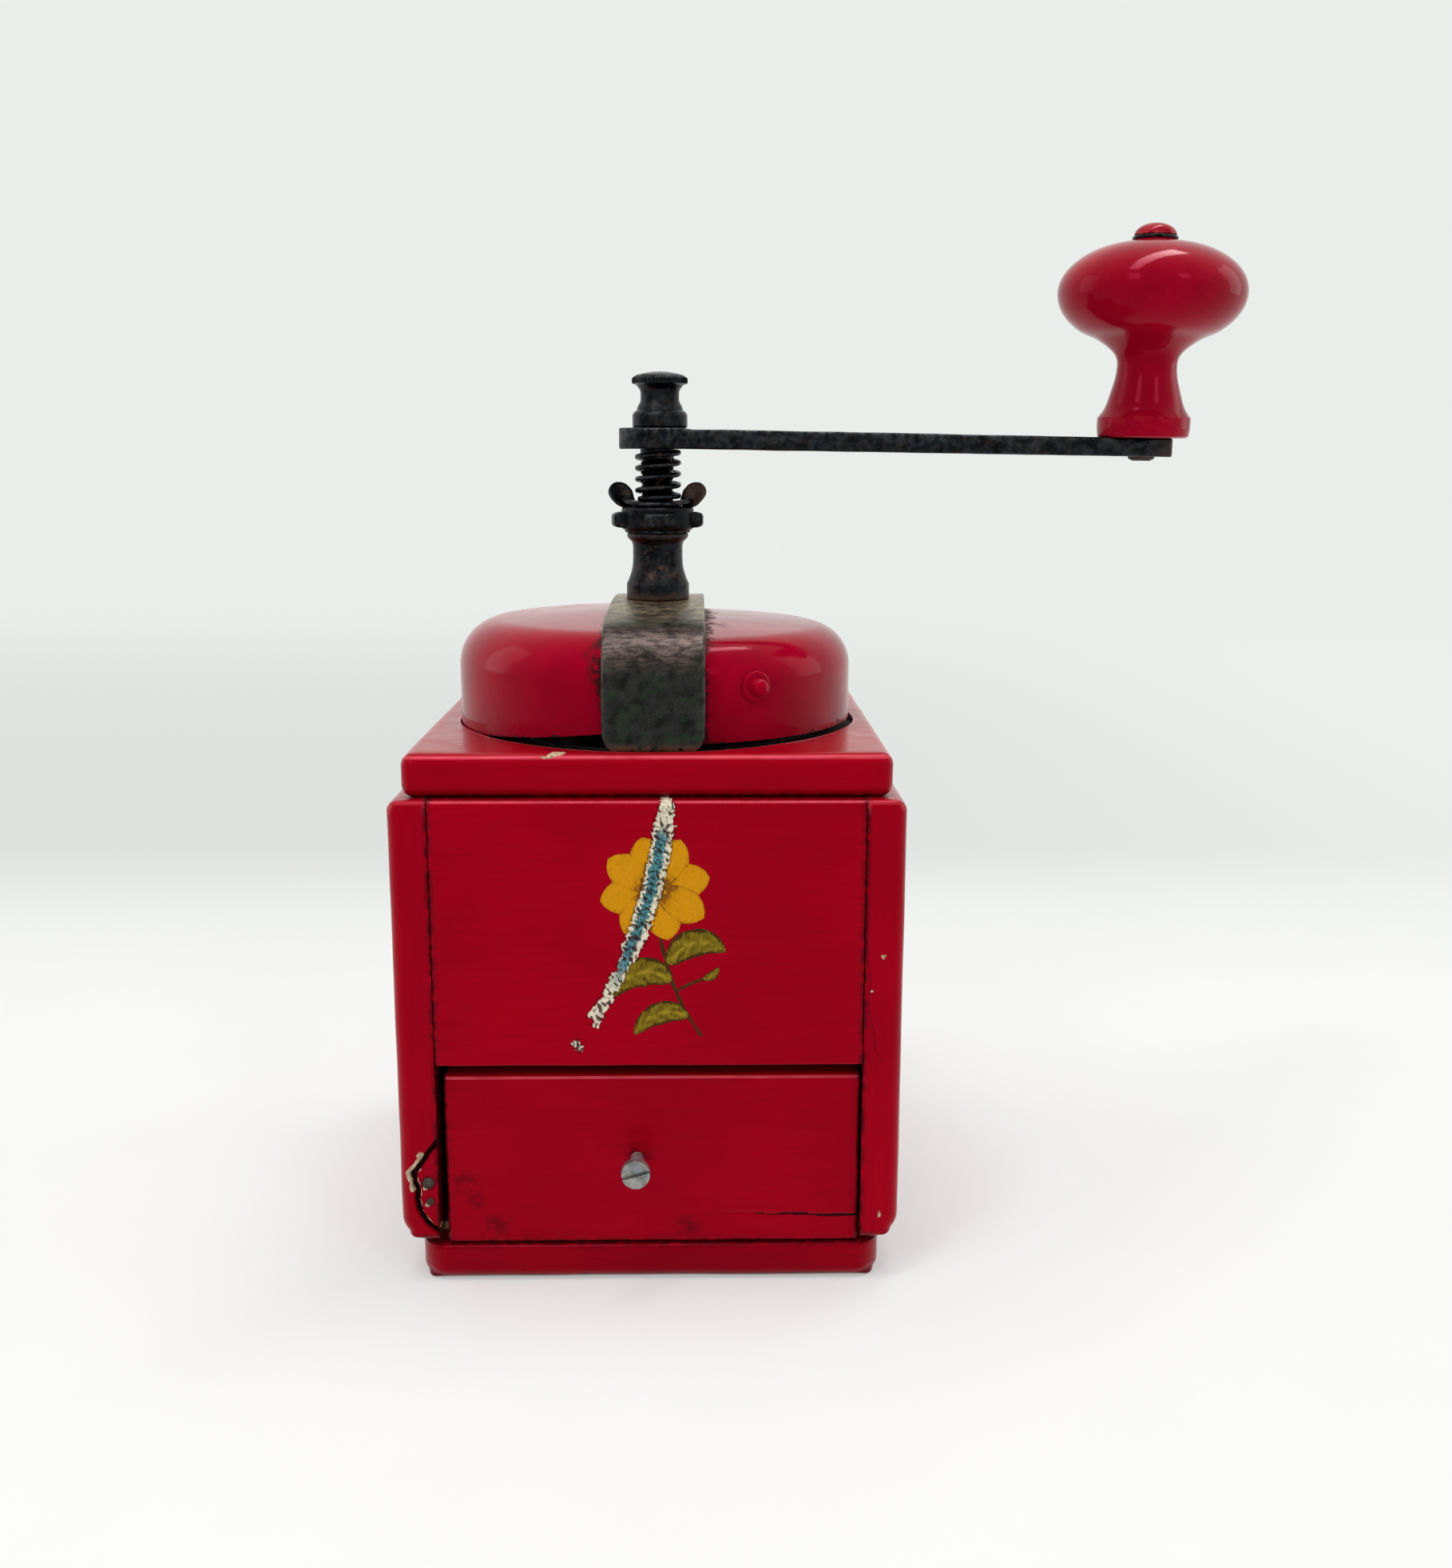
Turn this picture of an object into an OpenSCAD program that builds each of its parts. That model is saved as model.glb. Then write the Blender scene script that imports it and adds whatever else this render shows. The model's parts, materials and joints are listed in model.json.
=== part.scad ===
// Box coffee grinder: wooden case with a drawer, sheet dome over the bean bowl,
// conical burrs on an upright shaft, and a crank with a turned knob.
// Millimetres, +Z up, front towards -Y. The shaft axis is the Z axis, and z = 0 is the table.

/* [Case] */
// Width of the case, side to side
case_w = 125; // [120:1:140]
// Depth of the case, front to back
case_d = 125; // [120:1:140]
// Height of the side boards
side_h = 112.9; // [105:0.1:125]
// Thickness of the side, front and back boards
board_t = 9.6; // [8:0.1:12]
// Rounding of the side boards' outer edges
side_edge_r = 3; // [1:0.5:4]
// Rounding of the side boards' outer lower corners
side_foot_r = 5.5; // [2:0.5:7]
// How far the case stands to the right of the shaft (negative is left)
case_shift = -1.4; // [-3:0.1:3]
// Thickness of the base board
base_t = 9.6; // [8:0.1:14]
// How far the base board stays inside the case at each side
base_inset = 4.3; // [2:0.1:6]
// How far the base board stays inside the case at front and back
base_inset_y = 1; // [0:0.1:6]
// Rounding of the base board's upright corners
base_corner_r = 7; // [3:0.5:10]
// Rounding of the base board's edges
base_edge_r = 3.5; // [1:0.5:4.5]
// Thickness of the thin floor under the drawer
floor_t = 2.2; // [1.5:0.1:4]
// Height of the front panel above the drawer
front_panel_h = 66.7; // [62:0.1:70]
// Thickness of the shelf over the drawer
shelf_t = 4; // [3:0.1:8]
// Radius of the hole in the shelf that the coffee falls through
shelf_hole_r = 30; // [26:0.5:40]

/* [Top board] */
// Thickness of the top board
top_t = 10.8; // [9.5:0.1:14]
// How far the top board stays inside the case all round
top_inset = 3.1; // [1:0.1:5]
// Rounding of the top board's edges
top_edge_r = 3; // [1:0.5:4]
// Radius of the round recess in the top board
recess_r = 56.4; // [56.3:0.1:57.5]
// Depth of the recess
recess_depth = 2.9; // [2.6:0.1:3.6]
// Side of the square glue blocks under the top board
block_w = 12; // [8:1:14]
// Height of the glue blocks
block_h = 36; // [20:1:50]

/* [Dome] */
// Outer radius of the fixed half of the dome
dome_r = 52.9; // [52:0.1:53]
// Height of the fixed half's upright wall above the top board
dome_wall_h = 15.5; // [13:0.1:18]
// Radius of the fixed half's shoulder
dome_shoulder_r = 12; // [9:0.5:14]
// Slope of the dome's crown at its rim, in degrees
crown_slope = 5.4; // [3:0.1:7]
// Thickness of the dome's sheet metal
sheet_t = 0.7; // [0.5:0.1:0.8]
// Gap between the fixed half and the sliding door
door_gap = 0.3; // [0.3:0.05:0.6]
// How far the door's shoulder lies below the fixed half's
door_drop = 0.7; // [0.4:0.1:1.2]
// How high the door's lower edge clears the top board
door_lift = 0.9; // [0.8:0.1:2]
// How far each half reaches past the middle under the strap
half_lap = 8; // [7.2:0.1:10]
// Height of the fixed half's lower edge beside the strap, above the top board
lift_at_strap = 3.5; // [1:0.1:5]
// Slope of the fixed half's lower edge, in degrees
lift_slope = 6.7; // [4:0.1:6.9]
// Width of the fixed half's foot in the recess
dome_foot_w = 12; // [8:1:20]

/* [Door button] */
// Angle of the button from the front towards the right, in degrees
button_angle = 28.6; // [24:0.1:60]
// Height of the button above the top board
button_h = 14.4; // [8:0.1:15]
// Radius of the button's flange
button_flange_r = 3.9; // [3:0.1:5]
// Thickness of the button's flange
button_flange_t = 1; // [0.6:0.1:1.6]
// Radius of the button's round-ended pin
button_r = 2.25; // [1.5:0.05:2.8]
// How far the pin stands out of its flange
button_reach = 3.4; // [2.5:0.1:5]

/* [Strap] */
// Width of the strap over the dome
strap_w = 25; // [20:0.5:30]
// Thickness of the strap
strap_t = 2.4; // [1.8:0.1:2.5]
// Gap between the strap and the dome
strap_gap = 0.2; // [0.2:0.05:0.5]
// Width of the strap's feet
strap_foot_w = 19; // [14:0.5:19.5]
// Length of the strap's feet, front to back
strap_foot_l = 12; // [10:0.5:14]
// Outer bend radius above the feet
strap_bend_r = 3; // [2.6:0.1:3.5]

/* [Neck] */
// Height of the neck above the strap
neck_h = 17.8; // [14:0.1:24]
// Radius of the neck's foot
neck_foot_r = 8.4; // [8:0.1:10]
// Radius of the neck's waist
neck_waist_r = 6.7; // [6:0.1:7.5]
// Radius of the bead at the top of the neck
neck_bead_r = 8.2; // [7.6:0.1:9]
// Radius of the spigot under the strap
spigot_r = 6.2; // [5.7:0.1:6.6]

/* [Grind setting] */
// Thickness of the notched washer
washer_t = 0.6; // [0.4:0.1:1]
// Radius of the notched washer
washer_r = 8.7; // [8:0.1:9.2]
// Notches round the washer
washer_notches = 16; // [8:1:20]
// Height of the adjusting nut
nut_h = 6.2; // [5:0.1:8]
// Radius of the adjusting nut
nut_r = 9.7; // [9:0.1:11]
// Radius over the adjusting nut's lugs
lug_r = 12.3; // [11.5:0.1:14]
// Width of a lug
lug_w = 8; // [5:0.5:9]
// Thickness of a lug
lug_t = 4; // [3:0.1:4.6]
// Thickness of the wing lock's plate
wing_t = 1.3; // [1:0.1:1.6]
// Radius of the wing lock's plate
wing_plate_r = 9.1; // [8.6:0.1:9.6]
// Length of a wing
wing_l = 8.4; // [6:0.1:9]
// Width of a wing
wing_w = 6.4; // [5:0.1:7]
// Lean of the wings away from upright, in degrees
wing_lean = 38; // [25:1:50]
// Twist of the wings towards the front, in degrees
wing_twist = 32; // [0:1:40]

/* [Spring] */
// Height of the spring at rest
spring_h = 13.7; // [12:0.1:16]
// Radius of the spring, to the middle of its wire
spring_r = 5.6; // [5.4:0.1:6]
// Thickness of the spring's wire
wire_d = 1.4; // [1:0.1:1.4]
// Turns of the spring
spring_turns = 3.75; // [3:0.25:4]
// How much closer the lower turns lie (1 is even)
turn_bias = 1.2; // [1:0.05:1.25]

/* [Shaft] */
// Radius of the shaft
shaft_r = 4.5; // [4:0.1:4.6]
// Pitch of the shaft's thread
thread_pitch = 1.25; // [1:0.05:1.5]
// Depth of the shaft's thread
thread_depth = 0.5; // [0.2:0.05:0.7]
// Side of the square that carries the crank
tang_w = 6.2; // [5.6:0.1:6.3]
// Radius of the stud above the crank
stud_r = 3; // [2:0.1:3]
// Length of the stud above the crank
stud_h = 10.5; // [6:0.5:11]
// How far the shaft reaches below the lower bridge
shaft_reach = 3; // [1:0.5:4.5]

/* [Crank] */
// Distance from the shaft to the knob's pin
crank_l = 129.6; // [100:0.1:150]
// Length of the arm past the knob's pin
arm_past = 7; // [5:0.5:10]
// Thickness of the arm
arm_t = 4.8; // [4:0.1:6]
// Width of the arm next to its hub
arm_w_hub = 15; // [12:0.5:18]
// Width of the arm at its end
arm_w_end = 12; // [9:0.5:14]
// Radius of the arm's hub
hub_r = 10.1; // [9:0.1:12]
// Downward slope of the arm, in degrees
arm_slope = 0.8; // [0:0.1:2]

/* [Thumb nut] */
// Height of the thumb nut
thumb_h = 15.2; // [13:0.1:18]
// Radius of the thumb nut's collar
thumb_collar_r = 7.3; // [6:0.1:8]
// Radius of the thumb nut's waist
thumb_waist_r = 4.9; // [4.5:0.1:5.5]
// Radius of the thumb nut's knurled rim
thumb_rim_r = 7.2; // [6:0.1:8]
// Grooves round the knurled rim
thumb_grooves = 20; // [12:1:24]

/* [Knob] */
// Height of the knob
knob_h = 50.4; // [46:0.1:60]
// Largest radius of the knob
knob_r = 24.4; // [20:0.1:28]
// Height of the knob's widest place above its foot
knob_wide_z = 37; // [35:0.5:40]
// Radius of the knob's neck
knob_neck_r = 7.9; // [6:0.1:9]
// Height of the knob's neck above its foot
knob_neck_z = 16.5; // [14:0.5:18]
// Radius of the knob's foot
knob_foot_r = 12.4; // [10:0.1:14]
// Radius of the pin through the knob
pin_r = 2.5; // [1.5:0.1:3]
// Radius of the pin's riveted end under the arm
rivet_r = 3.6; // [3.2:0.1:5]
// Radius of the cap on top of the knob
cap_r = 5.5; // [4.5:0.1:7]
// Height of the cap on top of the knob
cap_h = 3.3; // [2:0.1:5]

/* [Burrs] */
// Radius of the bean bowl at its mouth
bowl_r = 43; // [40:0.5:43]
// Thickness of the bowl's metal
bowl_t = 1; // [0.8:0.1:1.2]
// Depth of the bowl below its flange
bowl_depth = 32.4; // [30:0.1:34]
// Radius of the bowl at its lower end
bowl_foot_r = 26.5; // [26:0.1:30]
// Radius of the burr ring's mouth
burr_mouth_r = 17; // [15:0.5:17.5]
// Radius of the burr ring's body
burr_r = 20.5; // [20:0.1:21]
// Radius of the burr ring's flange
burr_flange_r = 26; // [25.5:0.1:26]
// Thickness of the burr ring's flange
burr_flange_t = 3; // [2:0.1:4]
// Height of the burr ring
burr_h = 24; // [20:0.5:26]
// Gap between the burr ring and the burr cone
burr_gap = 1.1; // [1:0.1:1.6]
// Teeth round each burr
burr_teeth = 14; // [8:1:18]
// Gap between the burr ring and the lower bridge
bridge_gap = 4.7; // [3.2:0.1:6.2]
// Thickness of the lower bridge's bar
bridge_t = 3; // [2:0.1:4]
// Width of the lower bridge
bridge_w = 12; // [10:0.5:14]
// Thickness of the lower bridge's legs
bridge_leg_t = 4; // [3.8:0.1:4.4]

/* [Drawer] */
// Gap above the drawer's front, under the front panel
drawer_top_gap = 3.2; // [1.9:0.1:7.9]
// Thickness of the drawer's front
drawer_front_t = 8; // [6:0.1:10]
// How far the drawer's front sits behind the case's face
drawer_set_back = 1.8; // [0:0.1:4]
// Gap between the drawer and the case at each side
drawer_gap = 1.1; // [0.9:0.1:2]
// How far the drawer stands to the right in its opening
drawer_shift = 0.7; // [-0.7:0.1:0.7]
// Thickness of the drawer's sides and back
drawer_wall_t = 6; // [4:0.1:8]
// Gap above the drawer's sides and back, under the shelf
drawer_wall_gap = 7.9; // [5.9:0.1:20.9]
// Gap behind the drawer, in front of the back panel
drawer_back_gap = 3.6; // [2.6:0.1:25.6]
// Thickness of the drawer's bottom
drawer_bottom_t = 2.5; // [2:0.1:4]

/* [Drawer screw] */
// Sideways place of the screw from the middle of the drawer's front
pull_x = -3.9; // [-20:0.1:20]
// Height of the screw above the drawer front's lower edge
pull_z = 22.8; // [15:0.1:30]
// Free length of the screw in front of the drawer
pull_reach = 9.6; // [4:0.1:15]
// Radius of the screw's shank
pull_r = 1.6; // [1.2:0.1:2.5]
// Radius of the screw's head
pull_head_r = 3.5; // [3:0.1:5]
// Thickness of the screw's head
pull_head_t = 2.4; // [1.8:0.1:3]
// Width of the screw's slot
slot_w = 0.9; // [0.6:0.1:1.2]
// Depth of the screw's slot
slot_depth = 1.1; // [0.5:0.1:1.4]
// Turn of the slot from level, in degrees
slot_turn = 15; // [0:5:90]
// Droop of the screw, in degrees
pull_droop = 4; // [0:0.5:6]

/* [Fasteners] */
// Radius of the case nails
nail_r = 0.8; // [0.6:0.1:1]
// Radius of a nail's head
nail_head_r = 1.5; // [1.2:0.1:2]
// Thickness of a nail's head
nail_head_t = 0.6; // [0.4:0.1:1]
// Length of the case nails
nail_l = 21; // [17:0.5:24]
// Length of the drawer nails
drawer_nail_l = 14; // [11:0.5:18]
// Length of the two nails in the mended left side board
mend_nail_l = 15; // [8:0.5:20]
// Radius of the screws through the strap's and the dome's feet
foot_screw_r = 1.4; // [1:0.1:1.6]
// Radius of a foot screw's head
foot_screw_head_r = 2.6; // [2.2:0.1:3]
// Thickness of a foot screw's head
foot_screw_head_t = 1.4; // [1.2:0.1:1.5]
// Length of the foot screws in the wood
foot_screw_l = 6.4; // [4:0.1:7]
// Radius of the bridge screws
bridge_screw_r = 1.25; // [1:0.05:1.3]
// Radius of a bridge screw's head
bridge_screw_head_r = 2.4; // [2:0.1:2.6]
// Thickness of a bridge screw's head
bridge_screw_head_t = 1.6; // [1:0.1:2]
// Length of the bridge screws below the burr ring
bridge_screw_l = 9; // [5:0.5:12]

/* [Fits] */
// Clearance of parts that are fixed in each other
fit = 0.02; // [0.01:0.01:0.05]
// Running clearance of the shaft and the pins, on the radius
run = 0.1; // [0.05:0.01:0.1]
// Clearance of sliding wood and sheet
slide = 0.3; // [0.25:0.05:0.5]
// Flat clearance between faces that turn on each other
face_gap = 0.05; // [0.02:0.01:0.1]

/* [Hidden] */
$fn = 64;

// Colours
enamel = "#96080f";
dark_steel = "#33343a";
grey_steel = "#6b6c6a";
bare_wood = "#b08a5c";
tin = "#8a8d8f";
bright_steel = "#a9aba8";

// Case heights
side_z = base_t + floor_t;
case_top = side_z + side_h;
top_z = case_top + top_t;
opening_z = case_top - front_panel_h;

// Case plan
case_x0 = case_shift - case_w / 2;
case_x1 = case_shift + case_w / 2;
case_y0 = -case_d / 2;
case_y1 = case_d / 2;
inner_x0 = case_x0 + board_t;
inner_x1 = case_x1 - board_t;
inner_y0 = case_y0 + board_t;
inner_y1 = case_y1 - board_t;
inner_w = inner_x1 - inner_x0;
floor_inset = 1.7;
drawer_front_gap = 0.5;
floor_y0 = case_y0 + drawer_set_back + drawer_front_t + drawer_front_gap;

// Recess, bowl and dome heights
recess_z = top_z - recess_depth;
flange_r = recess_r - slide;
flange_top = recess_z + bowl_t;
bowl_foot_z = recess_z - bowl_depth + bowl_t;
door_r = dome_r - sheet_t - door_gap;
dome_shoulder_z = top_z + dome_wall_h;
door_shoulder_z = dome_shoulder_z - door_drop;
door_shoulder_r = dome_shoulder_r - sheet_t - door_gap;
door_foot_z = top_z + door_lift;

// Height of a dome's crown at radius r, for a shoulder of radius s at height z under a rim of radius rim
function crown_z(r, rim, z, s) =
    let (re = crown_rim(rim, s))
    z + s * cos(crown_slope) + tan(crown_slope) * (re * re - r * r) / (2 * re);
function crown_rim(rim, s) = rim - s + s * sin(crown_slope);
dome_top = crown_z(0, dome_r, dome_shoulder_z, dome_shoulder_r);
door_under = crown_z(0, door_r - sheet_t, door_shoulder_z, door_shoulder_r - sheet_t);

// Strap and neck heights
strap_in_r = dome_r + strap_gap;
strap_out_r = strap_in_r + strap_t;
strap_under = dome_top + strap_gap;
strap_top = strap_under + strap_t;
neck_top = strap_top + neck_h;
dome_washer_t = 1;
dome_washer_rim = 3.2;
dome_washer_top = door_under - slide;
dome_washer_z = dome_washer_top - dome_washer_t;
lip_t = 0.6;
lip_w = 0.8;
eye_r = spigot_r + run;

// Places of the screws through the strap's feet and the fixed dome's foot
dome_foot_l = 9;
screw_from_mid = 2;
strap_screw_y = strap_out_r - strap_foot_l / 2 - screw_from_mid;
foot_screw_at = [[0, -strap_screw_y, 0], [0, strap_screw_y, 0], [-(dome_r - dome_foot_l / 2), 0, 0]];

// Grind setting heights
washer_z = neck_top + face_gap;
nut_z = washer_z + washer_t + face_gap;
nut_top = nut_z + nut_h;
wing_z = nut_top + face_gap;
wing_top = wing_z + wing_t;
arm_z = wing_top + spring_h;
arm_top = arm_z + arm_t;
thread_z = nut_z - thread_pitch;
thread_top = arm_z - wire_d;

// Burrs
burr_top = bowl_foot_z - bowl_t;
burr_foot_z = burr_top - burr_h;
burr_throat_z = burr_foot_z + burr_h * 0.6;
burr_narrowing = 2.6;
burr_throat_r = burr_mouth_r - burr_narrowing;
tooth_w = 1.6;
tooth_skew = 12;
burr_exit_r = burr_mouth_r;
cone_foot_rise = 1;
cone_top_drop = 2;
cone_foot_z = burr_foot_z + cone_foot_rise;
cone_top_z = burr_top - cone_top_drop;
leg_in = burr_r + slide;
leg_mid = leg_in + bridge_leg_t / 2;
pin_rise = 6;
bridge_z = burr_foot_z - bridge_gap - bridge_t;
shaft_foot_z = bridge_z - shaft_reach;
pin_z = cone_foot_z + pin_rise;

// Knob, along its own upright axis
arm_bend_x = hub_r * 0.62;
knob_foot_gap = slide;
cap_z = knob_h + knob_foot_gap;
knob_washer_t = 0.9;

// Drawer
drawer_mid = case_shift + drawer_shift;
drawer_w = inner_w - 2 * drawer_gap;
drawer_x0 = drawer_mid - drawer_w / 2;
drawer_x1 = drawer_mid + drawer_w / 2;
drawer_y0 = case_y0 + drawer_set_back;
drawer_y1 = drawer_y0 + drawer_front_t;
drawer_l = inner_y1 - drawer_back_gap - drawer_y1;
drawer_back_y = drawer_y1 + drawer_l;
drawer_front_z = base_t + drawer_front_gap;
drawer_front_h = opening_z - drawer_top_gap - drawer_front_z;
drawer_z = side_z + slide;
drawer_wall_h = opening_z - drawer_wall_gap - drawer_z;

// Points of an arc
function arc(cx, cy, r, a0, a1, n) =
    [for (i = [0:n]) [cx + r * cos(a0 + (a1 - a0) * i / n), cy + r * sin(a0 + (a1 - a0) * i / n)]];

// Outline of a rectangle with one rounding radius for each corner,
// in the order low-low, high-low, high-high, low-high
function rounded(x0, y0, x1, y1, r, n = 6) = concat(
    r[0] > 0 ? arc(x0 + r[0], y0 + r[0], r[0], 180, 270, n) : [[x0, y0]],
    r[1] > 0 ? arc(x1 - r[1], y0 + r[1], r[1], 270, 360, n) : [[x1, y0]],
    r[2] > 0 ? arc(x1 - r[2], y1 - r[2], r[2], 0, 90, n) : [[x1, y1]],
    r[3] > 0 ? arc(x0 + r[3], y1 - r[3], r[3], 90, 180, n) : [[x0, y1]]);

// Smooth curve through points
function curve_point(a, b, c, d, t) =
    0.5 * (2 * b + (c - a) * t + (2 * a - 5 * b + 4 * c - d) * t * t + (3 * b - a - 3 * c + d) * t * t * t);
function curve(p, steps) = concat(
    [for (i = [0:len(p) - 2]) for (k = [0:steps - 1])
        curve_point(p[max(i - 1, 0)], p[i], p[i + 1], p[min(i + 2, len(p) - 1)], k / steps)],
    [p[len(p) - 1]]);

// Board between two opposite corners, cut by rounded outlines seen from above,
// from the front and from the side
module board(p0, p1, plan = [0, 0, 0, 0], front = [0, 0, 0, 0], side = [0, 0, 0, 0]) {
    intersection() {
        translate([0, 0, p0[2]])
            linear_extrude(p1[2] - p0[2])
                polygon(rounded(p0[0], p0[1], p1[0], p1[1], plan));
        translate([0, p1[1], 0])
            rotate([90, 0, 0])
                linear_extrude(p1[1] - p0[1])
                    polygon(rounded(p0[0], p0[2], p1[0], p1[2], front));
        translate([p0[0], 0, 0])
            rotate([90, 0, 90])
                linear_extrude(p1[0] - p0[0])
                    polygon(rounded(p0[1], p0[2], p1[1], p1[2], side));
    }
}

module box(p0, p1) {
    translate(p0) cube(p1 - p0);
}

// Nail along +Z with its head's outer face at z = 0, grown by g where it is a hole
module nail(l, g = 0) {
    translate([0, 0, -g])
        cylinder(h = nail_head_t + 2 * g, r = nail_head_r + g);
    cylinder(h = l + g, r = nail_r + g);
}

// Places and directions of the case nails
nail_from_edge = 12;
nail_from_top = 14;
nail_mid = 32;
back_nail_mid = 45;
panel_nail_front_z = [opening_z + nail_from_edge, opening_z + nail_mid, case_top - nail_from_top];
panel_nail_back_z = [side_z + nail_from_edge, side_z + back_nail_mid, opening_z + nail_mid,
    case_top - nail_from_top];
module at_panel_nails(sides) {
    for (s = sides) {
        for (z = panel_nail_front_z)
            translate([s < 0 ? case_x0 : case_x1, case_y0 + board_t / 2, z])
                rotate([0, -90 * s, 0]) children();
        for (z = panel_nail_back_z)
            translate([s < 0 ? case_x0 : case_x1, case_y1 - board_t / 2, z])
                rotate([0, -90 * s, 0]) children();
    }
}
base_nail_x = [(case_x0 + base_inset + inner_x0) / 2, (case_x1 - base_inset + inner_x1) / 2];
module at_base_nails() {
    for (x = base_nail_x)
        for (y = [-case_d / 3, case_d / 3])
            translate([x, y, 0]) children();
}
mend_nail_in = 3;
mend_nail_rise = 13;
mend_nail_step = 4.5;
mend_nail_x = inner_x0 - mend_nail_in;
mend_nail_z = [side_z + mend_nail_rise, side_z + mend_nail_rise + mend_nail_step];
module at_mend_nails() {
    for (z = mend_nail_z)
        translate([mend_nail_x, case_y0, z])
            rotate([-90, 0, 0]) children();
}

// Case boards
module base_board() {
    r = base_edge_r;
    c = base_corner_r;
    color(enamel)
        difference() {
            board([case_x0 + base_inset, case_y0 + base_inset_y, 0],
                [case_x1 - base_inset, case_y1 - base_inset_y, base_t],
                [c, c, c, c], [r, r, r / 3, r / 3], [r, r, r / 3, r / 3]);
            at_base_nails() nail(nail_l, fit);
        }
}

module floor_sheet() {
    color(bare_wood)
        difference() {
            box([case_x0 + base_inset + floor_inset, floor_y0, base_t],
                [case_x1 - base_inset - floor_inset, case_y1 - base_inset_y - base_edge_r, side_z]);
            at_base_nails() nail(nail_l, fit);
        }
}

// Side board with rounded outer edges, on the left where s is -1
module side_board(s) {
    e = side_edge_r;
    f = side_foot_r;
    left = s < 0;
    color(enamel)
        difference() {
            board([left ? case_x0 : inner_x1, case_y0, side_z],
                [left ? inner_x0 : case_x1, case_y1, case_top],
                left ? [e, 0, 0, e] : [0, e, e, 0],
                left ? [f, 0, 0, e] : [0, f, e, 0],
                [e / 2, e / 2, e / 2, e / 2]);
            at_panel_nails([s]) nail(nail_l, fit);
            at_base_nails() nail(nail_l, fit);
            if (left)
                at_mend_nails() nail(mend_nail_l, fit);
        }
}
module side_board_left() {
    side_board(-1);
}
module side_board_right() {
    side_board(1);
}

module front_panel() {
    e = side_edge_r / 2;
    color(enamel)
        difference() {
            board([inner_x0, case_y0, opening_z], [inner_x1, inner_y0, case_top], side = [0.5, 0, 0, e]);
            at_panel_nails([-1, 1]) nail(nail_l, fit);
        }
}

module back_panel() {
    e = side_edge_r / 2;
    color(enamel)
        difference() {
            board([inner_x0, inner_y1, side_z], [inner_x1, case_y1, case_top], side = [0, 0.5, e, 0]);
            at_panel_nails([-1, 1]) nail(nail_l, fit);
        }
}

// Shelf over the drawer, with the hole that the coffee falls through
module drawer_shelf() {
    color(bare_wood)
        difference() {
            box([inner_x0, inner_y0, opening_z], [inner_x1, inner_y1, opening_z + shelf_t]);
            translate([0, 0, opening_z - 1])
                cylinder(h = shelf_t + 2, r = shelf_hole_r);
        }
}

// Top board with the round recess and the hole for the bean bowl
module top_board() {
    e = top_edge_r;
    color(enamel)
        difference() {
            board([case_x0 + top_inset, case_y0 + top_inset, case_top],
                [case_x1 - top_inset, case_y1 - top_inset, top_z],
                [e, e, e, e], [e, e, e, e], [e, e, e, e]);
            translate([0, 0, recess_z])
                cylinder(h = recess_depth + 1, r = recess_r, $fn = 128);
            translate([0, 0, case_top - 1])
                cylinder(h = top_t, r = bowl_r + slide, $fn = 128);
            for (p = foot_screw_at)
                translate([p[0], p[1], recess_z - foot_screw_l - fit])
                    cylinder(h = foot_screw_l + 1, r = foot_screw_r + fit);
        }
}

module glue_blocks() {
    color(bare_wood)
        for (x = [inner_x0, inner_x1 - block_w])
            for (y = [inner_y0, inner_y1 - block_w])
                translate([x, y, case_top - block_h])
                    cube([block_w, block_w, block_h]);
}

module panel_nails() {
    color(grey_steel)
        at_panel_nails([-1, 1]) nail(nail_l);
}
module base_nails() {
    color(grey_steel)
        at_base_nails() nail(nail_l);
}
module mend_nails() {
    color(grey_steel)
        at_mend_nails() nail(mend_nail_l);
}

// Bean bowl: flange in the recess, cone, and a flat foot over the burr ring
module bean_bowl() {
    color(tin)
        difference() {
            rotate_extrude($fn = 96)
                polygon([[bowl_r - bowl_t, flange_top], [flange_r, flange_top], [flange_r, recess_z],
                    [bowl_r, recess_z], [bowl_foot_r, burr_top], [burr_mouth_r, burr_top],
                    [burr_mouth_r, bowl_foot_z], [bowl_foot_r - bowl_t, bowl_foot_z]]);
            for (p = foot_screw_at)
                translate([p[0], p[1], recess_z - 1])
                    cylinder(h = bowl_t + 2, r = foot_screw_r + fit);
            at_bridge_screws()
                translate([0, 0, -burr_flange_t])
                    cylinder(h = burr_flange_t * 2, r = bridge_screw_r + fit);
        }
}

// Places of the bridge screws, at the top of the burr ring's flange
module at_bridge_screws() {
    for (x = [-leg_mid, leg_mid])
        translate([x, 0, burr_top]) children();
}

// Cutter for one slanted tooth gap on a cone from radius r0 at z0 to radius r1 at z1
module tooth_gap(r0, z0, r1, z1) {
    lean = atan2(r1 - r0, z1 - z0);
    l = norm([r1 - r0, z1 - z0]);
    translate([r0, 0, z0])
        rotate([0, lean, 0])
            rotate([tooth_skew, 0, 0])
                translate([0, 0, -2])
                    rotate([0, 0, 45])
                        translate([-tooth_w / 2, -tooth_w / 2, 0])
                            cube([tooth_w, tooth_w, l + 4]);
}

module burr_ring() {
    color(dark_steel)
        difference() {
            rotate_extrude()
                polygon([[burr_mouth_r, burr_top], [burr_flange_r, burr_top],
                    [burr_flange_r, burr_top - burr_flange_t], [burr_r, burr_top - burr_flange_t],
                    [burr_r, burr_foot_z], [burr_exit_r, burr_foot_z],
                    [burr_throat_r, burr_throat_z]]);
            for (i = [0:burr_teeth - 1])
                rotate([0, 0, 360 * i / burr_teeth])
                    tooth_gap(burr_exit_r, burr_foot_z, burr_throat_r, burr_throat_z);
            at_bridge_screws()
                translate([0, 0, -burr_flange_t - 1])
                    cylinder(h = burr_flange_t + 2, r = bridge_screw_r + fit);
        }
}

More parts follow.
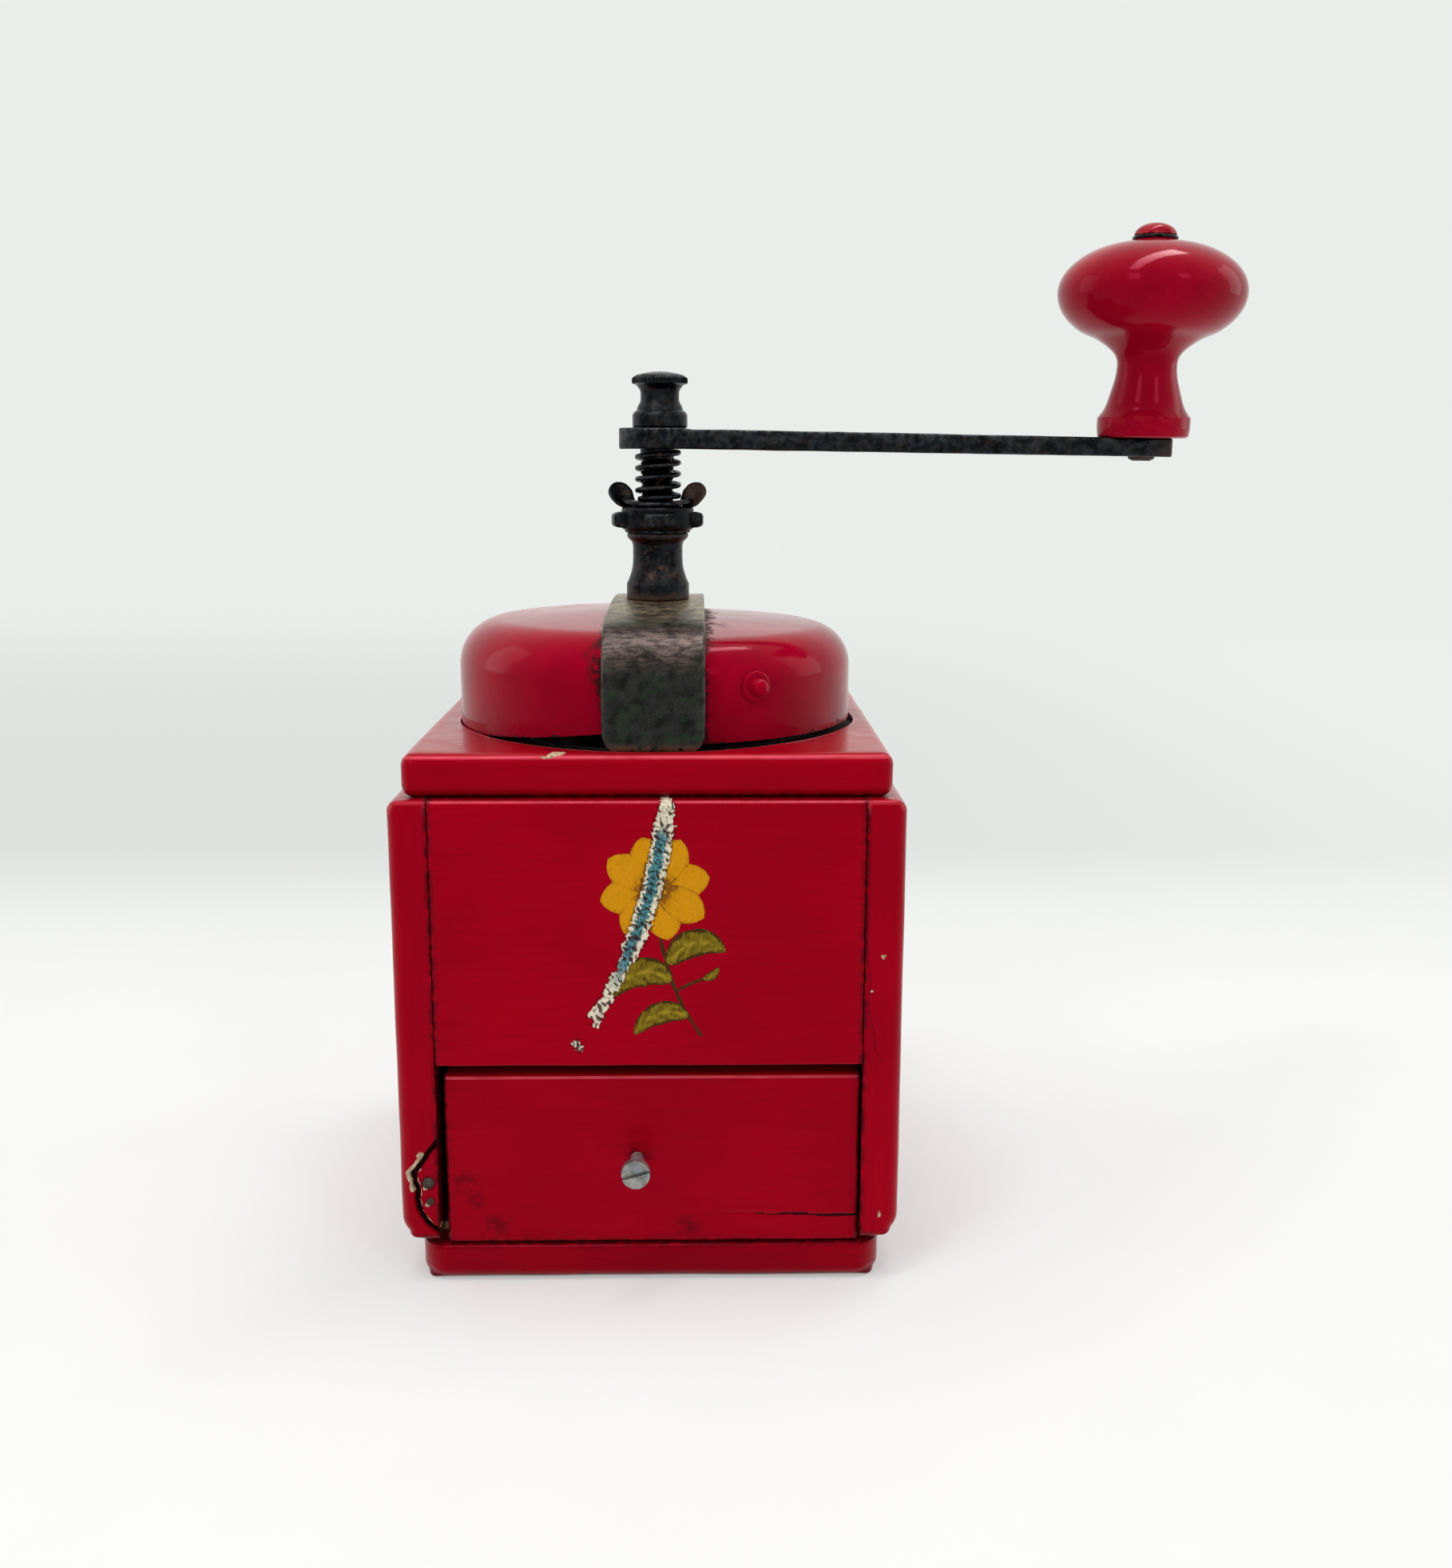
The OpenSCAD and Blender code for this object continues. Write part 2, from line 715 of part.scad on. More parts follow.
module lower_bridge() {
    leg_out = leg_in + bridge_leg_t;
    leg_top = burr_top - burr_flange_t;
    color(dark_steel)
        difference() {
            union() {
                box([-leg_out, -bridge_w / 2, bridge_z], [leg_out, bridge_w / 2, bridge_z + bridge_t]);
                for (x = [-leg_out, leg_in])
                    translate([x, -bridge_w / 2, bridge_z])
                        cube([bridge_leg_t, bridge_w, leg_top - bridge_z]);
            }
            translate([0, 0, bridge_z - 1])
                cylinder(h = bridge_t + 2, r = shaft_r + run);
            at_bridge_screws()
                translate([0, 0, -burr_flange_t - bridge_screw_l - fit])
                    cylinder(h = bridge_screw_l + 1, r = bridge_screw_r + fit);
        }
}

module bridge_screws() {
    shank_l = burr_flange_t + bridge_screw_l + bowl_t + bridge_screw_head_t / 2;
    color(grey_steel)
        at_bridge_screws() {
            translate([0, 0, -burr_flange_t - bridge_screw_l])
                cylinder(h = shank_l, r = bridge_screw_r);
            translate([0, 0, bowl_t])
                cylinder(h = bridge_screw_head_t, r = bridge_screw_head_r);
        }
}

// Outline of a dome in the half plane, from its foot to the hole in its crown
function dome_line(rim, foot, shoulder_z, s, n = 12) = concat(
    [[rim, foot]],
    arc(rim - s, shoulder_z, s, 0, 90 - crown_slope, n),
    [for (i = [1:n]) let (r = crown_rim(rim, s) + (eye_r - crown_rim(rim, s)) * i / n)
        [r, crown_z(r, rim, shoulder_z, s)]]);
module dome_shell(rim, foot, shoulder_z, s) {
    inner = dome_line(rim - sheet_t, foot, shoulder_z, s - sheet_t);
    rotate_extrude($fn = 128)
        polygon(concat(dome_line(rim, foot, shoulder_z, s),
            [for (i = [len(inner) - 1:-1:0]) inner[i]]));
}

// Fixed half of the dome, its lower edge cut on a slope that rises towards the strap
module dome_fixed() {
    foot_x = -(dome_r - dome_foot_l);
    cut_z = top_z + lift_at_strap;
    big = dome_r * 3;
    color(enamel)
        difference() {
            union() {
                difference() {
                    dome_shell(dome_r, flange_top, dome_shoulder_z, dome_shoulder_r);
                    translate([half_lap, -big, 0])
                        cube([big, 2 * big, 2 * top_z]);
                    translate([-strap_w / 2, -big, cut_z])
                        rotate([0, -lift_slope, 0])
                            translate([-big, 0, -big])
                                cube([2 * big, 2 * big, big]);
                }
                intersection() {
                    difference() {
                        translate([0, 0, flange_top])
                            cylinder(h = lift_at_strap, r = dome_r);
                        translate([0, 0, flange_top + sheet_t])
                            cylinder(h = lift_at_strap, r = dome_r - sheet_t);
                    }
                    box([-big, -dome_foot_w / 2, flange_top],
                        [foot_x, dome_foot_w / 2, flange_top + lift_at_strap]);
                }
            }
            translate([foot_screw_at[2][0], 0, flange_top - 1])
                cylinder(h = lift_at_strap, r = foot_screw_r + fit);
        }
}

module dome_screw() {
    color(grey_steel)
        translate([foot_screw_at[2][0], 0, 0]) {
            translate([0, 0, recess_z - foot_screw_l])
                cylinder(h = foot_screw_l + bowl_t + sheet_t + foot_screw_head_t / 2, r = foot_screw_r);
            translate([0, 0, flange_top + sheet_t])
                cylinder(h = foot_screw_head_t, r = foot_screw_head_r);
        }
}

// Sliding half of the dome, a door that turns under the fixed half
module dome_door() {
    big = dome_r * 3;
    color(enamel)
        difference() {
            dome_shell(door_r, door_foot_z, door_shoulder_z, door_shoulder_r);
            translate([-big - half_lap, -big, 0])
                cube([big, 2 * big, 2 * top_z]);
            at_button()
                translate([0, 0, -sheet_t - 1])
                    cylinder(h = sheet_t + 2, r = button_stem_r + fit);
        }
}

// Button: the +Z of this frame points out of the door's wall
button_stem_r = 1.4;
button_rivet_r = 2.2;
button_rivet_t = 0.7;
module at_button() {
    rotate([0, 0, button_angle - 90])
        translate([door_r, 0, top_z + button_h])
            rotate([0, 90, 0]) children();
}
module door_button() {
    color(enamel)
        at_button() {
            translate([0, 0, fit])
                cylinder(h = button_flange_t, r = button_flange_r);
            cylinder(h = button_flange_t + button_reach - button_r, r = button_r);
            translate([0, 0, button_flange_t + button_reach - button_r])
                sphere(r = button_r);
            translate([0, 0, -sheet_t - button_rivet_t / 2])
                cylinder(h = sheet_t + button_rivet_t / 2 + button_flange_t, r = button_stem_r);
            translate([0, 0, -sheet_t - slide - button_rivet_t])
                cylinder(h = button_rivet_t, r = button_rivet_r);
        }
}

module dome_washer() {
    color(grey_steel)
        translate([0, 0, dome_washer_z])
            difference() {
                cylinder(h = dome_washer_t, r = spigot_r + dome_washer_rim);
                translate([0, 0, -1])
                    cylinder(h = dome_washer_t + 2, r = spigot_r + fit);
            }
}

// Half of the strap's outline, seen from the side: a leg, the shoulder and the crown.
// d is the distance outwards from the strap's inner face.
function strap_line(d, foot) = concat(
    [[strap_in_r + d, foot]],
    arc(strap_in_r - dome_shoulder_r, dome_shoulder_z, dome_shoulder_r + d, 0, 90 - crown_slope, 10),
    [for (i = [1:8]) let (rim = strap_in_r + d, s = dome_shoulder_r + d, r = crown_rim(rim, s) * (1 - i / 8))
        [r, crown_z(r, rim, dome_shoulder_z, s) + strap_rise * (1 - r / crown_rim(rim, s))]]);
strap_rise = strap_under - crown_z(0, strap_in_r, dome_shoulder_z, dome_shoulder_r);

module strap() {
    foot_top = flange_top + strap_t;
    bend_z = flange_top + strap_bend_r;
    out = strap_line(strap_t, bend_z);
    in = strap_line(0, bend_z);
    corner = (strap_w - strap_foot_w) / 2;
    half = concat(
        [[strap_out_r - strap_foot_l, foot_top],
            [strap_out_r - strap_foot_l, flange_top]],
        arc(strap_out_r - strap_bend_r, bend_z, strap_bend_r, -90, 0, 6),
        [for (i = [1:len(out) - 1]) out[i]],
        [for (i = [len(in) - 1:-1:1]) in[i]],
        arc(strap_out_r - strap_bend_r, bend_z, strap_bend_r - strap_t, 0, -90, 3));
    color(grey_steel)
        difference() {
            for (m = [0, 1])
                mirror([0, m, 0])
                    intersection() {
                        translate([-strap_w / 2, 0, 0])
                            rotate([90, 0, 90])
                                linear_extrude(strap_w)
                                    polygon(half);
                        translate([0, strap_out_r + 1, 0])
                            rotate([90, 0, 0])
                                linear_extrude(strap_out_r + 1)
                                    polygon(concat(
                                        [[-strap_foot_w / 2, flange_top - 1],
                                            [strap_foot_w / 2, flange_top - 1]],
                                        arc(strap_foot_w / 2, bend_z + corner, corner, -90, 0, 4),
                                        [[strap_w / 2, strap_top + 1], [-strap_w / 2, strap_top + 1]],
                                        arc(-strap_foot_w / 2, bend_z + corner, corner, 180, 270, 4)));
                    }
            translate([0, 0, strap_under - 2])
                cylinder(h = strap_t + 4, r = spigot_r + fit);
            for (m = [0, 1])
                translate([foot_screw_at[m][0], foot_screw_at[m][1], flange_top - 1])
                    cylinder(h = strap_t + 2, r = foot_screw_r + fit);
            for (m = [0, 1])
                translate([foot_screw_at[m][0], foot_screw_at[m][1], foot_top - foot_screw_head_t])
                    cylinder(h = foot_screw_head_t + 1, r = foot_screw_head_r + fit);
        }
}

module strap_screws() {
    color(dark_steel)
        for (m = [0, 1])
            translate([foot_screw_at[m][0], foot_screw_at[m][1], 0]) {
                translate([0, 0, recess_z - foot_screw_l])
                    cylinder(h = foot_screw_l + bowl_t + strap_t, r = foot_screw_r);
                translate([0, 0, flange_top + strap_t - foot_screw_head_t])
                    cylinder(h = foot_screw_head_t, r = foot_screw_head_r);
            }
}

// Neck: waisted sleeve on the strap, with a spigot riveted under the dome
module neck() {
    foot_h = neck_h * 0.2;
    top_edge = 0.3;
    flare = curve([[neck_foot_r, strap_top + foot_h], [neck_foot_r - 0.8, strap_top + neck_h * 0.33],
        [neck_waist_r, strap_top + neck_h * 0.52], [neck_waist_r, strap_top + neck_h * 0.78],
        [neck_waist_r + 0.4, strap_top + neck_h * 0.85], [neck_bead_r, strap_top + neck_h * 0.92]], 3);
    color(dark_steel)
        rotate_extrude()
            polygon(concat(
                [[shaft_r + run, dome_washer_z - lip_t], [spigot_r + lip_w, dome_washer_z - lip_t],
                    [spigot_r + lip_w, dome_washer_z], [spigot_r, dome_washer_z], [spigot_r, strap_top],
                    [neck_foot_r, strap_top]],
                flare,
                [[neck_bead_r, neck_top - top_edge], [neck_bead_r - top_edge, neck_top],
                    [shaft_r + run, neck_top]]));
}

module notched_washer() {
    notch_depth = 0.7;
    notch_w = 1;
    color(dark_steel)
        translate([0, 0, washer_z])
            difference() {
                cylinder(h = washer_t, r = washer_r);
                translate([0, 0, -1])
                    cylinder(h = washer_t + 2, r = shaft_r + run);
                for (i = [0:washer_notches - 1])
                    rotate([0, 0, 360 * (i + 0.5) / washer_notches])
                        translate([washer_r - notch_depth, -notch_w / 2, -1])
                            cube([2, notch_w, washer_t + 2]);
            }
}

module adjusting_nut() {
    lug_rise = 0.7;
    lug_z = nut_z + lug_rise;
    foot_edge = 0.6;
    top_edge = 0.8;
    color(dark_steel)
        difference() {
            union() {
                rotate_extrude()
                    polygon([[0, nut_z], [nut_r - foot_edge, nut_z], [nut_r, nut_z + foot_edge],
                        [nut_r, nut_top - top_edge],
                        [nut_r - top_edge, nut_top], [0, nut_top]]);
                intersection() {
                    translate([0, 0, lug_z])
                        cylinder(h = lug_t, r = lug_r);
                    for (a = [0, 90])
                        rotate([0, 0, a])
                            box([-lug_r - 1, -lug_w / 2, lug_z], [lug_r + 1, lug_w / 2, lug_z + lug_t]);
                }
            }
            translate([0, 0, nut_z - 1])
                cylinder(h = nut_h + 2, r = shaft_r + run);
        }
}

// Wing lock: a plate on the nut with two oval wings
module wing_lock() {
    r = wing_w / 2;
    wing_root = 2.6;
    color(dark_steel)
        difference() {
            union() {
                translate([0, 0, wing_z])
                    cylinder(h = wing_t, r = wing_plate_r);
                for (s = [-1, 1])
                    translate([s * (wing_plate_r - wing_root), 0, wing_z])
                        rotate([0, s * wing_lean, -s * wing_twist])
                            translate([-wing_t / 2, 0, 0])
                                rotate([90, 0, 90])
                                    linear_extrude(wing_t) {
                                        translate([-r, -r])
                                            square([wing_w, wing_l]);
                                        translate([0, wing_l - r])
                                            circle(r = r);
                                    }
            }
            translate([0, 0, wing_z - 1])
                cylinder(h = wing_l, r = shaft_r + run);
            translate([0, 0, wing_top])
                cylinder(h = spring_h, r = spring_r + wire_d / 2 + slide);
            translate([0, 0, wing_z - wing_l])
                cylinder(h = wing_l, r = 2 * wing_plate_r);
        }
}

// Spring: one helix whose ends run straight up and down into what they meet
spring_rise = spring_h - 2 * wire_d;
spring_rings = 8;
function helix_point(t) =
    [spring_r * cos(360 * t), spring_r * sin(360 * t),
        wing_top + wire_d + spring_rise * pow(t / spring_turns, turn_bias)];
spring_steps = ceil(spring_turns * spring_rings);
spring_path = concat(
    [[spring_r, 0, wing_top]],
    [for (i = [0:spring_steps]) spring_at(i)],
    [helix_point(spring_turns) + [0, 0, wire_d]]);

// Tube of six sides along a path round the Z axis, of triangles; its end rings lie level
function tube_ring(path, i, r) =
    let (last = len(path) - 1,
        along = i == 0 || i == last ? [0, 0, 1] : path[min(i + 1, last)] - path[max(i - 1, 0)],
        t = along / norm(along),
        out = [path[i][0], path[i][1], 0] / norm([path[i][0], path[i][1]]),
        side = cross(t, out) / norm(cross(t, out)),
        flat = cross(side, t))
    [for (k = [0:5]) path[i] + r * (cos(60 * k) * flat + sin(60 * k) * side)];
module tube(path, r) {
    rings = len(path);
    points = [for (i = [0:rings - 1]) each tube_ring(path, i, r)];
    walls = [for (i = [0:rings - 2]) for (k = [0:5]) let (a = 6 * i + k, b = 6 * i + (k + 1) % 6)
        each [[a, a + 6, b], [b, a + 6, b + 6]]];
    ends = [for (k = [1:4]) each [[0, k, k + 1], [6 * rings - 6, 6 * rings - 6 + k + 1, 6 * rings - 6 + k]]];
    polyhedron(points, concat(walls, ends));
}
function spring_at(i) = helix_point(spring_turns * i / spring_steps);
function spring_gap() = min([for (i = [0:spring_steps - 5]) for (j = [i + 5:spring_steps])
    norm(spring_at(i) - spring_at(j))]) - wire_d;
module spring() {
    echo(spring_least_gap = spring_gap());
    color(dark_steel)
        tube(spring_path, wire_d / 2);
}

// Shaft: thread under the crank, a square for the crank and a stud for the thumb nut
module shaft() {
    turns = floor((thread_top - thread_z) / thread_pitch);
    core = shaft_r - thread_depth;
    edge = 0.5;
    thread = [for (i = [0:turns - 1]) let (z = thread_z + i * thread_pitch)
        each [[shaft_r, z], [core, z + thread_pitch / 2]]];
    color(dark_steel)
        difference() {
            union() {
                rotate_extrude()
                    polygon(concat(
                        [[0, shaft_foot_z], [shaft_r - edge, shaft_foot_z], [shaft_r, shaft_foot_z + edge]],
                        thread,
                        [[shaft_r, thread_z + turns * thread_pitch], [shaft_r, arm_z], [0, arm_z]]));
                translate([-tang_w / 2, -tang_w / 2, arm_z - 1])
                    cube([tang_w, tang_w, arm_t + 1 - face_gap]);
                translate([0, 0, arm_z])
                    cylinder(h = arm_t + stud_h, r = stud_r);
            }
            translate([0, 0, pin_z])
                rotate([0, 90, 0])
                    cylinder(h = 4 * shaft_r, r = cone_pin_r + fit, center = true);
        }
}

// Burr cone: bored for the shaft, with slanted teeth
cone_pin_r = 1.5;
cone_foot_r = burr_exit_r - burr_gap;
cone_waist_r = burr_throat_r - burr_gap - 0.4;
cone_top_r = shaft_r + 3.5;
module burr_cone() {
    color(grey_steel)
        difference() {
            rotate_extrude()
                polygon([[shaft_r + fit, cone_foot_z], [cone_foot_r, cone_foot_z],
                    [cone_waist_r, burr_throat_z], [cone_top_r, cone_top_z], [shaft_r + fit, cone_top_z]]);
            for (i = [0:burr_teeth - 1])
                rotate([0, 0, 360 * (i + 0.5) / burr_teeth])
                    tooth_gap(cone_foot_r, cone_foot_z, cone_waist_r, burr_throat_z);
            translate([0, 0, pin_z])
                rotate([0, 90, 0])
                    cylinder(h = 3 * cone_foot_r, r = cone_pin_r + fit, center = true);
        }
}

module cone_pin() {
    color(bright_steel)
        translate([0, 0, pin_z])
            rotate([0, 90, 0])
                cylinder(h = 2 * cone_waist_r, r = cone_pin_r, center = true);
}

// Frame of the sloping arm: z = 0 is the arm's lower face, x = 0 is the shaft
module on_arm() {
    translate([arm_bend_x, 0, arm_z])
        rotate([0, arm_slope, 0])
            translate([-arm_bend_x, 0, 0]) children();
}
// Frame of the knob: z = 0 is the arm's upper face under the knob
module at_knob() {
    on_arm()
        translate([crank_l, 0, arm_t]) children();
}

module crank_arm() {
    end_x = crank_l + arm_past;
    corner = 1.5;
    color(dark_steel)
        difference() {
            union() {
                translate([0, 0, arm_z])
                    cylinder(h = arm_t, r = hub_r);
                on_arm()
                    linear_extrude(arm_t)
                        polygon([[arm_bend_x, -arm_w_hub / 2], [end_x - corner, -arm_w_end / 2],
                            [end_x, -arm_w_end / 2 + corner], [end_x, arm_w_end / 2 - corner],
                            [end_x - corner, arm_w_end / 2], [arm_bend_x, arm_w_hub / 2]]);
            }
            translate([-tang_w / 2 - fit, -tang_w / 2 - fit, arm_z - 1])
                cube([tang_w + 2 * fit, tang_w + 2 * fit, arm_t + 2]);
            at_knob()
                translate([0, 0, -arm_t - 1])
                    cylinder(h = arm_t + 2, r = pin_r + fit);
        }
}

// Pin that the knob turns on: riveted under the arm
module knob_pin() {
    rivet_h = 1.1;
    color(dark_steel)
        at_knob() {
            translate([0, 0, -arm_t - rivet_h])
                cylinder(h = rivet_h + arm_t + cap_z + knob_washer_t + cap_h / 2, r = pin_r);
            translate([0, 0, -arm_t])
                rotate_extrude()
                    polygon([[0, 0], [rivet_r, 0], [rivet_r * 0.9, -rivet_h * 0.6],
                        [rivet_r * 0.6, -rivet_h], [0, -rivet_h]]);
        }
}

module knob_washer() {
    color(dark_steel)
        at_knob()
            translate([0, 0, cap_z + face_gap])
                difference() {
                    cylinder(h = knob_washer_t, r = cap_r + 0.4);
                    translate([0, 0, -1])
                        cylinder(h = knob_washer_t + 2, r = pin_r + fit);
                }
}

// Domed cap on the pin
module knob_cap() {
    z0 = cap_z + knob_washer_t + face_gap;
    color(enamel)
        at_knob()
            difference() {
                rotate_extrude()
                    polygon(concat([[0, z0], [cap_r, z0]],
                        [for (i = [0:7]) let (a = 10 + 80 * i / 7) [cap_r * cos(a), z0 + cap_h * sin(a)]]));
                cylinder(h = cap_z + knob_washer_t + cap_h / 2 + fit, r = pin_r + fit);
            }
}

// Turned knob, bored for its pin
module knob() {
    bulb_low = 14;
    bulb_high = knob_h - knob_wide_z;
    foot_h = 6.2;
    outline = concat(
        [[knob_foot_r - 0.8, 0], [knob_foot_r, foot_h * 0.35]],
        curve(concat(
            [[knob_foot_r, foot_h * 0.7], [knob_foot_r - 1, foot_h + 1.2],
                [(knob_foot_r + knob_neck_r) / 2 - 0.5, (foot_h + knob_neck_z) / 2 - 1],
                [knob_neck_r, knob_neck_z],
                [knob_neck_r + 0.5, (knob_neck_z + knob_wide_z - bulb_low) / 2 + 1.3]],
            [for (a = [-60:15:75])
                [knob_r * pow(cos(a), 0.92), knob_wide_z + (a < 0 ? bulb_low : bulb_high) * sin(a)]]), 4),
        [[cap_r, knob_h]]);
    color(enamel)
        at_knob()
            translate([0, 0, knob_foot_gap])
                rotate_extrude($fn = 96)
                    polygon(concat([[pin_r + run, 0]], outline, [[pin_r + run, knob_h]]));
}

// Thumb nut with a knurled rim, bored for the stud
module thumb_nut() {
    rim_z = thumb_h * 0.79;
    rim_top = thumb_h * 0.9;
    groove_w = 0.8;
    edge = 0.3;
    color(dark_steel)
        translate([0, 0, arm_top + face_gap])
            difference() {
                rotate_extrude()
                    polygon(concat(
                        [[0, 0], [thumb_collar_r - edge, 0], [thumb_collar_r, edge],
                            [thumb_collar_r, thumb_h * 0.3]],
                        curve([[thumb_collar_r - edge, thumb_h * 0.34], [thumb_waist_r + 0.5, thumb_h * 0.45],
                            [thumb_waist_r, thumb_h * 0.58], [thumb_waist_r + 0.5, thumb_h * 0.72],
                            [thumb_rim_r - edge, rim_z]], 3),
                        [[thumb_rim_r, rim_z + edge], [thumb_rim_r, rim_top - edge],
                            [thumb_rim_r - edge, rim_top],
                            [thumb_rim_r * 0.6, thumb_h * 0.97], [0, thumb_h]]));
                translate([0, 0, -1])
                    cylinder(h = stud_h + 1.5, r = stud_r + face_gap);
                for (i = [0:thumb_grooves - 1])
                    rotate([0, 0, 360 * i / thumb_grooves])
                        translate([thumb_rim_r + 0.2, 0, rim_z - 1])
                            rotate([0, 0, 45])
                                translate([-groove_w / 2, -groove_w / 2, 0])
                                    cube([groove_w, groove_w, thumb_h]);
            }
}

// Drawer
module at_drawer_nails() {
    for (s = [-1, 1])
        for (z = [drawer_z + drawer_wall_h * 0.25, drawer_z + drawer_wall_h * 0.75])
            translate([s < 0 ? drawer_x0 : drawer_x1, drawer_back_y - drawer_wall_t / 2, z])
                rotate([0, -90 * s, 0]) children();
}
module at_pull() {
    translate([drawer_mid + pull_x, drawer_y0, drawer_front_z + pull_z])
        rotate([90 - pull_droop, 0, 0]) children();
}
module pull_hole() {
    at_pull()
        translate([0, 0, -2 * drawer_front_t])
            cylinder(h = 3 * drawer_front_t, r = pull_r + fit);
}

module drawer_front() {
    e = 1;
    color(enamel)
        difference() {
            board([drawer_x0, drawer_y0, drawer_front_z],
                [drawer_x1, drawer_y1, drawer_front_z + drawer_front_h],
                [e, e, 0, 0], [e / 2, e / 2, e / 2, e / 2], [e, 0, 0, e]);
            pull_hole();
        }
}

module drawer_side(x) {
    color(bare_wood)
        difference() {
            box([x, drawer_y1, drawer_z], [x + drawer_wall_t, drawer_back_y, drawer_z + drawer_wall_h]);
            at_drawer_nails() nail(drawer_nail_l, fit);
        }
}
module drawer_side_left() {
    drawer_side(drawer_x0);
}
module drawer_side_right() {
    drawer_side(drawer_x1 - drawer_wall_t);
}

module drawer_back() {
    color(bare_wood)
        difference() {
            box([drawer_x0 + drawer_wall_t, drawer_back_y - drawer_wall_t, drawer_z],
                [drawer_x1 - drawer_wall_t, drawer_back_y, drawer_z + drawer_wall_h]);
            at_drawer_nails() nail(drawer_nail_l, fit);
        }
}

module drawer_bottom() {
    color(bare_wood)
        box([drawer_x0 + drawer_wall_t, drawer_y1, drawer_z],
            [drawer_x1 - drawer_wall_t, drawer_back_y - drawer_wall_t, drawer_z + drawer_bottom_t]);
}

module drawer_nails() {
    color(grey_steel)
        at_drawer_nails() nail(drawer_nail_l);
}

// Cheese-head screw that serves as the drawer's pull
module drawer_screw() {
    color(bright_steel)
        at_pull()
            difference() {
                union() {
                    translate([0, 0, -drawer_front_t + 1])
                        cylinder(h = drawer_front_t - 1 + pull_reach + pull_head_t / 2, r = pull_r);
                    translate([0, 0, pull_reach])
                        cylinder(h = pull_head_t, r = pull_head_r);
                }
                rotate([0, 0, slot_turn])
                    translate([-pull_head_r - 1, -slot_w / 2, pull_reach + pull_head_t - slot_depth])
                        cube([2 * pull_head_r + 2, slot_w, slot_depth + 1]);
            }
}

base_board();
floor_sheet();
side_board_left();
side_board_right();
front_panel();
back_panel();
drawer_shelf();
top_board();
glue_blocks();
panel_nails();
base_nails();
mend_nails();
bean_bowl();
burr_ring();
lower_bridge();
bridge_screws();
strap();
strap_screws();
neck();
dome_fixed();
dome_screw();
dome_washer();
dome_door();
door_button();
notched_washer();
adjusting_nut();
wing_lock();
spring();
shaft();
burr_cone();
cone_pin();
crank_arm();
knob_pin();
knob_washer();
knob_cap();
thumb_nut();
knob();
drawer_front();
drawer_side_left();
drawer_side_right();
drawer_back();
drawer_bottom();
drawer_nails();
drawer_screw();
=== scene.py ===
"""Visual model of an old box coffee grinder, made round its packed CAD frame.

Laid out as an add-on: a panel in the sidebar lists the operators, and each
operator makes one piece or a group of like pieces. main() calls them in order.
Sizes in the property groups are in metres; inside the functions the work is
done in millimetres, and make() turns it back.
"""

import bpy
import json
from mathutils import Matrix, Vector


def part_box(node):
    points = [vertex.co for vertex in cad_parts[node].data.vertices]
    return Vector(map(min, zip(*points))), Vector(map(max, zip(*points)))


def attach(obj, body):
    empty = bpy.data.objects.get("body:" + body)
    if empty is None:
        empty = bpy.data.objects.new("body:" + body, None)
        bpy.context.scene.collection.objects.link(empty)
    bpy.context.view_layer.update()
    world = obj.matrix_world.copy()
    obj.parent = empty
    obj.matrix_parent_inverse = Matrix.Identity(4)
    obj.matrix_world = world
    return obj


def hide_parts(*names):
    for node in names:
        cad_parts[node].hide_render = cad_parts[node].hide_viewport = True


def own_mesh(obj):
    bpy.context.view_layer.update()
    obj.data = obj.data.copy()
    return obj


bl_info = {
    "name": "Old box coffee grinder",
    "version": (1, 0, 0),
    "blender": (4, 5, 0),
    "location": "3D View > Sidebar > Grinder",
    "description": "Makes the pieces, finishes and stage of an old box coffee grinder",
    "category": "Object",
}

import json
import math

import bmesh
import bpy
from mathutils import Matrix, Vector, noise

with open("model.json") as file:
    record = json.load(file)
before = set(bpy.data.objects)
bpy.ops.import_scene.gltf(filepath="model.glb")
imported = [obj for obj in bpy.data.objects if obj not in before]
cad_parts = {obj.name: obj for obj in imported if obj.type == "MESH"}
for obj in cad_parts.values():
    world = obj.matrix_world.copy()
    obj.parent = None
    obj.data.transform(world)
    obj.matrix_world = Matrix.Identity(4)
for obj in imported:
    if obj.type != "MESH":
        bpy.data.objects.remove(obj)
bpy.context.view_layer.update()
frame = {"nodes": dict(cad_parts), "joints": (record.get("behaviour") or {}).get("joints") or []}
MM = 1000.0


# Small sums

def span(node):
    """Lowest and highest corner of a CAD node, in millimetres."""
    low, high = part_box(node)
    return low * MM, high * MM


def ease(value, start, end):
    """0 before start, 1 after end, and a smooth step between them."""
    share = min(max((value - start) / (end - start), 0.0), 1.0)
    return share * share * (3 - 2 * share)


def mix(a, b, share):
    return a + (b - a) * share


def ripple(point, size, seed=0.0):
    """Smooth noise from about -1 to 1, with features of the given size."""
    return noise.noise(Vector(point) / size + Vector((seed, seed * 0.7, seed * 1.3)))


def along(point, path):
    """Distance from a flat path, the side of it, and the length run so far."""
    best = (1e9, 0.0, 0.0)
    run = 0.0
    for start, end in zip(path, path[1:]):
        way = (end[0] - start[0], end[1] - start[1])
        length = math.hypot(*way)
        off = (point[0] - start[0], point[1] - start[1])
        share = min(max((off[0] * way[0] + off[1] * way[1]) / length**2, 0.0), 1.0)
        gap = math.hypot(off[0] - way[0] * share, off[1] - way[1] * share)
        side = (way[0] * off[1] - way[1] * off[0]) / length
        if gap < best[0]:
            best = (gap, side, run + share * length)
        run += length
    return best


# Outlines

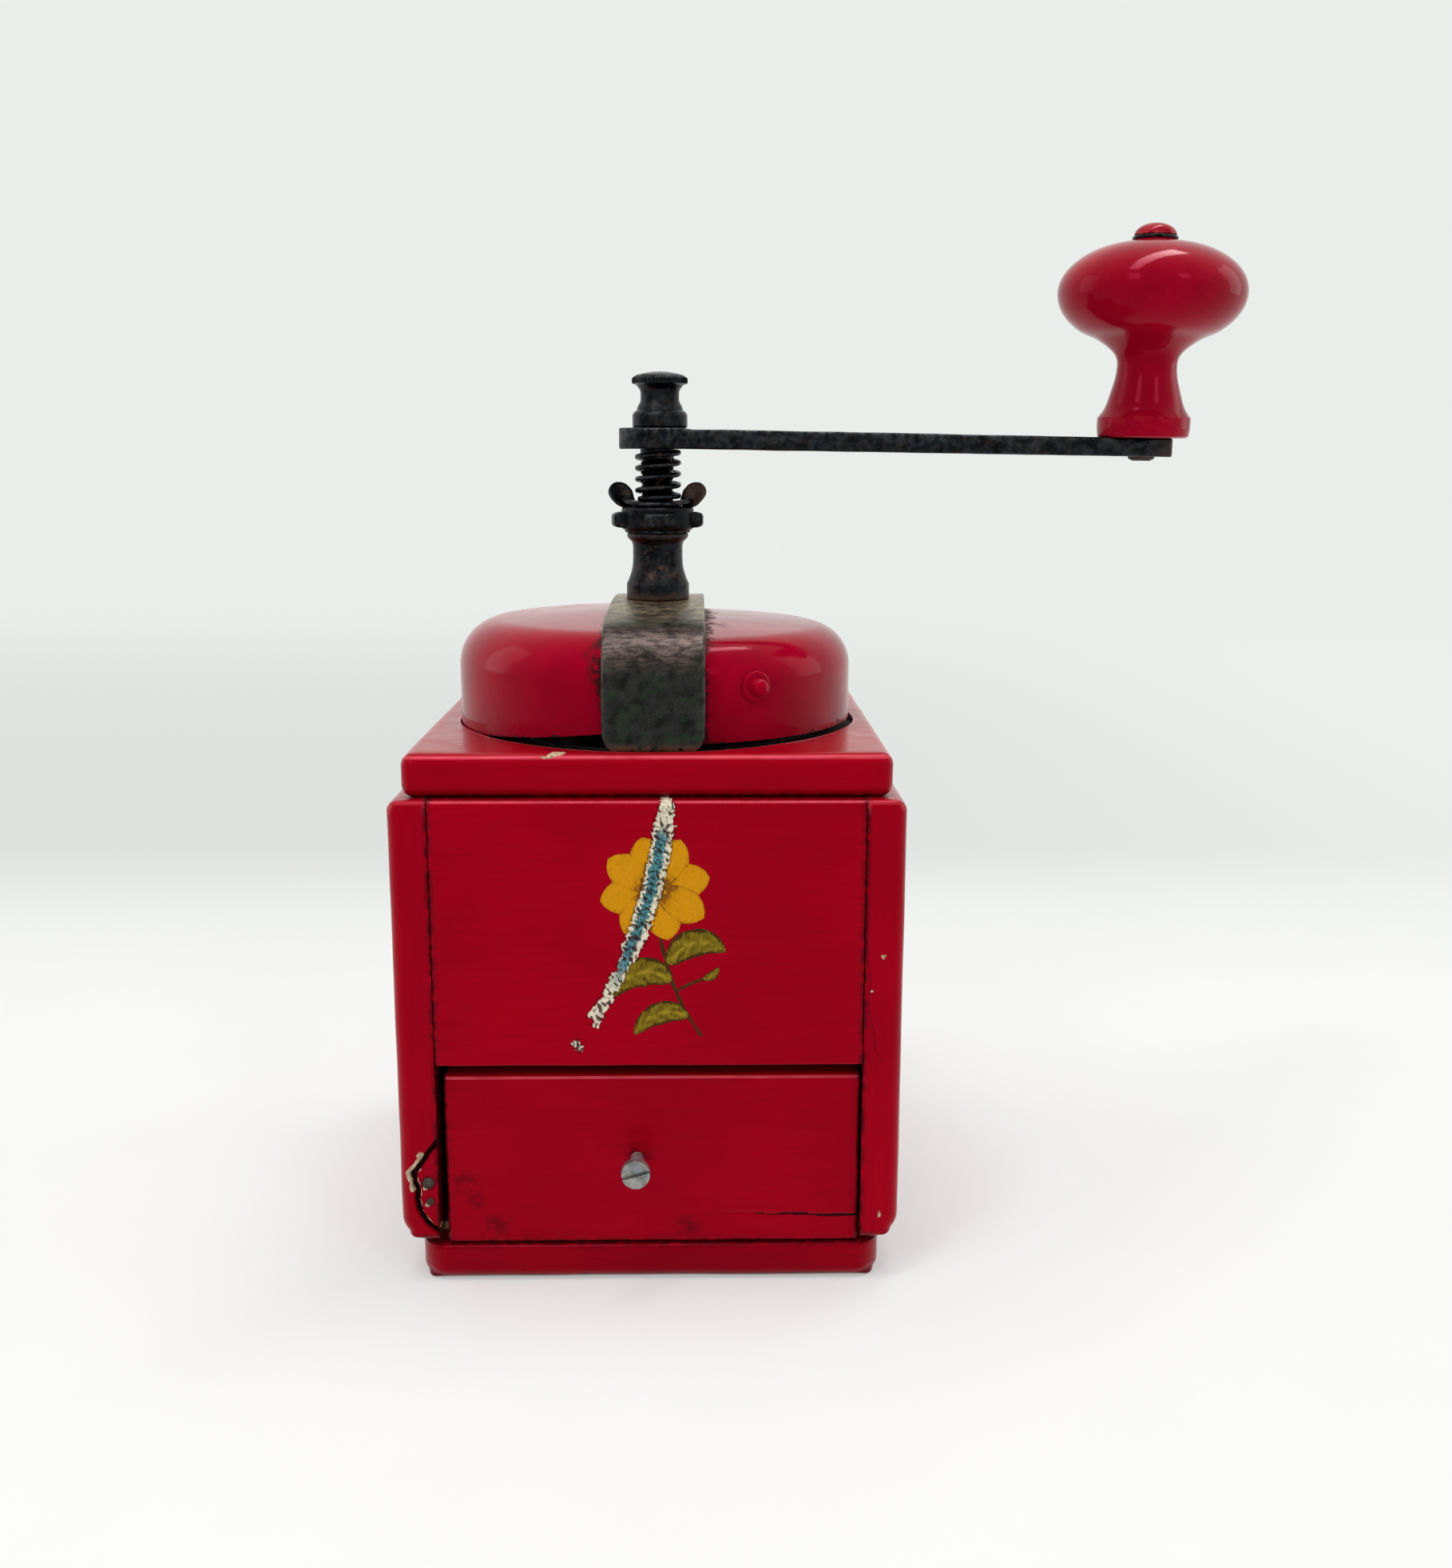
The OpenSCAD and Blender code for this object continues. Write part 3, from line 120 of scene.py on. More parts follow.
def smooth_line(points, steps):
    """Smooth curve through the points."""
    line = []
    last = len(points) - 1
    for i in range(last):
        a, b = points[max(i - 1, 0)], points[i]
        c, d = points[i + 1], points[min(i + 2, last)]
        for k in range(steps):
            t = k / steps
            line.append(tuple(
                0.5 * (2 * q + (r - p) * t + (2 * p - 5 * q + 4 * r - s) * t * t
                       + (3 * q - p - 3 * r + s) * t**3)
                for p, q, r, s in zip(a, b, c, d)
            ))
    return line + [tuple(points[last])]


def soften(outline, reach, steps=3):
    """Rounds the corners of an open outline, from at most reach before each."""
    line = [tuple(outline[0])]
    for before, corner, after in zip(outline, outline[1:], outline[2:]):
        here = Vector(corner)
        back, on = Vector(before) - here, Vector(after) - here
        if back.length < 1e-6 or on.length < 1e-6 or back.angle(-on) < 0.2:
            line.append(tuple(corner))
            continue
        start = here + back.normalized() * min(reach, back.length * 0.45)
        end = here + on.normalized() * min(reach, on.length * 0.45)
        for k in range(steps + 1):
            t = k / steps
            line.append(tuple(start * (1 - t) ** 2 + here * 2 * t * (1 - t) + end * t * t))
    return line + [tuple(outline[-1])]


def arc(centre, radius, start, end, steps):
    """Points on an arc, with angles in degrees."""
    turns = [math.radians(mix(start, end, k / steps)) for k in range(steps + 1)]
    return [(centre[0] + radius * math.cos(a), centre[1] + radius * math.sin(a)) for a in turns]


def worn(outline):
    """How sharply an outline bends outwards at each of its points, 0 to 1.

    The outline runs upwards on the outer side of a turned piece."""
    values = [0.0] * len(outline)
    for i in range(1, len(outline) - 1):
        a = Vector(outline[i]) - Vector(outline[i - 1])
        b = Vector(outline[i + 1]) - Vector(outline[i])
        if a.length > 1e-6 and b.length > 1e-6:
            turn = math.atan2(a.x * b.y - a.y * b.x, a.dot(b))
            values[i] = min(max(turn / 0.4, 0.0), 1.0)
    return values


# Surfaces: each gives points in millimetres and faces

def loft(rings, closed=False, caps=True):
    """Skin over rings of equal count; closed joins the last ring to the first."""
    count = len(rings[0])
    points = [Vector(p) for ring in rings for p in ring]
    faces = []
    for i in range(len(rings) if closed else len(rings) - 1):
        here, there = i * count, (i + 1) % len(rings) * count
        for k in range(count):
            n = (k + 1) % count
            faces.append((here + k, here + n, there + n, there + k))
    if caps and not closed:
        faces.append(tuple(range(count)))
        faces.append(tuple(range(len(points) - count, len(points))))
    return points, faces


def turned(outline, steps, form=None, closed=False):
    """Outline of (radius, height) turned round the Z axis.

    form(radius, height, angle) may give a changed radius."""
    rings = []
    for r, z in outline:
        ring = []
        for k in range(steps):
            a = 2 * math.pi * k / steps
            reach = form(r, z, a) if form else r
            ring.append((reach * math.cos(a), reach * math.sin(a), z))
        rings.append(ring)
    return loft(rings, closed=closed, caps=False)


def spread_marks(values, count):
    """The value of each outline point, once for each point of its ring."""
    return [v for v in values for _ in range(count)]


def plate(outer, inner, low, high, edge, steps=3):
    """Flat plate between two outlines of equal count, or a solid one if inner is
    None, with softened edges."""
    def inset(outline, by):
        line = []
        n = len(outline)
        for i in range(n):
            a, b = Vector(outline[i - 1]), Vector(outline[(i + 1) % n])
            way = (b - a).normalized()
            line.append((outline[i][0] - way.y * by, outline[i][1] + way.x * by))
        return line

    def level(outline, by, z):
        return [(x, y, z) for x, y in (inset(outline, by) if by else outline)]

    bends = [math.radians(90 * k / steps) for k in range(steps + 1)]
    rings = [level(outer, edge * (1 - math.sin(a)), low + edge * (1 - math.cos(a))) for a in bends]
    rings += [level(outer, edge * (1 - math.cos(a)), high - edge * (1 - math.sin(a))) for a in bends]
    if inner is None:
        return loft(rings)
    rings += [level(inner, 0, high), level(inner, 0, low)]
    return loft(rings, closed=True)


def rounded_in(a, b, low, high, radii):
    """Where a place in a rectangle comes to lie once its corners are rounded;
    radii are for low-low, high-low, high-high and low-high."""
    for side_a, side_b, r in zip((-1, 1, 1, -1), (-1, -1, 1, 1), radii):
        if not r:
            continue
        mid_a = high[0] - r if side_a > 0 else low[0] + r
        mid_b = high[1] - r if side_b > 0 else low[1] + r
        u, v = (a - mid_a) * side_a / r, (b - mid_b) * side_b / r
        if u > 0 and v > 0:
            big = max(u, v)
            turn = min(u, v) / big * math.pi / 4
            near, far = math.cos(turn) * big, math.sin(turn) * big
            if v > u:
                near, far = far, near
            return mid_a + side_a * r * near, mid_b + side_b * r * far
    return a, b


def rules(low, high, step, ends, fine=()):
    """Where grid lines cross one side of a board: close in its rounded ends and
    in the fine stretches, each given as start, end and step."""
    inner_low, inner_high = low + ends[0], high - ends[1]
    count = max(1, math.ceil((inner_high - inner_low) / step))
    places = [mix(inner_low, inner_high, k / count) for k in range(count + 1)]
    for size, edge, way in ((ends[0], low, 1), (ends[1], high, -1)):
        if size:
            places += [edge + way * size * k / ROUND_LINES for k in range(ROUND_LINES)]
    for start, end, close in fine:
        start, end = max(start, low), min(end, high)
        places = [p for p in places if p < start - close / 2 or p > end + close / 2]
        n = max(1, round((end - start) / close))
        places += [mix(start, end, k / n) for k in range(n + 1)]
    return sorted(set(round(p, 5) for p in places) | {round(low, 5), round(high, 5)})


ROUND_LINES = 6


def board(low, high, plan, front, side, step, fine=((), (), ())):
    """Closed board whose outlines from above, front and side have rounded
    corners. Returns points, faces and each point's nearness to an edge."""
    def ends(first, second):
        return (max(first[0], first[3], *second[0]), max(first[1], first[2], *second[1]))

    xs = rules(low.x, high.x, step, ends(plan, ((front[0], front[3]), (front[1], front[2]))), fine[0])
    ys = rules(low.y, high.y, step,
               (max(plan[0], plan[1], side[0], side[3]), max(plan[2], plan[3], side[1], side[2])), fine[1])
    zs = rules(low.z, high.z, step,
               (max(front[0], front[1], side[0], side[1]), max(front[2], front[3], side[2], side[3])), fine[2])
    points, faces, nearness, index = [], [], [], {}

    def at(i, j, k):
        if (i, j, k) not in index:
            x, y, z = xs[i], ys[j], zs[k]
            gaps = sorted((min(x - low.x, high.x - x), min(y - low.y, high.y - y), min(z - low.z, high.z - z)))
            nearness.append(1 - ease(gaps[1], 0, EDGE_BAND))
            x, y = rounded_in(x, y, (low.x, low.y), (high.x, high.y), plan)
            x, z = rounded_in(x, z, (low.x, low.z), (high.x, high.z), front)
            y, z = rounded_in(y, z, (low.y, low.z), (high.y, high.z), side)
            index[i, j, k] = len(points)
            points.append(Vector((x, y, z)))
        return index[i, j, k]

    nx, ny, nz = len(xs) - 1, len(ys) - 1, len(zs) - 1
    for k in (0, nz):
        for i in range(nx):
            for j in range(ny):
                faces.append((at(i, j, k), at(i + 1, j, k), at(i + 1, j + 1, k), at(i, j + 1, k)))
    for j in (0, ny):
        for i in range(nx):
            for k in range(nz):
                faces.append((at(i, j, k), at(i + 1, j, k), at(i + 1, j, k + 1), at(i, j, k + 1)))
    for i in (0, nx):
        for j in range(ny):
            for k in range(nz):
                faces.append((at(i, j, k), at(i, j + 1, k), at(i, j + 1, k + 1), at(i, j, k + 1)))
    return points, faces, nearness


EDGE_BAND = 3.0


def waver(points, amount, size, seed):
    """Slight unevenness of a handmade surface."""
    for p in points:
        p += noise.noise_vector(p / size + Vector((seed, seed, seed))) * amount


def make(name, body, shape, finish, nodes=(), marks=None, crease=38):
    """Makes a piece of points in millimetres, which rides on a body and may
    stand for CAD nodes. marks holds one number for each point."""
    points, faces = shape
    mesh = bpy.data.meshes.new(name)
    mesh.from_pydata([tuple(c / MM for c in p) for p in points], [], faces)
    for key, values in (marks or {}).items():
        mesh.attributes.new(key, "FLOAT", "POINT").data.foreach_set("value", values)
    shell = bmesh.new()
    shell.from_mesh(mesh)
    bmesh.ops.remove_doubles(shell, verts=shell.verts, dist=2e-6)
    bmesh.ops.recalc_face_normals(shell, faces=shell.faces)
    shell.to_mesh(mesh)
    shell.free()
    mesh.shade_smooth()
    mesh.set_sharp_from_angle(angle=math.radians(crease))
    mesh.materials.append(finish)
    piece = bpy.data.objects.new(name, mesh)
    bpy.context.scene.collection.objects.link(piece)
    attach(piece, body)
    if nodes:
        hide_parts(*nodes)
    return piece


# Sizes and colours that a user would change

def length(label, about, value):
    return bpy.props.FloatProperty(name=label, description=about, default=value, min=0.0, unit="LENGTH", precision=5)


def tone(label, about, value):
    return bpy.props.FloatVectorProperty(
        name=label, description=about, default=value, size=3, min=0.0, max=1.0, subtype="COLOR")


def share(label, about, value):
    return bpy.props.FloatProperty(
        name=label, description=about, default=value, min=0.0, max=1.0, subtype="FACTOR")


class GrinderCase(bpy.types.PropertyGroup):
    """Sizes of the wooden case and its drawer."""
    edge_round: length("Edge rounding", "Rounding of the case's outer edges", 0.003)
    foot_round: length("Foot rounding", "Rounding of the side boards' lower outer corners", 0.0058)
    base_corner: length("Base corners", "Rounding of the base board's corners seen from above", 0.007)
    unevenness: length("Unevenness", "How far the painted boards stray from flat", 0.00012)
    crack_width: length("Crack", "Width of the crack in the left side board", 0.0013)
    grid: length("Grid", "Spacing of the boards' mesh lines", 0.004)


class GrinderDome(bpy.types.PropertyGroup):
    """Sizes of the sheet dome and its strap."""
    sheet: length("Sheet", "Thickness of the dome's sheet", 0.0007)
    unevenness: length("Unevenness", "How far the pressed sheet strays from round", 0.00007)
    strap_edge: length("Strap edge", "Rounding of the strap's edges", 0.0006)


class GrinderHead(bpy.types.PropertyGroup):
    """Sizes of the neck, nut, lock, spring and thumb nut."""
    wing_bow: length("Wing hollow", "Depth of the hollow in each wing of the lock", 0.0009)
    knurl: length("Knurl", "Depth of the grooves round the thumb nut's rim", 0.00035)
    knurl_count: bpy.props.IntProperty(
        name="Grooves", description="Grooves round the thumb nut's rim", default=44, min=8, max=90)
    coil_sides: bpy.props.IntProperty(
        name="Wire sides", description="Sides of the spring's wire", default=14, min=6, max=32)


class GrinderCrank(bpy.types.PropertyGroup):
    """Sizes of the crank arm and the knob."""
    edge: length("Arm edge", "Rounding of the crank arm's edges", 0.0007)
    knob_sides: bpy.props.IntProperty(
        name="Knob sides", description="Steps round the turned knob", default=96, min=24, max=192)


class GrinderPicture(bpy.types.PropertyGroup):
    """The painted flower and the scrape across it."""
    bloom: length("Flower", "Radius of the painted flower", 0.0135)
    layer: length("Paint", "Thickness of the painted picture", 0.00015)
    scrape_half: length("Scrape", "Half the width of the scrape", 0.0024)


class GrinderColours(bpy.types.PropertyGroup):
    """Colours of the finishes."""
    enamel: tone("Enamel", "Red enamel of the case", (0.330, 0.0008, 0.0080))
    knob_enamel: tone("Knob enamel", "Red enamel of the knob", (0.300, 0.0008, 0.0130))
    dome_enamel: tone("Dome enamel", "Red enamel of the dome", (0.310, 0.0008, 0.0150))
    wood: tone("Bare wood", "Unpainted wood inside the case", (0.44, 0.27, 0.13))
    primer: tone("Undercoat", "Cream undercoat where the enamel has gone", (0.62, 0.52, 0.36))
    teal: tone("Old paint", "Older paint in the middle of the scrape", (0.050, 0.190, 0.220))
    flake: tone("Flakes", "White undercoat in the scrape", (0.84, 0.78, 0.60))
    dark_steel: tone("Dark steel", "Blackened steel of the crank and the nut", (0.0105, 0.0110, 0.0125))
    grey_steel: tone("Grey steel", "Worn steel of the strap and the nails", (0.036, 0.0355, 0.033))
    brass_stain: tone("Strap stain", "Yellow stain on the top of the strap", (0.46, 0.355, 0.22))
    bright_steel: tone("Bright steel", "Steel of the drawer's screw", (0.33, 0.32, 0.30))
    iron: tone("Cast iron", "Burrs and bridge", (0.021, 0.020, 0.019))
    tin: tone("Tin", "Tinned bean bowl", (0.50, 0.49, 0.46))
    rust: tone("Rust", "Rust and grime on the metal", (0.10, 0.035, 0.014))
    petal: tone("Petals", "Ochre of the painted flower", (0.58, 0.25, 0.006))
    petal_dark: tone("Flower middle", "Dark ochre of the flower's middle", (0.24, 0.085, 0.010))
    leaf: tone("Leaves", "Green of the painted leaves", (0.165, 0.125, 0.010))
    leaf_dark: tone("Leaf outline", "Outline and stem of the painted leaves", (0.035, 0.022, 0.008))


class GrinderStage(bpy.types.PropertyGroup):
    """Floor, backdrop and light."""
    floor: tone("Floor", "Colour of the floor round the grinder", (0.975, 0.985, 0.970))
    backdrop: tone("Backdrop", "Colour behind the grinder", (0.823, 0.855, 0.831))
    floor_glow: share("Floor paleness", "Share of the near floor that shows its own colour unshaded", 0.35)
    room: share("Room", "Brightness of the room behind the camera in reflections", 0.25)
    daylight: share("Daylight", "Strength of the even light from all round", 0.52)


# Finishes

class Finish:
    """One material, with short calls for the nodes that it is made of."""

    def __init__(self, name):
        self.material = bpy.data.materials.new(name)
        self.material.use_nodes = True
        tree = self.material.node_tree
        self.nodes, self.links = tree.nodes, tree.links
        self.nodes.clear()
        self.shader = self.nodes.new("ShaderNodeBsdfPrincipled")
        out = self.nodes.new("ShaderNodeOutputMaterial")
        self.links.new(self.shader.outputs[0], out.inputs["Surface"])
        coords = self.nodes.new("ShaderNodeTexCoord")
        self.place = self.vector("MULTIPLY", coords.outputs["Object"], (MM, MM, MM))
        self.relief = None

    def node(self, kind, wires, **settings):
        node = self.nodes.new(kind)
        for key, value in settings.items():
            setattr(node, key, value)
        for socket, value in wires.items():
            if isinstance(value, bpy.types.NodeSocket):
                self.links.new(value, node.inputs[socket])
            else:
                node.inputs[socket].default_value = value
        return node

    def vector(self, operation, a, b):
        return self.node("ShaderNodeVectorMath", {0: a, 1: b}, operation=operation).outputs[0]

    def calc(self, operation, *values):
        wires = dict(enumerate(values))
        return self.node("ShaderNodeMath", wires, operation=operation, use_clamp=False).outputs[0]

    def grain(self, size, detail=2.0, stretch=(1, 1, 1), seed=0.0, rough=0.5, at=None):
        """Noise from 0 to 1 with features of a size in millimetres."""
        scale = tuple(1 / (size * s) for s in stretch)
        at = self.vector("MULTIPLY", at or self.place, scale)
        at = self.vector("ADD", at, (seed * 7.3, seed * 3.1, seed * 11.7))
        wires = {"Vector": at, "Scale": 1.0, "Detail": detail, "Roughness": rough}
        return self.node("ShaderNodeTexNoise", wires).outputs[0]

    def step(self, value, low, high, start=0.0, end=1.0):
        """From start to end as the value goes from low to high."""
        wires = {"Value": value, "From Min": low, "From Max": high, "To Min": start, "To Max": end}
        return self.node("ShaderNodeMapRange", wires, interpolation_type="SMOOTHSTEP").outputs[0]

    def blend(self, part, a, b, mode="MIX"):
        """Colour b over colour a by a share."""
        wires = {0: part, 6: rgba(a), 7: rgba(b)}
        return self.node("ShaderNodeMix", wires, data_type="RGBA", blend_type=mode).outputs[2]

    def mark(self, name):
        """A number that the mesh code has left on the piece's points."""
        return self.node("ShaderNodeAttribute", {}, attribute_name=name).outputs["Fac"]

    def axis(self, which):
        return self.node("ShaderNodeSeparateXYZ", {0: self.place}).outputs[which]

    def bump(self, height, depth):
        """Adds relief: depth in millimetres from height 0 to 1."""
        wires = {"Strength": 1.0, "Distance": depth / MM, "Height": height}
        if self.relief:
            wires["Normal"] = self.relief
        self.relief = self.node("ShaderNodeBump", wires).outputs[0]

    def close(self, colour, roughness, metal=0.0, **sockets):
        wires = {"Base Color": colour, "Roughness": roughness, "Metallic": metal}
        wires.update({key.replace("_", " "): value for key, value in sockets.items()})
        if self.relief:
            wires["Normal"] = self.relief
        for socket, value in wires.items():
            if isinstance(value, bpy.types.NodeSocket):
                self.links.new(value, self.shader.inputs[socket])
            else:
                self.shader.inputs[socket].default_value = value
        return self.material


def rgba(value):
    if isinstance(value, bpy.types.NodeSocket):
        return value
    return (*value[:3], 1.0)


def shaded(colour, factor):
    """A colour made lighter or darker."""
    return tuple(min(c * factor, 1.0) for c in colour[:3])


def colours():
    return bpy.context.scene.grinder_colours


GLOSS_TINT = (1.0, 0.02, 0.12, 1.0)


def scrape(f, paint):
    """The long scrape down the front: flaked undercoat with older paint in its
    middle. Returns the paint with the scrape over it, and the scrape's share."""
    c = colours()
    run, off = f.mark("scrape_u"), f.mark("scrape_v")
    across = f.node("ShaderNodeCombineXYZ", {0: run, 1: f.calc("MULTIPLY", off, 0.22), 2: f.axis(0)}).outputs[0]
    comb = f.grain(0.8, 3, seed=51, at=across)
    ragged = f.calc("MULTIPLY_ADD", f.grain(1.3, 4, seed=52), 1.8, f.calc("MULTIPLY", comb, 1.8))
    gaps = f.calc("MULTIPLY", f.calc("SUBTRACT", f.grain(2.6, 3, seed=57), 0.52), f.step(run, 32, 44, 0.0, 7.0))
    reach = f.calc("ADD", f.mark("scrape_gap"), f.calc("SUBTRACT", ragged, 1.8))
    reach = f.calc("SUBTRACT", reach, f.calc("MINIMUM", gaps, 0.2))
    lost = f.step(reach, 0.10, -0.10)
    flakes = f.grain(0.9, 4, seed=53)
    under = f.blend(f.step(flakes, 0.35, 0.62), shaded(c.flake, 0.65), c.flake)
    core = f.calc("MULTIPLY_ADD", f.calc("SUBTRACT", f.grain(0.7, 3, seed=59, at=across), 0.5), 3.4,
                  f.calc("ABSOLUTE", f.calc("ADD", off, 0.2)))
    middle = f.calc("MULTIPLY", f.step(core, 1.5, 1.1), f.calc("MULTIPLY", f.step(run, 3, 8), f.step(run, 50, 40)))
    teal = f.blend(f.step(comb, 0.35, 0.66), shaded(c.teal, 0.40), shaded(c.teal, 1.6))
    under = f.blend(middle, under, teal)
    splits = f.step(f.grain(1.1, 3, seed=55, at=across), 0.53, 0.58)
    under = f.blend(f.calc("MULTIPLY", splits, 0.92), under, (0.020, 0.010, 0.008))
    rim = f.calc("MULTIPLY", f.step(reach, 0.75, 0.1), f.step(f.grain(0.9, 3, seed=56), 0.40, 0.52))
    paint = f.blend(f.calc("MULTIPLY", rim, 0.85), paint, (0.030, 0.002, 0.003))
    f.bump(lost, -0.16)
    f.bump(f.calc("MULTIPLY", lost, comb), 0.18)
    return f.blend(lost, paint, under), lost


def wood_enamel(name, stretch, deep=1.0, edge_highlight_and_wear=0.55, seed=0.0, scraped=False):
    """Glossy red enamel brushed over wood, with the grain along one axis."""
    c = colours()
    f = Finish(name)
    cloud = f.grain(38, 3, seed=seed)
    streak = f.grain(0.9, 3, stretch=stretch, seed=seed + 1)
    brushed = f.grain(3.2, 2, stretch=stretch, seed=seed + 2)
    red = f.blend(f.step(cloud, 0.3, 0.7), shaded(c.enamel, 0.90 * deep), shaded(c.enamel, 1.08 * deep))
    red = f.blend(f.step(streak, 0.42, 0.75, 0.0, 0.28), red, shaded(c.enamel, 0.66 * deep))
    red = f.blend(f.step(brushed, 0.55, 0.8, 0.0, 0.22), red, (0.42 * deep, 0.001, 0.012))
    fleck = f.grain(0.7, 2, seed=seed + 3)
    red = f.blend(f.step(fleck, 0.70, 0.78, 0.0, 0.6), red, (0.09, 0.001, 0.004))
    edge = f.mark("edge")
    # Painted highlight: where the edge marks are high, a pale pink line stands in for the lamps' reflection on the
    # rounded edges; the noise breaks it up like worn enamel.
    line = f.calc("MULTIPLY", f.step(edge, 0.70, 0.97), f.step(f.grain(9.0, 4, seed=seed + 4), 0.2, 0.6, 0.35, 1.0))
    red = f.blend(f.calc("MULTIPLY", line, edge_highlight_and_wear), red, (0.72, 0.085, 0.12))
    chipped = f.calc("MULTIPLY", f.step(edge, 0.8, 1.0), f.step(f.grain(1.6, 3, seed=seed + 5), 0.755, 0.775))
    red = f.blend(chipped, red, shaded(c.primer, 0.55))
    # Near-black by the mark the mesh code leaves: real dirt at joints, nails and smudges, and painted shade under the
    # top board, in its recess, round the drawer and along the bottom edges.
    grime = f.calc("MULTIPLY", f.mark("grime"), f.step(f.grain(2.0, 4, seed=seed + 6), 0.3, 0.6))
    red = f.blend(grime, red, (0.012, 0.003, 0.003))
    bare = f.calc("ADD", f.mark("bare"), f.calc("MULTIPLY_ADD", f.grain(0.9, 4, seed=seed + 10), 0.9, -0.45))
    bare = f.calc("MULTIPLY", bare, f.step(f.mark("bare"), 0.02, 0.2))
    grain = f.blend(f.step(f.grain(0.5, 3, stretch=(1, 1, 7), seed=seed + 7), 0.35, 0.7),
                    shaded(c.primer, 1.0), shaded(c.wood, 0.55))
    red = f.blend(f.step(bare, 0.35, 0.6), red, grain)
    crack = f.step(f.mark("crack"), 0.3, 0.6)
    red = f.blend(crack, red, (0.006, 0.003, 0.003))
    dull = f.step(f.grain(7, 3, seed=seed + 8), 0.3, 0.8, 0.17, 0.30)
    lost = f.calc("MAXIMUM", f.step(bare, 0.35, 0.6), crack)
    if scraped:
        red, scrape_share = scrape(f, red)
        lost = f.calc("MAXIMUM", lost, scrape_share)
    dull = f.calc("ADD", dull, f.calc("MULTIPLY", lost, 0.45))
    f.bump(f.grain(4.5, 2, stretch=tuple(max(1, s / 6) for s in stretch), seed=seed + 9), 0.09)
    f.bump(streak, 0.018)
    f.bump(chipped, -0.10)
    return f.close(red, dull, IOR=1.3, Specular_IOR_Level=0.9, Specular_Tint=GLOSS_TINT)


def bare_wood(name, stretch, seed=0.0):
    """Unpainted, handled softwood with its grain along one axis."""
    c = colours()
    f = Finish(name)
    rings = f.grain(2.2, 4, stretch=stretch, seed=seed)
    pores = f.grain(0.35, 2, stretch=stretch, seed=seed + 1)
    tan = f.blend(f.step(rings, 0.35, 0.65), shaded(c.wood, 1.12), shaded(c.wood, 0.70))
    tan = f.blend(f.step(pores, 0.6, 0.75, 0.0, 0.5), tan, shaded(c.wood, 0.32))
    stain = f.grain(24, 4, seed=seed + 2)
    tan = f.blend(f.step(stain, 0.55, 0.75, 0.0, 0.5), tan, (0.10, 0.045, 0.018))
    f.bump(pores, 0.05)
    f.bump(rings, 0.04)
    return f.close(tan, f.step(stain, 0.3, 0.8, 0.55, 0.8))


def case_metal(name, base, shine, rust_from=0.60, rust_amount=0.8, scratch=0.5, seed=0.0, light=1.8, brown=0.45, metallic=1.0):
    """Steel with tarnish, rust and scratches."""
    c = colours()
    f = Finish(name)
    tarnish = f.grain(4.0, 6, seed=seed, rough=0.68)
    metal = f.blend(f.step(tarnish, 0.34, 0.66), shaded(base, 0.35), shaded(base, light))
    blue = f.step(f.grain(4.5, 4, seed=seed + 8), 0.50, 0.66, 0.0, 0.55)
    metal = f.blend(blue, metal, (base[0] * 0.75, base[1] * 1.05, base[2] * 1.45))
    warm = f.step(f.grain(3.0, 6, seed=seed + 7, rough=0.65), 0.52, 0.64, 0.0, brown)
    metal = f.blend(warm, metal, (base[0] * 3.4, base[1] * 2.2, base[2] * 1.7))
    speck = f.grain(0.4, 4, seed=seed + 1)
    metal = f.blend(f.step(speck, 0.55, 0.72, 0.0, 0.6), metal, shaded(base, 0.25))
    edge = f.calc("MULTIPLY", f.mark("edge"), f.step(f.grain(1.8, 4, seed=seed + 2), 0.40, 0.66))
    metal = f.blend(f.calc("MULTIPLY", edge, 0.7), metal, shaded(base, 3.0 * light))
    lines = f.grain(0.22, 2, stretch=(14, 9, 1), seed=seed + 3)
    metal = f.blend(f.step(lines, 0.71, 0.77, 0.0, scratch), metal, shaded(base, 5.5))
    rusty = f.calc("MAXIMUM", f.step(f.grain(3.2, 6, seed=seed + 4, rough=0.65), rust_from, rust_from + 0.07),
                   f.step(f.mark("grime"), 0.2, 0.9))
    rusty = f.calc("MULTIPLY", rusty, rust_amount)
    spots = f.blend(f.step(speck, 0.4, 0.6), shaded(c.rust, 0.8), shaded(c.rust, 0.25))
    metal = f.blend(rusty, metal, spots)
    dull = f.step(tarnish, 0.3, 0.75, shine, shine + 0.18)
    dull = f.calc("ADD", dull, f.calc("MULTIPLY", rusty, 0.30))
    f.bump(speck, 0.03)
    f.bump(f.grain(2.6, 3, seed=seed + 5), 0.05)
    return f.close(metal, dull, f.calc("SUBTRACT", metallic, f.calc("MULTIPLY", rusty, 0.9 * metallic)))


def tin_finish(name):
    """Dull tinned sheet of the bean bowl, coated with coffee dust."""
    c = colours()
    f = Finish(name)
    cloud = f.grain(9, 4, seed=61)
    grey = f.blend(f.step(cloud, 0.3, 0.7), shaded(c.tin, 0.65), shaded(c.tin, 1.1))
    dust = f.step(f.grain(3.5, 5, seed=62, rough=0.6), 0.50, 0.70)
    grey = f.blend(f.calc("MULTIPLY", dust, 0.7), grey, (0.070, 0.032, 0.014))
    flat = f.node("ShaderNodeCombineXYZ", {0: f.axis(0), 1: f.axis(1)}).outputs[0]
    radius = f.node("ShaderNodeVectorMath", {0: flat}, operation="LENGTH").outputs["Value"]
    # Painted shade: the outer rim, seen in the gap under the dome, is near-black and not metallic.
    rim = f.step(radius, 42, 46)
    grey = f.blend(rim, grey, (0.014, 0.006, 0.004))
    f.bump(f.grain(0.8, 3, seed=63), 0.02)
    dull = f.calc("MAXIMUM", f.step(cloud, 0.3, 0.8, 0.32, 0.55), f.calc("MULTIPLY", rim, 0.85))
    bare = f.calc("MULTIPLY", f.calc("SUBTRACT", 1.0, rim), f.calc("SUBTRACT", 1.0, f.calc("MULTIPLY", dust, 0.7)))
    return f.close(grey, dull, bare)


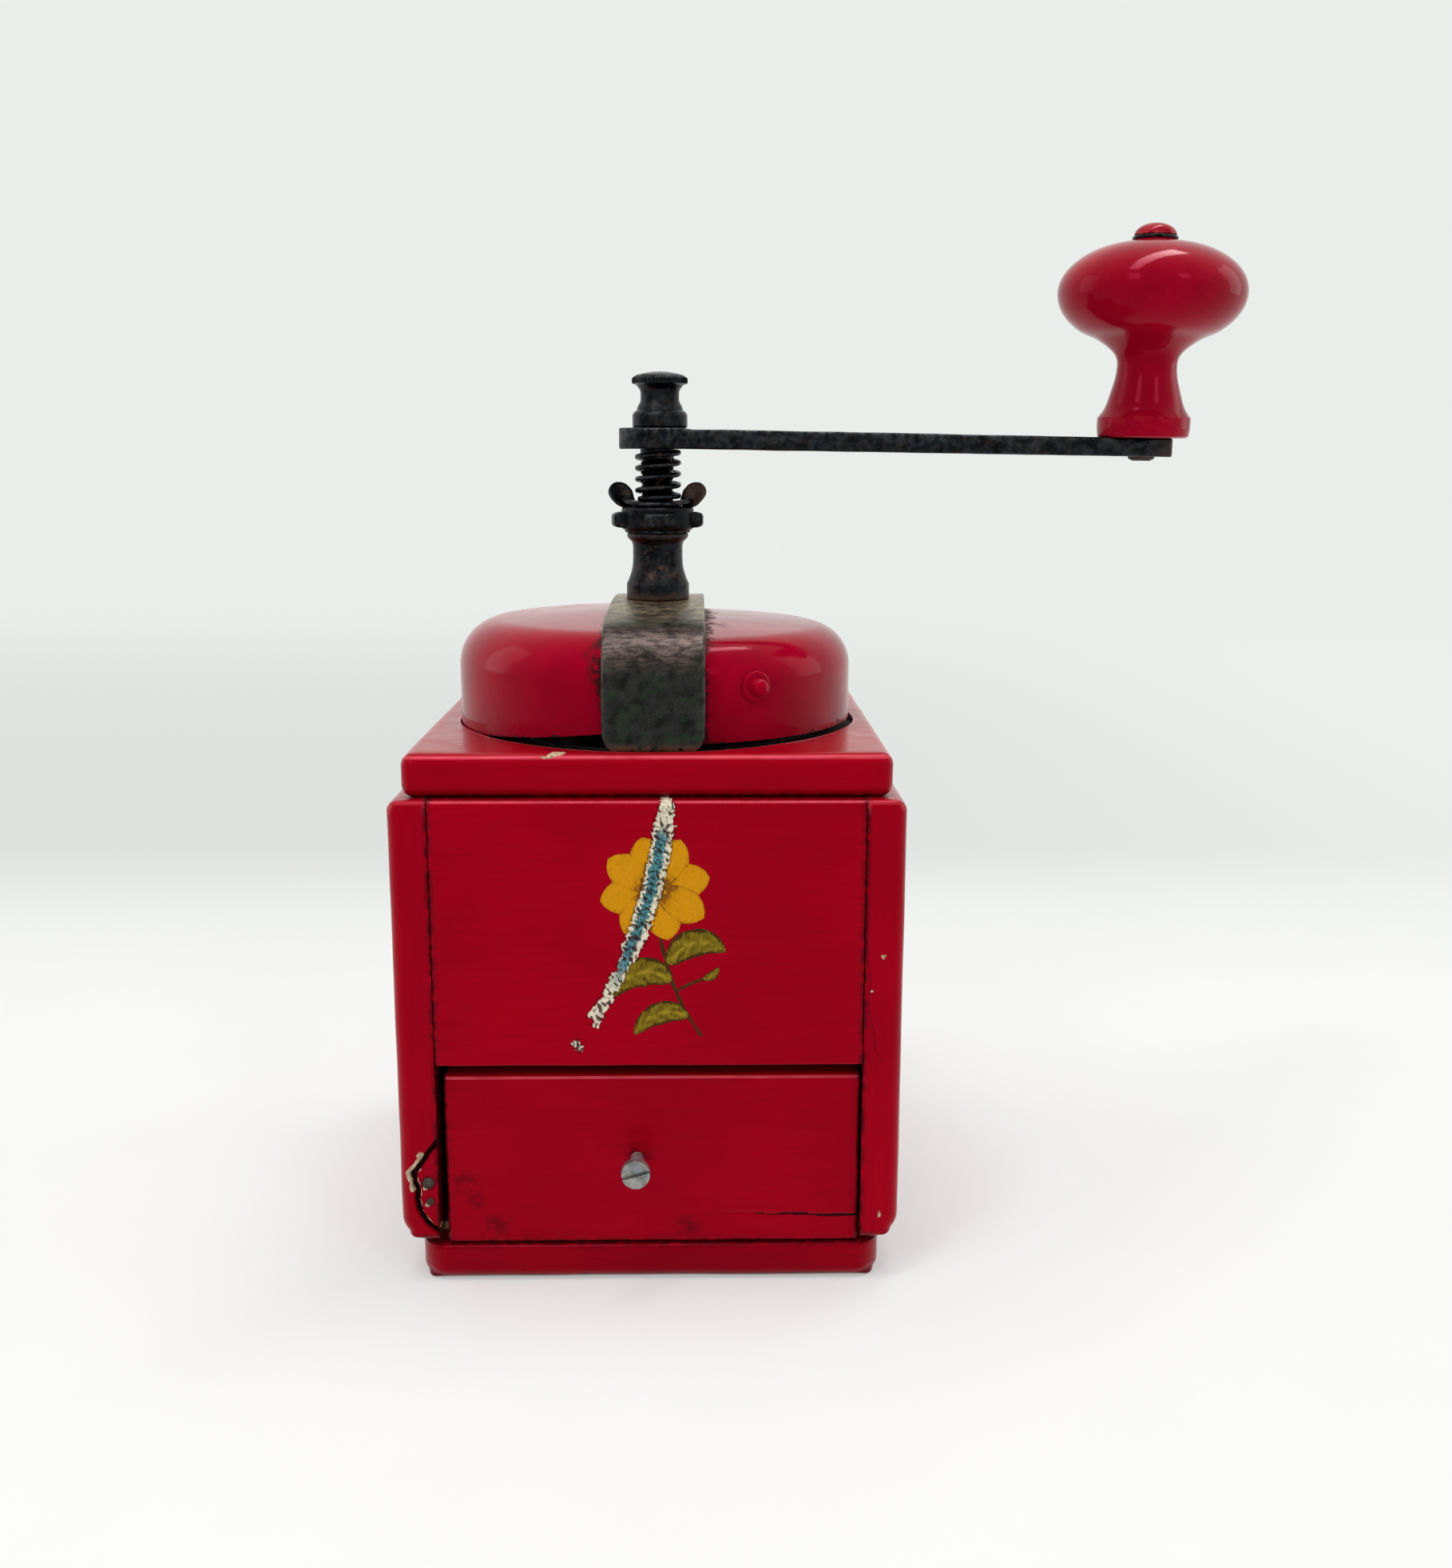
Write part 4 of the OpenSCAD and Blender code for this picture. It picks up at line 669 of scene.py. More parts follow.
def strap_finish(name):
    """Worn steel of the strap: speckled at the sides, brownish on the shoulder
    and stained yellow round the neck's foot."""
    c = colours()
    f = Finish(name)
    height = f.axis(2)
    cloud = f.grain(3.4, 6, seed=71, rough=0.68)
    speck = f.grain(0.42, 5, seed=72, rough=0.6)
    grey = f.blend(f.step(cloud, 0.34, 0.66), shaded(c.grey_steel, 0.35), shaded(c.grey_steel, 1.0))
    grey = f.blend(f.step(speck, 0.45, 0.66, 0.0, 0.55), grey, (0.010, 0.013, 0.010))
    green = f.calc("MULTIPLY", f.step(f.grain(3.2, 4, seed=76), 0.52, 0.66), f.step(height, 156, 149))
    grey = f.blend(f.calc("MULTIPLY", green, 0.55), grey, (0.026, 0.046, 0.022))
    brown = f.calc("MULTIPLY", f.step(height, 153, 159), f.step(height, 166.4, 164.2))
    streak = f.grain(0.8, 5, stretch=(4, 1, 1), seed=77, rough=0.65)
    worn_brown = f.blend(f.step(streak, 0.40, 0.62), (0.105, 0.074, 0.066), (0.028, 0.018, 0.017))
    grey = f.blend(f.calc("MULTIPLY", brown, f.step(cloud, 0.30, 0.60, 0.15, 0.9)), grey, worn_brown)
    yellow = f.calc("MULTIPLY", f.step(height, 164.2, 167.2), f.step(f.grain(3.4, 5, seed=73), 0.22, 0.62))
    grey = f.blend(yellow, grey, f.blend(f.step(speck, 0.5, 0.62), c.brass_stain, shaded(c.brass_stain, 0.25)))
    rubbed = f.calc("MULTIPLY", f.mark("edge"), f.step(f.grain(2.2, 3, seed=74), 0.30, 0.52))
    grey = f.blend(f.calc("MULTIPLY", rubbed, 0.4), grey, (0.15, 0.15, 0.135))
    rust = f.calc("MULTIPLY", f.step(f.mark("grime"), 0.2, 0.8), f.step(f.grain(1.8, 4, seed=75), 0.30, 0.50))
    grey = f.blend(f.calc("MULTIPLY", rust, 0.9), grey, c.rust)
    f.bump(speck, 0.05)
    f.bump(cloud, 0.05)
    dull = f.calc("ADD", f.step(cloud, 0.3, 0.7, 0.30, 0.48), f.calc("MULTIPLY", rust, 0.25))
    return f.close(grey, dull, f.calc("SUBTRACT", 1.0, f.calc("MULTIPLY", rust, 0.8)))


def sheet_enamel(name, seed=0.0):
    """Glossy enamel on the pressed dome, chipped at the rims and grimy by the strap."""
    c = colours()
    f = Finish(name)
    cloud = f.grain(16, 3, seed=seed)
    red = f.blend(f.step(cloud, 0.3, 0.7), shaded(c.dome_enamel, 0.86), shaded(c.dome_enamel, 1.10))
    brush = f.grain(1.6, 3, stretch=(1, 1, 6), seed=seed + 1)
    red = f.blend(f.step(brush, 0.55, 0.8, 0.0, 0.25), red, shaded(c.dome_enamel, 0.6))
    grime = f.mark("grime")
    smear = f.calc("MULTIPLY", grime, f.step(f.grain(1.9, 5, seed=seed + 2, rough=0.6), 0.30, 0.60))
    red = f.blend(f.step(smear, 0.10, 0.75), red, f.blend(f.grain(0.6, 3, seed=seed + 3),
                  (0.018, 0.004, 0.004), (0.070, 0.008, 0.008)))
    edge = f.mark("edge")
    chipped = f.step(f.calc("MULTIPLY", edge, f.grain(2.6, 5, seed=seed + 4)), 0.55, 0.60)
    metal = f.blend(f.grain(0.6, 3, seed=seed + 5), (0.012, 0.007, 0.007), (0.070, 0.030, 0.026))
    red = f.blend(chipped, red, metal)
    pinhole = f.step(f.grain(0.8, 2, seed=seed + 6), 0.72, 0.76)
    red = f.blend(f.calc("MULTIPLY", pinhole, 0.8), red, (0.05, 0.006, 0.005))
    dull = f.calc("ADD", f.step(f.grain(6, 3, seed=seed + 7), 0.3, 0.8, 0.09, 0.18),
                  f.calc("MULTIPLY", f.calc("MAXIMUM", f.step(smear, 0.1, 0.75), chipped), 0.40))
    f.bump(f.grain(5.0, 2, seed=seed + 8), 0.06)
    f.bump(f.grain(0.9, 2, seed=seed + 9), 0.008)
    f.bump(chipped, -0.08)
    return f.close(red, dull, IOR=1.2, Specular_IOR_Level=0.95, Specular_Tint=GLOSS_TINT)


def knob_enamel(name):
    """Deep glossy enamel of the turned knob, rubbed at its foot."""
    c = colours()
    f = Finish(name)
    cloud = f.grain(18, 3, seed=81)
    red = f.blend(f.step(cloud, 0.3, 0.7), shaded(c.knob_enamel, 0.85), shaded(c.knob_enamel, 1.12))
    lathe = f.grain(0.9, 2, stretch=(30, 30, 1), seed=82)
    red = f.blend(f.step(lathe, 0.6, 0.8, 0.0, 0.25), red, shaded(c.knob_enamel, 0.6))
    edge = f.calc("MULTIPLY", f.mark("edge"), f.step(f.grain(1.8, 3, seed=83), 0.40, 0.60))
    red = f.blend(f.calc("MULTIPLY", edge, 0.6), red, (0.66, 0.10, 0.09))
    nick = f.step(f.grain(1.3, 3, seed=84), 0.735, 0.75)
    red = f.blend(nick, red, (0.06, 0.012, 0.010))
    f.bump(f.grain(6, 2, seed=85), 0.05)
    f.bump(lathe, 0.008)
    return f.close(red, f.step(f.grain(7, 3, seed=86), 0.3, 0.8, 0.08, 0.15), IOR=1.2,
                   Specular_IOR_Level=1.0, Specular_Tint=(1.0, 0.08, 0.22, 1.0))


def picture_paint(name, tones, seed):
    """Thin, brushed paint of the flower picture; tones are its dark, middle and
    light colours, and the mark "deep" runs from 0 at the light to 1 at the dark."""
    f = Finish(name)
    dark, middle, light = tones
    stroke = f.grain(0.6, 3, stretch=(1, 1, 2), seed=seed)
    deep = f.calc("ADD", f.mark("deep"), f.calc("MULTIPLY", f.calc("SUBTRACT", stroke, 0.5), 1.1))
    paint = f.blend(f.step(deep, 0.1, 0.5), light, middle)
    paint = f.blend(f.step(deep, 0.5, 0.9), paint, dark)
    specks = f.step(f.grain(0.55, 2, seed=seed + 1), 0.66, 0.72)
    paint = f.blend(f.calc("MULTIPLY", specks, 0.5), paint, (0.10, 0.010, 0.006))
    f.bump(stroke, 0.02)
    paint, lost = scrape(f, paint)
    dull = f.calc("MULTIPLY_ADD", lost, 0.40, f.step(stroke, 0.3, 0.7, 0.26, 0.36))
    return f.close(paint, dull, Specular_IOR_Level=0.25, Specular_Tint=(1.0, 0.35, 0.05, 1.0))


def steel(name, tone_of, shine, rust_from=0.60, **more):
    return case_metal(name, getattr(colours(), tone_of), shine, rust_from, **more)


def petal_paint(name):
    c = colours()
    return picture_paint(name, (c.petal_dark, c.petal, shaded(c.petal, 1.15)), 91)


def leaf_paint(name):
    c = colours()
    return picture_paint(name, (c.leaf_dark, c.leaf, shaded(c.leaf, 1.9)), 95)


# For the enamels, the edge keyword sets how strong the painted highlight line along the edges is.
FINISHES = {
    "Side board enamel": lambda n: wood_enamel(n, (1, 1, 16), edge_highlight_and_wear=0.30, seed=1),
    "Front enamel": lambda n: wood_enamel(n, (16, 1, 1), edge_highlight_and_wear=0.75, seed=2, scraped=True),
    "Board enamel": lambda n: wood_enamel(n, (16, 16, 1), edge_highlight_and_wear=0.75, seed=3),
    "Base enamel": lambda n: wood_enamel(n, (16, 16, 1), deep=0.80, edge_highlight_and_wear=0.0, seed=4),
    "Drawer enamel": lambda n: wood_enamel(n, (16, 1, 1), edge_highlight_and_wear=0.75, seed=5),
    "Long wood": lambda n: bare_wood(n, (12, 1, 1), seed=6),
    "Deep wood": lambda n: bare_wood(n, (1, 12, 1), seed=7),
    "Upright wood": lambda n: bare_wood(n, (1, 1, 12), seed=8),
    "Dome enamel": lambda n: sheet_enamel(n, seed=9),
    "Knob enamel": knob_enamel,
    "Strap steel": strap_finish,
    "Tinned sheet": tin_finish,
    "Nail steel": lambda n: steel(n, "grey_steel", 0.45, 0.46, seed=21, metallic=0.6),
    "Neck steel": lambda n: steel(n, "dark_steel", 0.26, 0.58, seed=22, light=2.2, brown=0.8),
    "Washer steel": lambda n: steel(n, "dark_steel", 0.30, 0.58, seed=23),
    "Nut iron": lambda n: steel(n, "dark_steel", 0.34, 0.62, seed=24, light=1.4),
    "Lock steel": lambda n: steel(n, "dark_steel", 0.28, 0.56, seed=25),
    "Spring steel": lambda n: steel(n, "dark_steel", 0.26, 0.60, seed=26),
    "Shaft steel": lambda n: steel(n, "dark_steel", 0.28, 0.58, seed=27),
    "Crank steel": lambda n: steel(n, "dark_steel", 0.32, 0.64, seed=28),
    "Thumb nut steel": lambda n: steel(n, "dark_steel", 0.24, 0.62, seed=29),
    "Bright steel": lambda n: steel(n, "bright_steel", 0.34, 0.66, seed=30, light=1.15, rust_amount=0.3,
                                    brown=0.0, metallic=0.5),
    "Burr iron": lambda n: steel(n, "iron", 0.45, 0.50, seed=31),
    "Petal paint": petal_paint,
    "Leaf paint": leaf_paint,
}


def finish(name):
    """The material of a finish, made when it is first asked for."""
    return bpy.data.materials.get(name) or FINISHES[name](name)


def dress(node, name, bevel=0.0):
    """Gives a CAD node its finish, and softened edges where bevel is not 0."""
    piece = frame["nodes"][node]
    piece.data.materials.clear()
    piece.data.materials.append(finish(name))
    if bevel:
        edges = piece.modifiers.new("Softened edges", "BEVEL")
        edges.width = bevel / MM
        edges.segments = 2
        edges.limit_method = "ANGLE"
        edges.angle_limit = math.radians(40)
        edges.harden_normals = True


# The wooden case

CRACK = ((-53.9, 38.6), (-56.4, 35.4), (-58.6, 32.0), (-60.4, 29.7), (-60.0, 27.4), (-59.4, 25.4), (-59.6, 22.6),
         (-59.1, 19.9), (-58.3, 18.1), (-57.4, 16.7), (-55.2, 14.6), (-53.2, 13.2))
CRACK_END = (-53.0, 12.6)
LEFT_HAIRLINE = ((-64.2, 62.4), (-60.2, 61.0), (-57.4, 59.5), (-54.2, 57.2))
RIGHT_CRACKS = (
    ((52.0, 75.2), (52.9, 70.6), (54.1, 65.4), (54.4, 61.9), (56.3, 58.6)),
    ((52.3, 85.0), (52.9, 79.5), (52.5, 75.6)),
)
RIGHT_CHIPS = ((55.89, 85.78, 0.75, 0.30), (52.94, 77.22, 1.2, 0.22))
SCRAPE = ((3.32, 123.35), (1.93, 113.55), (-0.65, 101.66), (-3.61, 92.65), (-7.98, 82.55), (-14.58, 69.28))
SCRAPE_DOT = (-19.18, 63.1)
DRAWER_CRACK = ((16.9, 17.5), (22.0, 17.9), (29.0, 17.3), (36.0, 17.6), (43.0, 17.0), (50.7, 17.1))
DRAWER_SMUDGES = ((-47.95, 26.57, 4.5), (-45.09, 21.58, 3.6), (-40.04, 15.03, 5.0), (-6.5, 27.5, 4.0), (8.0, 14.0, 5.0))


def crack_marks(points, paths, width, depth, front_y):
    """Cuts cracks into the front face of a board and returns their marks."""
    marks = []
    for p in points:
        share = 0.0
        if p.y < front_y + 1.5:
            for path, wide in paths:
                gap = along((p.x, p.z), path)[0] + 0.22 * ripple(p, 1.1, 3)
                share = max(share, 1 - ease(gap, wide * 0.30, wide * 0.62))
            p.y += depth * share
        marks.append(share)
    return marks


def make_side_board(node, left):
    sizes = bpy.context.scene.grinder_case
    edge, foot = sizes.edge_round * MM, sizes.foot_round * MM
    low, high = span(node)
    crack_fine = (low.x, -52.0, 0.36) if left else (51.0, 57.5, 0.4)
    rows = ((10.5, 40.0, 0.40), (55.0, 64.0, 0.5)) if left else ((56.0, 93.0, 0.5),)
    plan = (edge, 0, 0, edge) if left else (0, edge, edge, 0)
    front = (foot, 0, 0, edge) if left else (0, foot, edge, 0)
    points, faces, near = board(low, high, plan, front, (edge / 2,) * 4, sizes.grid * MM,
                                ((crack_fine,), (), rows))
    waver(points, sizes.unevenness * MM, 14, 5 if left else 9)
    wide = sizes.crack_width * MM
    if left:
        paths = [(CRACK, wide), ((CRACK[-1], CRACK_END), wide * 1.6)]
        hairlines = (LEFT_HAIRLINE,)
    else:
        paths, hairlines = [], RIGHT_CRACKS
    front_y = low.y
    crack = crack_marks(points, paths, wide, 1.9, front_y)
    for i, p in enumerate(points):
        if p.y < front_y + 1.5:
            gap = min(along((p.x, p.z), path)[0] for path in hairlines)
            crack[i] = max(crack[i], (0.44 if left else 0.58) * (1 - ease(gap, 0.05, 0.45)))
    bare, grime = [], []
    for p, cut in zip(points, crack):
        wood, dirt_and_shade = 0.0, 0.0
        if left and p.y < front_y + 3:
            gap, side, run = along((p.x, p.z), CRACK)
            outer = side < 0
            if outer and 5 < run < 16:
                wood = 1 - ease(gap + 0.9 * ripple(p, 1.5, 8), 1.2, 2.2)
            if not outer and run > 9:
                wood = (1 - ease(gap + 0.3 * ripple(p, 1.2, 9), 0.75, 1.05)) * ease(gap, 0.3, 0.6)
            for x, z, size in NAIL_HEADS:
                off = math.hypot(p.x - x, p.z - z)
                dirt_and_shade = max(dirt_and_shade, 0.8 * (1 - ease(off, 2.0 * size, 2.9 * size)))
                chip = math.hypot(p.x - x + 0.7, (p.z - z + 1.7 * size) * 1.4)
                wood = max(wood, 1 - ease(chip, 0.5, 0.9))
        elif not left and p.y < front_y + 3:
            for x, z, wide_x, wide_z in RIGHT_CHIPS:
                off = math.hypot((p.x - x) / wide_x, (p.z - z) / wide_z) + 0.4 * ripple(p, 0.9, 8)
                wood = max(wood, 1 - ease(off, 0.8, 1.3))
            scratch = along((p.x, p.z), ((56.0, 17.5), (57.1, 17.9)))[0]
            wood = max(wood, 0.8 * (1 - ease(scratch, 0.05, 0.35)))
        inner_x = high.x if left else low.x
        joint = 1 - ease(abs(p.x - inner_x), 0.2, 1.2)
        # Dark joint at the inner edge, and painted shade along the bottom edge where the board meets the base.
        dirt_and_shade = max(dirt_and_shade, joint * 0.8, 0.9 * (1 - ease(p.z - low.z, 0.3, 2.2)))
        bare.append(wood * (1 - cut))
        grime.append(dirt_and_shade)
        outward = -1 if left else 1
        p.x += 0.05 * outward * (1 if abs(p.x - inner_x) > 1 else 0)
    # Edge marks only along the top edge, where they draw a painted highlight line and a few chips.
    near = [v * (1.0 if p.z > high.z - 3 else 0.1) for v, p in zip(near, points)]
    name = "Left side board" if left else "Right side board"
    make(name.replace(" ", "_"), "case", (points, faces), finish("Side board enamel"),
         (node,), {"edge": near, "crack": crack, "bare": bare, "grime": grime})


NAIL_HEADS = ((-56.8, 27.2, 0.78), (-56.4, 22.3, 0.52))


class GRINDER_OT_side_boards(bpy.types.Operator):
    """Side boards, with the crack in the left one and its two nails"""
    bl_idname = "grinder.side_boards"
    bl_label = "Side boards"

    def execute(self, context):
        make_side_board("side_board_left", True)
        make_side_board("side_board_right", False)
        face = span("side_board_left")[0].y
        profile = soften([(0, 0.85), (1.0, 0.78), (1.75, 0.42), (2.0, 0.02), (1.75, -0.35), (1.2, -0.6), (0, -1.0)], 0.4)
        for k, (x, z, size) in enumerate(NAIL_HEADS):
            points, faces = turned(profile[::-1], 28, lambda r, h, a: r * size * (1 + 0.05 * math.sin(2 * a + k)))
            lean = Matrix.Rotation(math.radians(6 - 11 * k), 3, "X") @ Matrix.Rotation(math.radians(90), 3, "X")
            points = [lean @ p + Vector((x, face + 0.10, z)) for p in points]
            make(f"Mending_nail_{k + 1}", "case", (points, faces), finish("Nail steel"),
                 ("mend_nails",) if k == 0 else ())
        return {"FINISHED"}


def make_panel():
    """Front panel with the scrape."""
    sizes = bpy.context.scene.grinder_case
    edge = sizes.edge_round * MM / 2
    low, high = span("front_panel")
    points, faces, _ = board(low, high, (0.35, 0.35, 0, 0), (0, 0, 0, 0), (0.5, 0, 0, edge), 1.3,
                                ((), (), ((high.z - 1.5, high.z, 0.25),)))
    waver(points, sizes.unevenness * MM, 18, 2)
    run_marks, off_marks, gaps, grime, edges = [], [], [], [], []
    for p in points:
        run, off, gap = scrape_marks(p)
        run_marks.append(run)
        off_marks.append(off)
        gaps.append(gap)
        side_gap = min(p.x - low.x, high.x - p.x)
        seam = (1 - ease(side_gap + 0.15 * ripple(p, 2.5, 4), 0.2, 0.9)) * (0.85 + 0.15 * ripple(p, 9, 6))
        # Painted shade in a band under the top board's edge, added to the dark seams at the sides.
        top = 1 - ease(high.z - p.z, 0.2, 1.2 + ease(p.x, 25, 45) * 1.5)
        grime.append(max(seam, top * 0.25, 0.0))
        # Painted highlight: a thin line along the rounded top edge.
        edges.append(1 - ease(abs(high.z - p.z - 0.35), 0.15, 0.55))
        if p.y < low.y + 2 and side_gap < 1.2:
            p.y += 0.35 * (1 - ease(side_gap, 0.0, 0.9 + 0.4 * ripple(p, 3.1, 5)))
    make("Front_panel", "case", (points, faces), finish("Front enamel"), ("front_panel",),
         {"edge": edges, "grime": grime, "scrape_u": run_marks, "scrape_v": off_marks, "scrape_gap": gaps})


def scrape_marks(p):
    """Length along the scrape, distance across it, and distance outside its outline."""
    gap, side, run = along((p.x, p.z), SCRAPE)
    half = bpy.context.scene.grinder_picture.scrape_half * MM
    edge = gap - half * mix(0.75, 1.0, ease(run, 0, 5)) * mix(1.0, 0.62, ease(run, 34, 44))
    edge = min(edge, math.hypot(p.x + 14.2, p.z - 71.0) - 2.3)
    edge = min(edge, math.hypot(p.x - SCRAPE_DOT[0], p.z - SCRAPE_DOT[1]) - 1.6)
    return run, min(max(math.copysign(gap, side), -12.0), 12.0), min(edge, 12.0)


class GRINDER_OT_panels(bpy.types.Operator):
    """Front panel above the drawer, and the panel at the back"""
    bl_idname = "grinder.panels"
    bl_label = "Panels"

    def execute(self, context):
        make_panel()
        sizes = context.scene.grinder_case
        edge = sizes.edge_round * MM / 2
        low, high = span("back_panel")
        points, faces, near = board(low, high, (0, 0, 0.35, 0.35), (0, 0, 0, 0), (0, 0.5, edge, 0), 3.5)
        waver(points, sizes.unevenness * MM, 18, 12)
        # Dark seams at the sides, and painted shade toward the top edge under the top board.
        grime = [0.8 * (1 - ease(min(p.x - low.x, high.x - p.x, (high.z - p.z) * 1.5), 0.2, 1.4)) for p in points]
        make("Back_panel", "case", (points, faces), finish("Front enamel"), ("back_panel",),
             {"edge": [v * 0.6 for v in near], "grime": grime, "scrape_v": [12.0] * len(points),
              "scrape_gap": [12.0] * len(points)})
        return {"FINISHED"}


class GRINDER_OT_base_board(bpy.types.Operator):
    """Base board with rounded corners and edges"""
    bl_idname = "grinder.base_board"
    bl_label = "Base board"

    def execute(self, context):
        sizes = context.scene.grinder_case
        corner = sizes.base_corner * MM
        low, high = span("base_board")
        edge = 3.5
        rim = (edge, edge, edge / 3, edge / 3)
        points, faces, near = board(low, high, (corner,) * 4, rim, rim, sizes.grid * MM * 0.7)
        waver(points, sizes.unevenness * MM, 16, 7)
        grime = []
        for p in points:
            p.z = max(p.z, 0.03)
            # Painted shade: darker along the bottom edge at the floor and along the top edge under the case and drawer.
            grime.append(0.9 * (1 - ease(p.z - low.z, 0.3, 2.6)) + 0.6 * ease(p.z, high.z - 1.2, high.z))
        make("Base_board", "case", (points, faces), finish("Base enamel"), ("base_board",),
             {"edge": near, "grime": grime})
        return {"FINISHED"}


def rim_gap(x, y, low, high, corner):
    """How far a place lies inside a rectangle with rounded corners."""
    mid_x, mid_y = (low.x + high.x) / 2, (low.y + high.y) / 2
    over_x = abs(x - mid_x) - (high.x - low.x) / 2 + corner
    over_y = abs(y - mid_y) - (high.y - low.y) / 2 + corner
    return corner - math.hypot(max(over_x, 0), max(over_y, 0)) - min(max(over_x, over_y), 0)


class GRINDER_OT_top_board(bpy.types.Operator):
    """Top board, with the round recess that the dome stands in"""
    bl_idname = "grinder.top_board"
    bl_label = "Top board"

    def execute(self, context):
        low, high = span("top_board")
        edge = context.scene.grinder_case.edge_round * MM
        recess_z, bore = high.z - 2.9, 43.3

        def reach(angle, gap):
            near, far = 10.0, 110.0
            for _ in range(26):
                mid = (near + far) / 2
                inside = rim_gap(mid * math.cos(angle), mid * math.sin(angle), low, high, edge) > gap
                near, far = (mid, far) if inside else (near, mid)
            return near

        def crown(x, y):
            gap = rim_gap(x, y, low, high, edge)
            if gap >= edge:
                return high.z
            return high.z - edge + math.sqrt(max(edge * edge - (edge - max(gap, 0)) ** 2, 0))

        count = 360
        corners = [math.atan2(y, x) for x in (low.x, high.x) for y in (low.y, high.y)]
        angles = [2 * math.pi * k / count - math.pi for k in range(count)]
        angles += [c + math.radians(d) for c in corners for d in (-1.6, -1.1, -0.7, -0.3, 0.0, 0.3, 0.7, 1.1, 1.6)]
        angles = sorted(set(angles))
        lip = 0.45
        rings, marks = [], []
        for a in angles:
            cos, sin = math.cos(a), math.sin(a)
            side_r = 53.7 if cos < 0 else 53.1
            recess_r = mix(side_r, 56.2, sin**4)
            rim_z = crown(recess_r * cos, recess_r * sin)
            # The third number of each entry is its edge mark, which draws a painted highlight: a pale line round the
            # lip of the recess and one along the rounded outer edge, with a few chips.
            line = [(bore, recess_z, 0.2), (recess_r - 6, recess_z, 0), (recess_r - 0.05, recess_z, 0),
                    (recess_r, mix(recess_z, rim_z, 0.5), 0), (recess_r, rim_z - lip, 0.3)]
            for k in (1, 2, 3):
                turn = math.radians(30 * k)
                r = recess_r + lip * (1 - math.cos(turn))
                line.append((r, crown(r * cos, r * sin) - lip * (1 - math.sin(turn)), 1.0))
            outer = reach(a, 0)
            start = recess_r + lip
            flat_end = max(reach(a, edge), start)
            for k in range(1, 6):
                r = mix(start, flat_end, k / 5)
                line.append((r, crown(r * cos, r * sin), 0.9 * (1 - ease(r - start, 0, 1.6))))
            for k in range(1, 9):
                turn = math.radians(90 * k / 8)
                r = max(reach(a, edge * (1 - math.sin(turn))), start)
                line.append((r, min(crown(r * cos, r * sin), high.z), math.sin(2 * turn) ** 3))
            for share in (0.5, 1.0):
                line.append((outer, mix(high.z - edge, low.z + edge, share), 0.0))
            for k in range(1, 6):
                turn = math.radians(90 * k / 5)
                r = reach(a, edge * (1 - math.cos(turn)))
                line.append((r, low.z + edge * (1 - math.sin(turn)), 0.0))
            line += [(bore, low.z, 0)]
            rings.append([(r * cos, r * sin, z) for r, z, _ in line])
            marks += [m for _, _, m in line]
        points, faces = loft(rings, closed=True)
        waver(points, 0.10, 15, 21)
        grime, bare = [], []
        for p in points:
            radius = math.hypot(p.x, p.y)
            # Painted shade: darker along the bottom edge over the case, and down inside the recess under the dome.
            dirt_and_shade = 0.9 * (1 - ease(p.z - low.z, 0.2, 1.6))
            if radius < 56.6:
                dirt_and_shade = max(dirt_and_shade, 0.95 * ease(high.z - p.z, 0.5, 1.2))
            chip = 0.0
            if p.y < low.y + 3:
                off_x, off_z = p.x + 24.3, p.z - 135.0 - 0.20 * (p.x + 24.3) + 0.3 * ripple(p, 1.2, 5)
                chip = 1 - ease(math.hypot(off_x / 3.0, off_z / 0.5), 0.7, 1.25)
            grime.append(dirt_and_shade)
            bare.append(chip)
        make("Top_board", "case", (points, faces), finish("Board enamel"), ("top_board",),
             {"edge": marks, "grime": grime, "bare": bare})
        return {"FINISHED"}


class GRINDER_OT_inner_wood(bpy.types.Operator):
    """Floor, shelf, glue blocks and the nails of the case"""
    bl_idname = "grinder.inner_wood"
    bl_label = "Inner wood and nails"

    def execute(self, context):
        dress("floor_sheet", "Long wood")
        dress("drawer_shelf", "Long wood", 0.3)
        dress("glue_blocks", "Upright wood", 0.6)
        dress("panel_nails", "Nail steel", 0.15)
        low, high = span("base_nails")
        line = soften([(0, 0.8), (1.2, 0.8), (1.2, 1.5), (0.6, 1.9), (0.6, high.z - 1.5), (0, high.z)], 0.1)
        points, faces = turned(line, 20)
        shapes = [([p + Vector((x, y, 0)) for p in points], faces)
                  for x in (low.x + 1.5, high.x - 1.5) for y in (low.y + 1.5, high.y - 1.5)]
        make("Base_nails", "case", joined(*shapes), finish("Nail steel"), ("base_nails",))
        return {"FINISHED"}


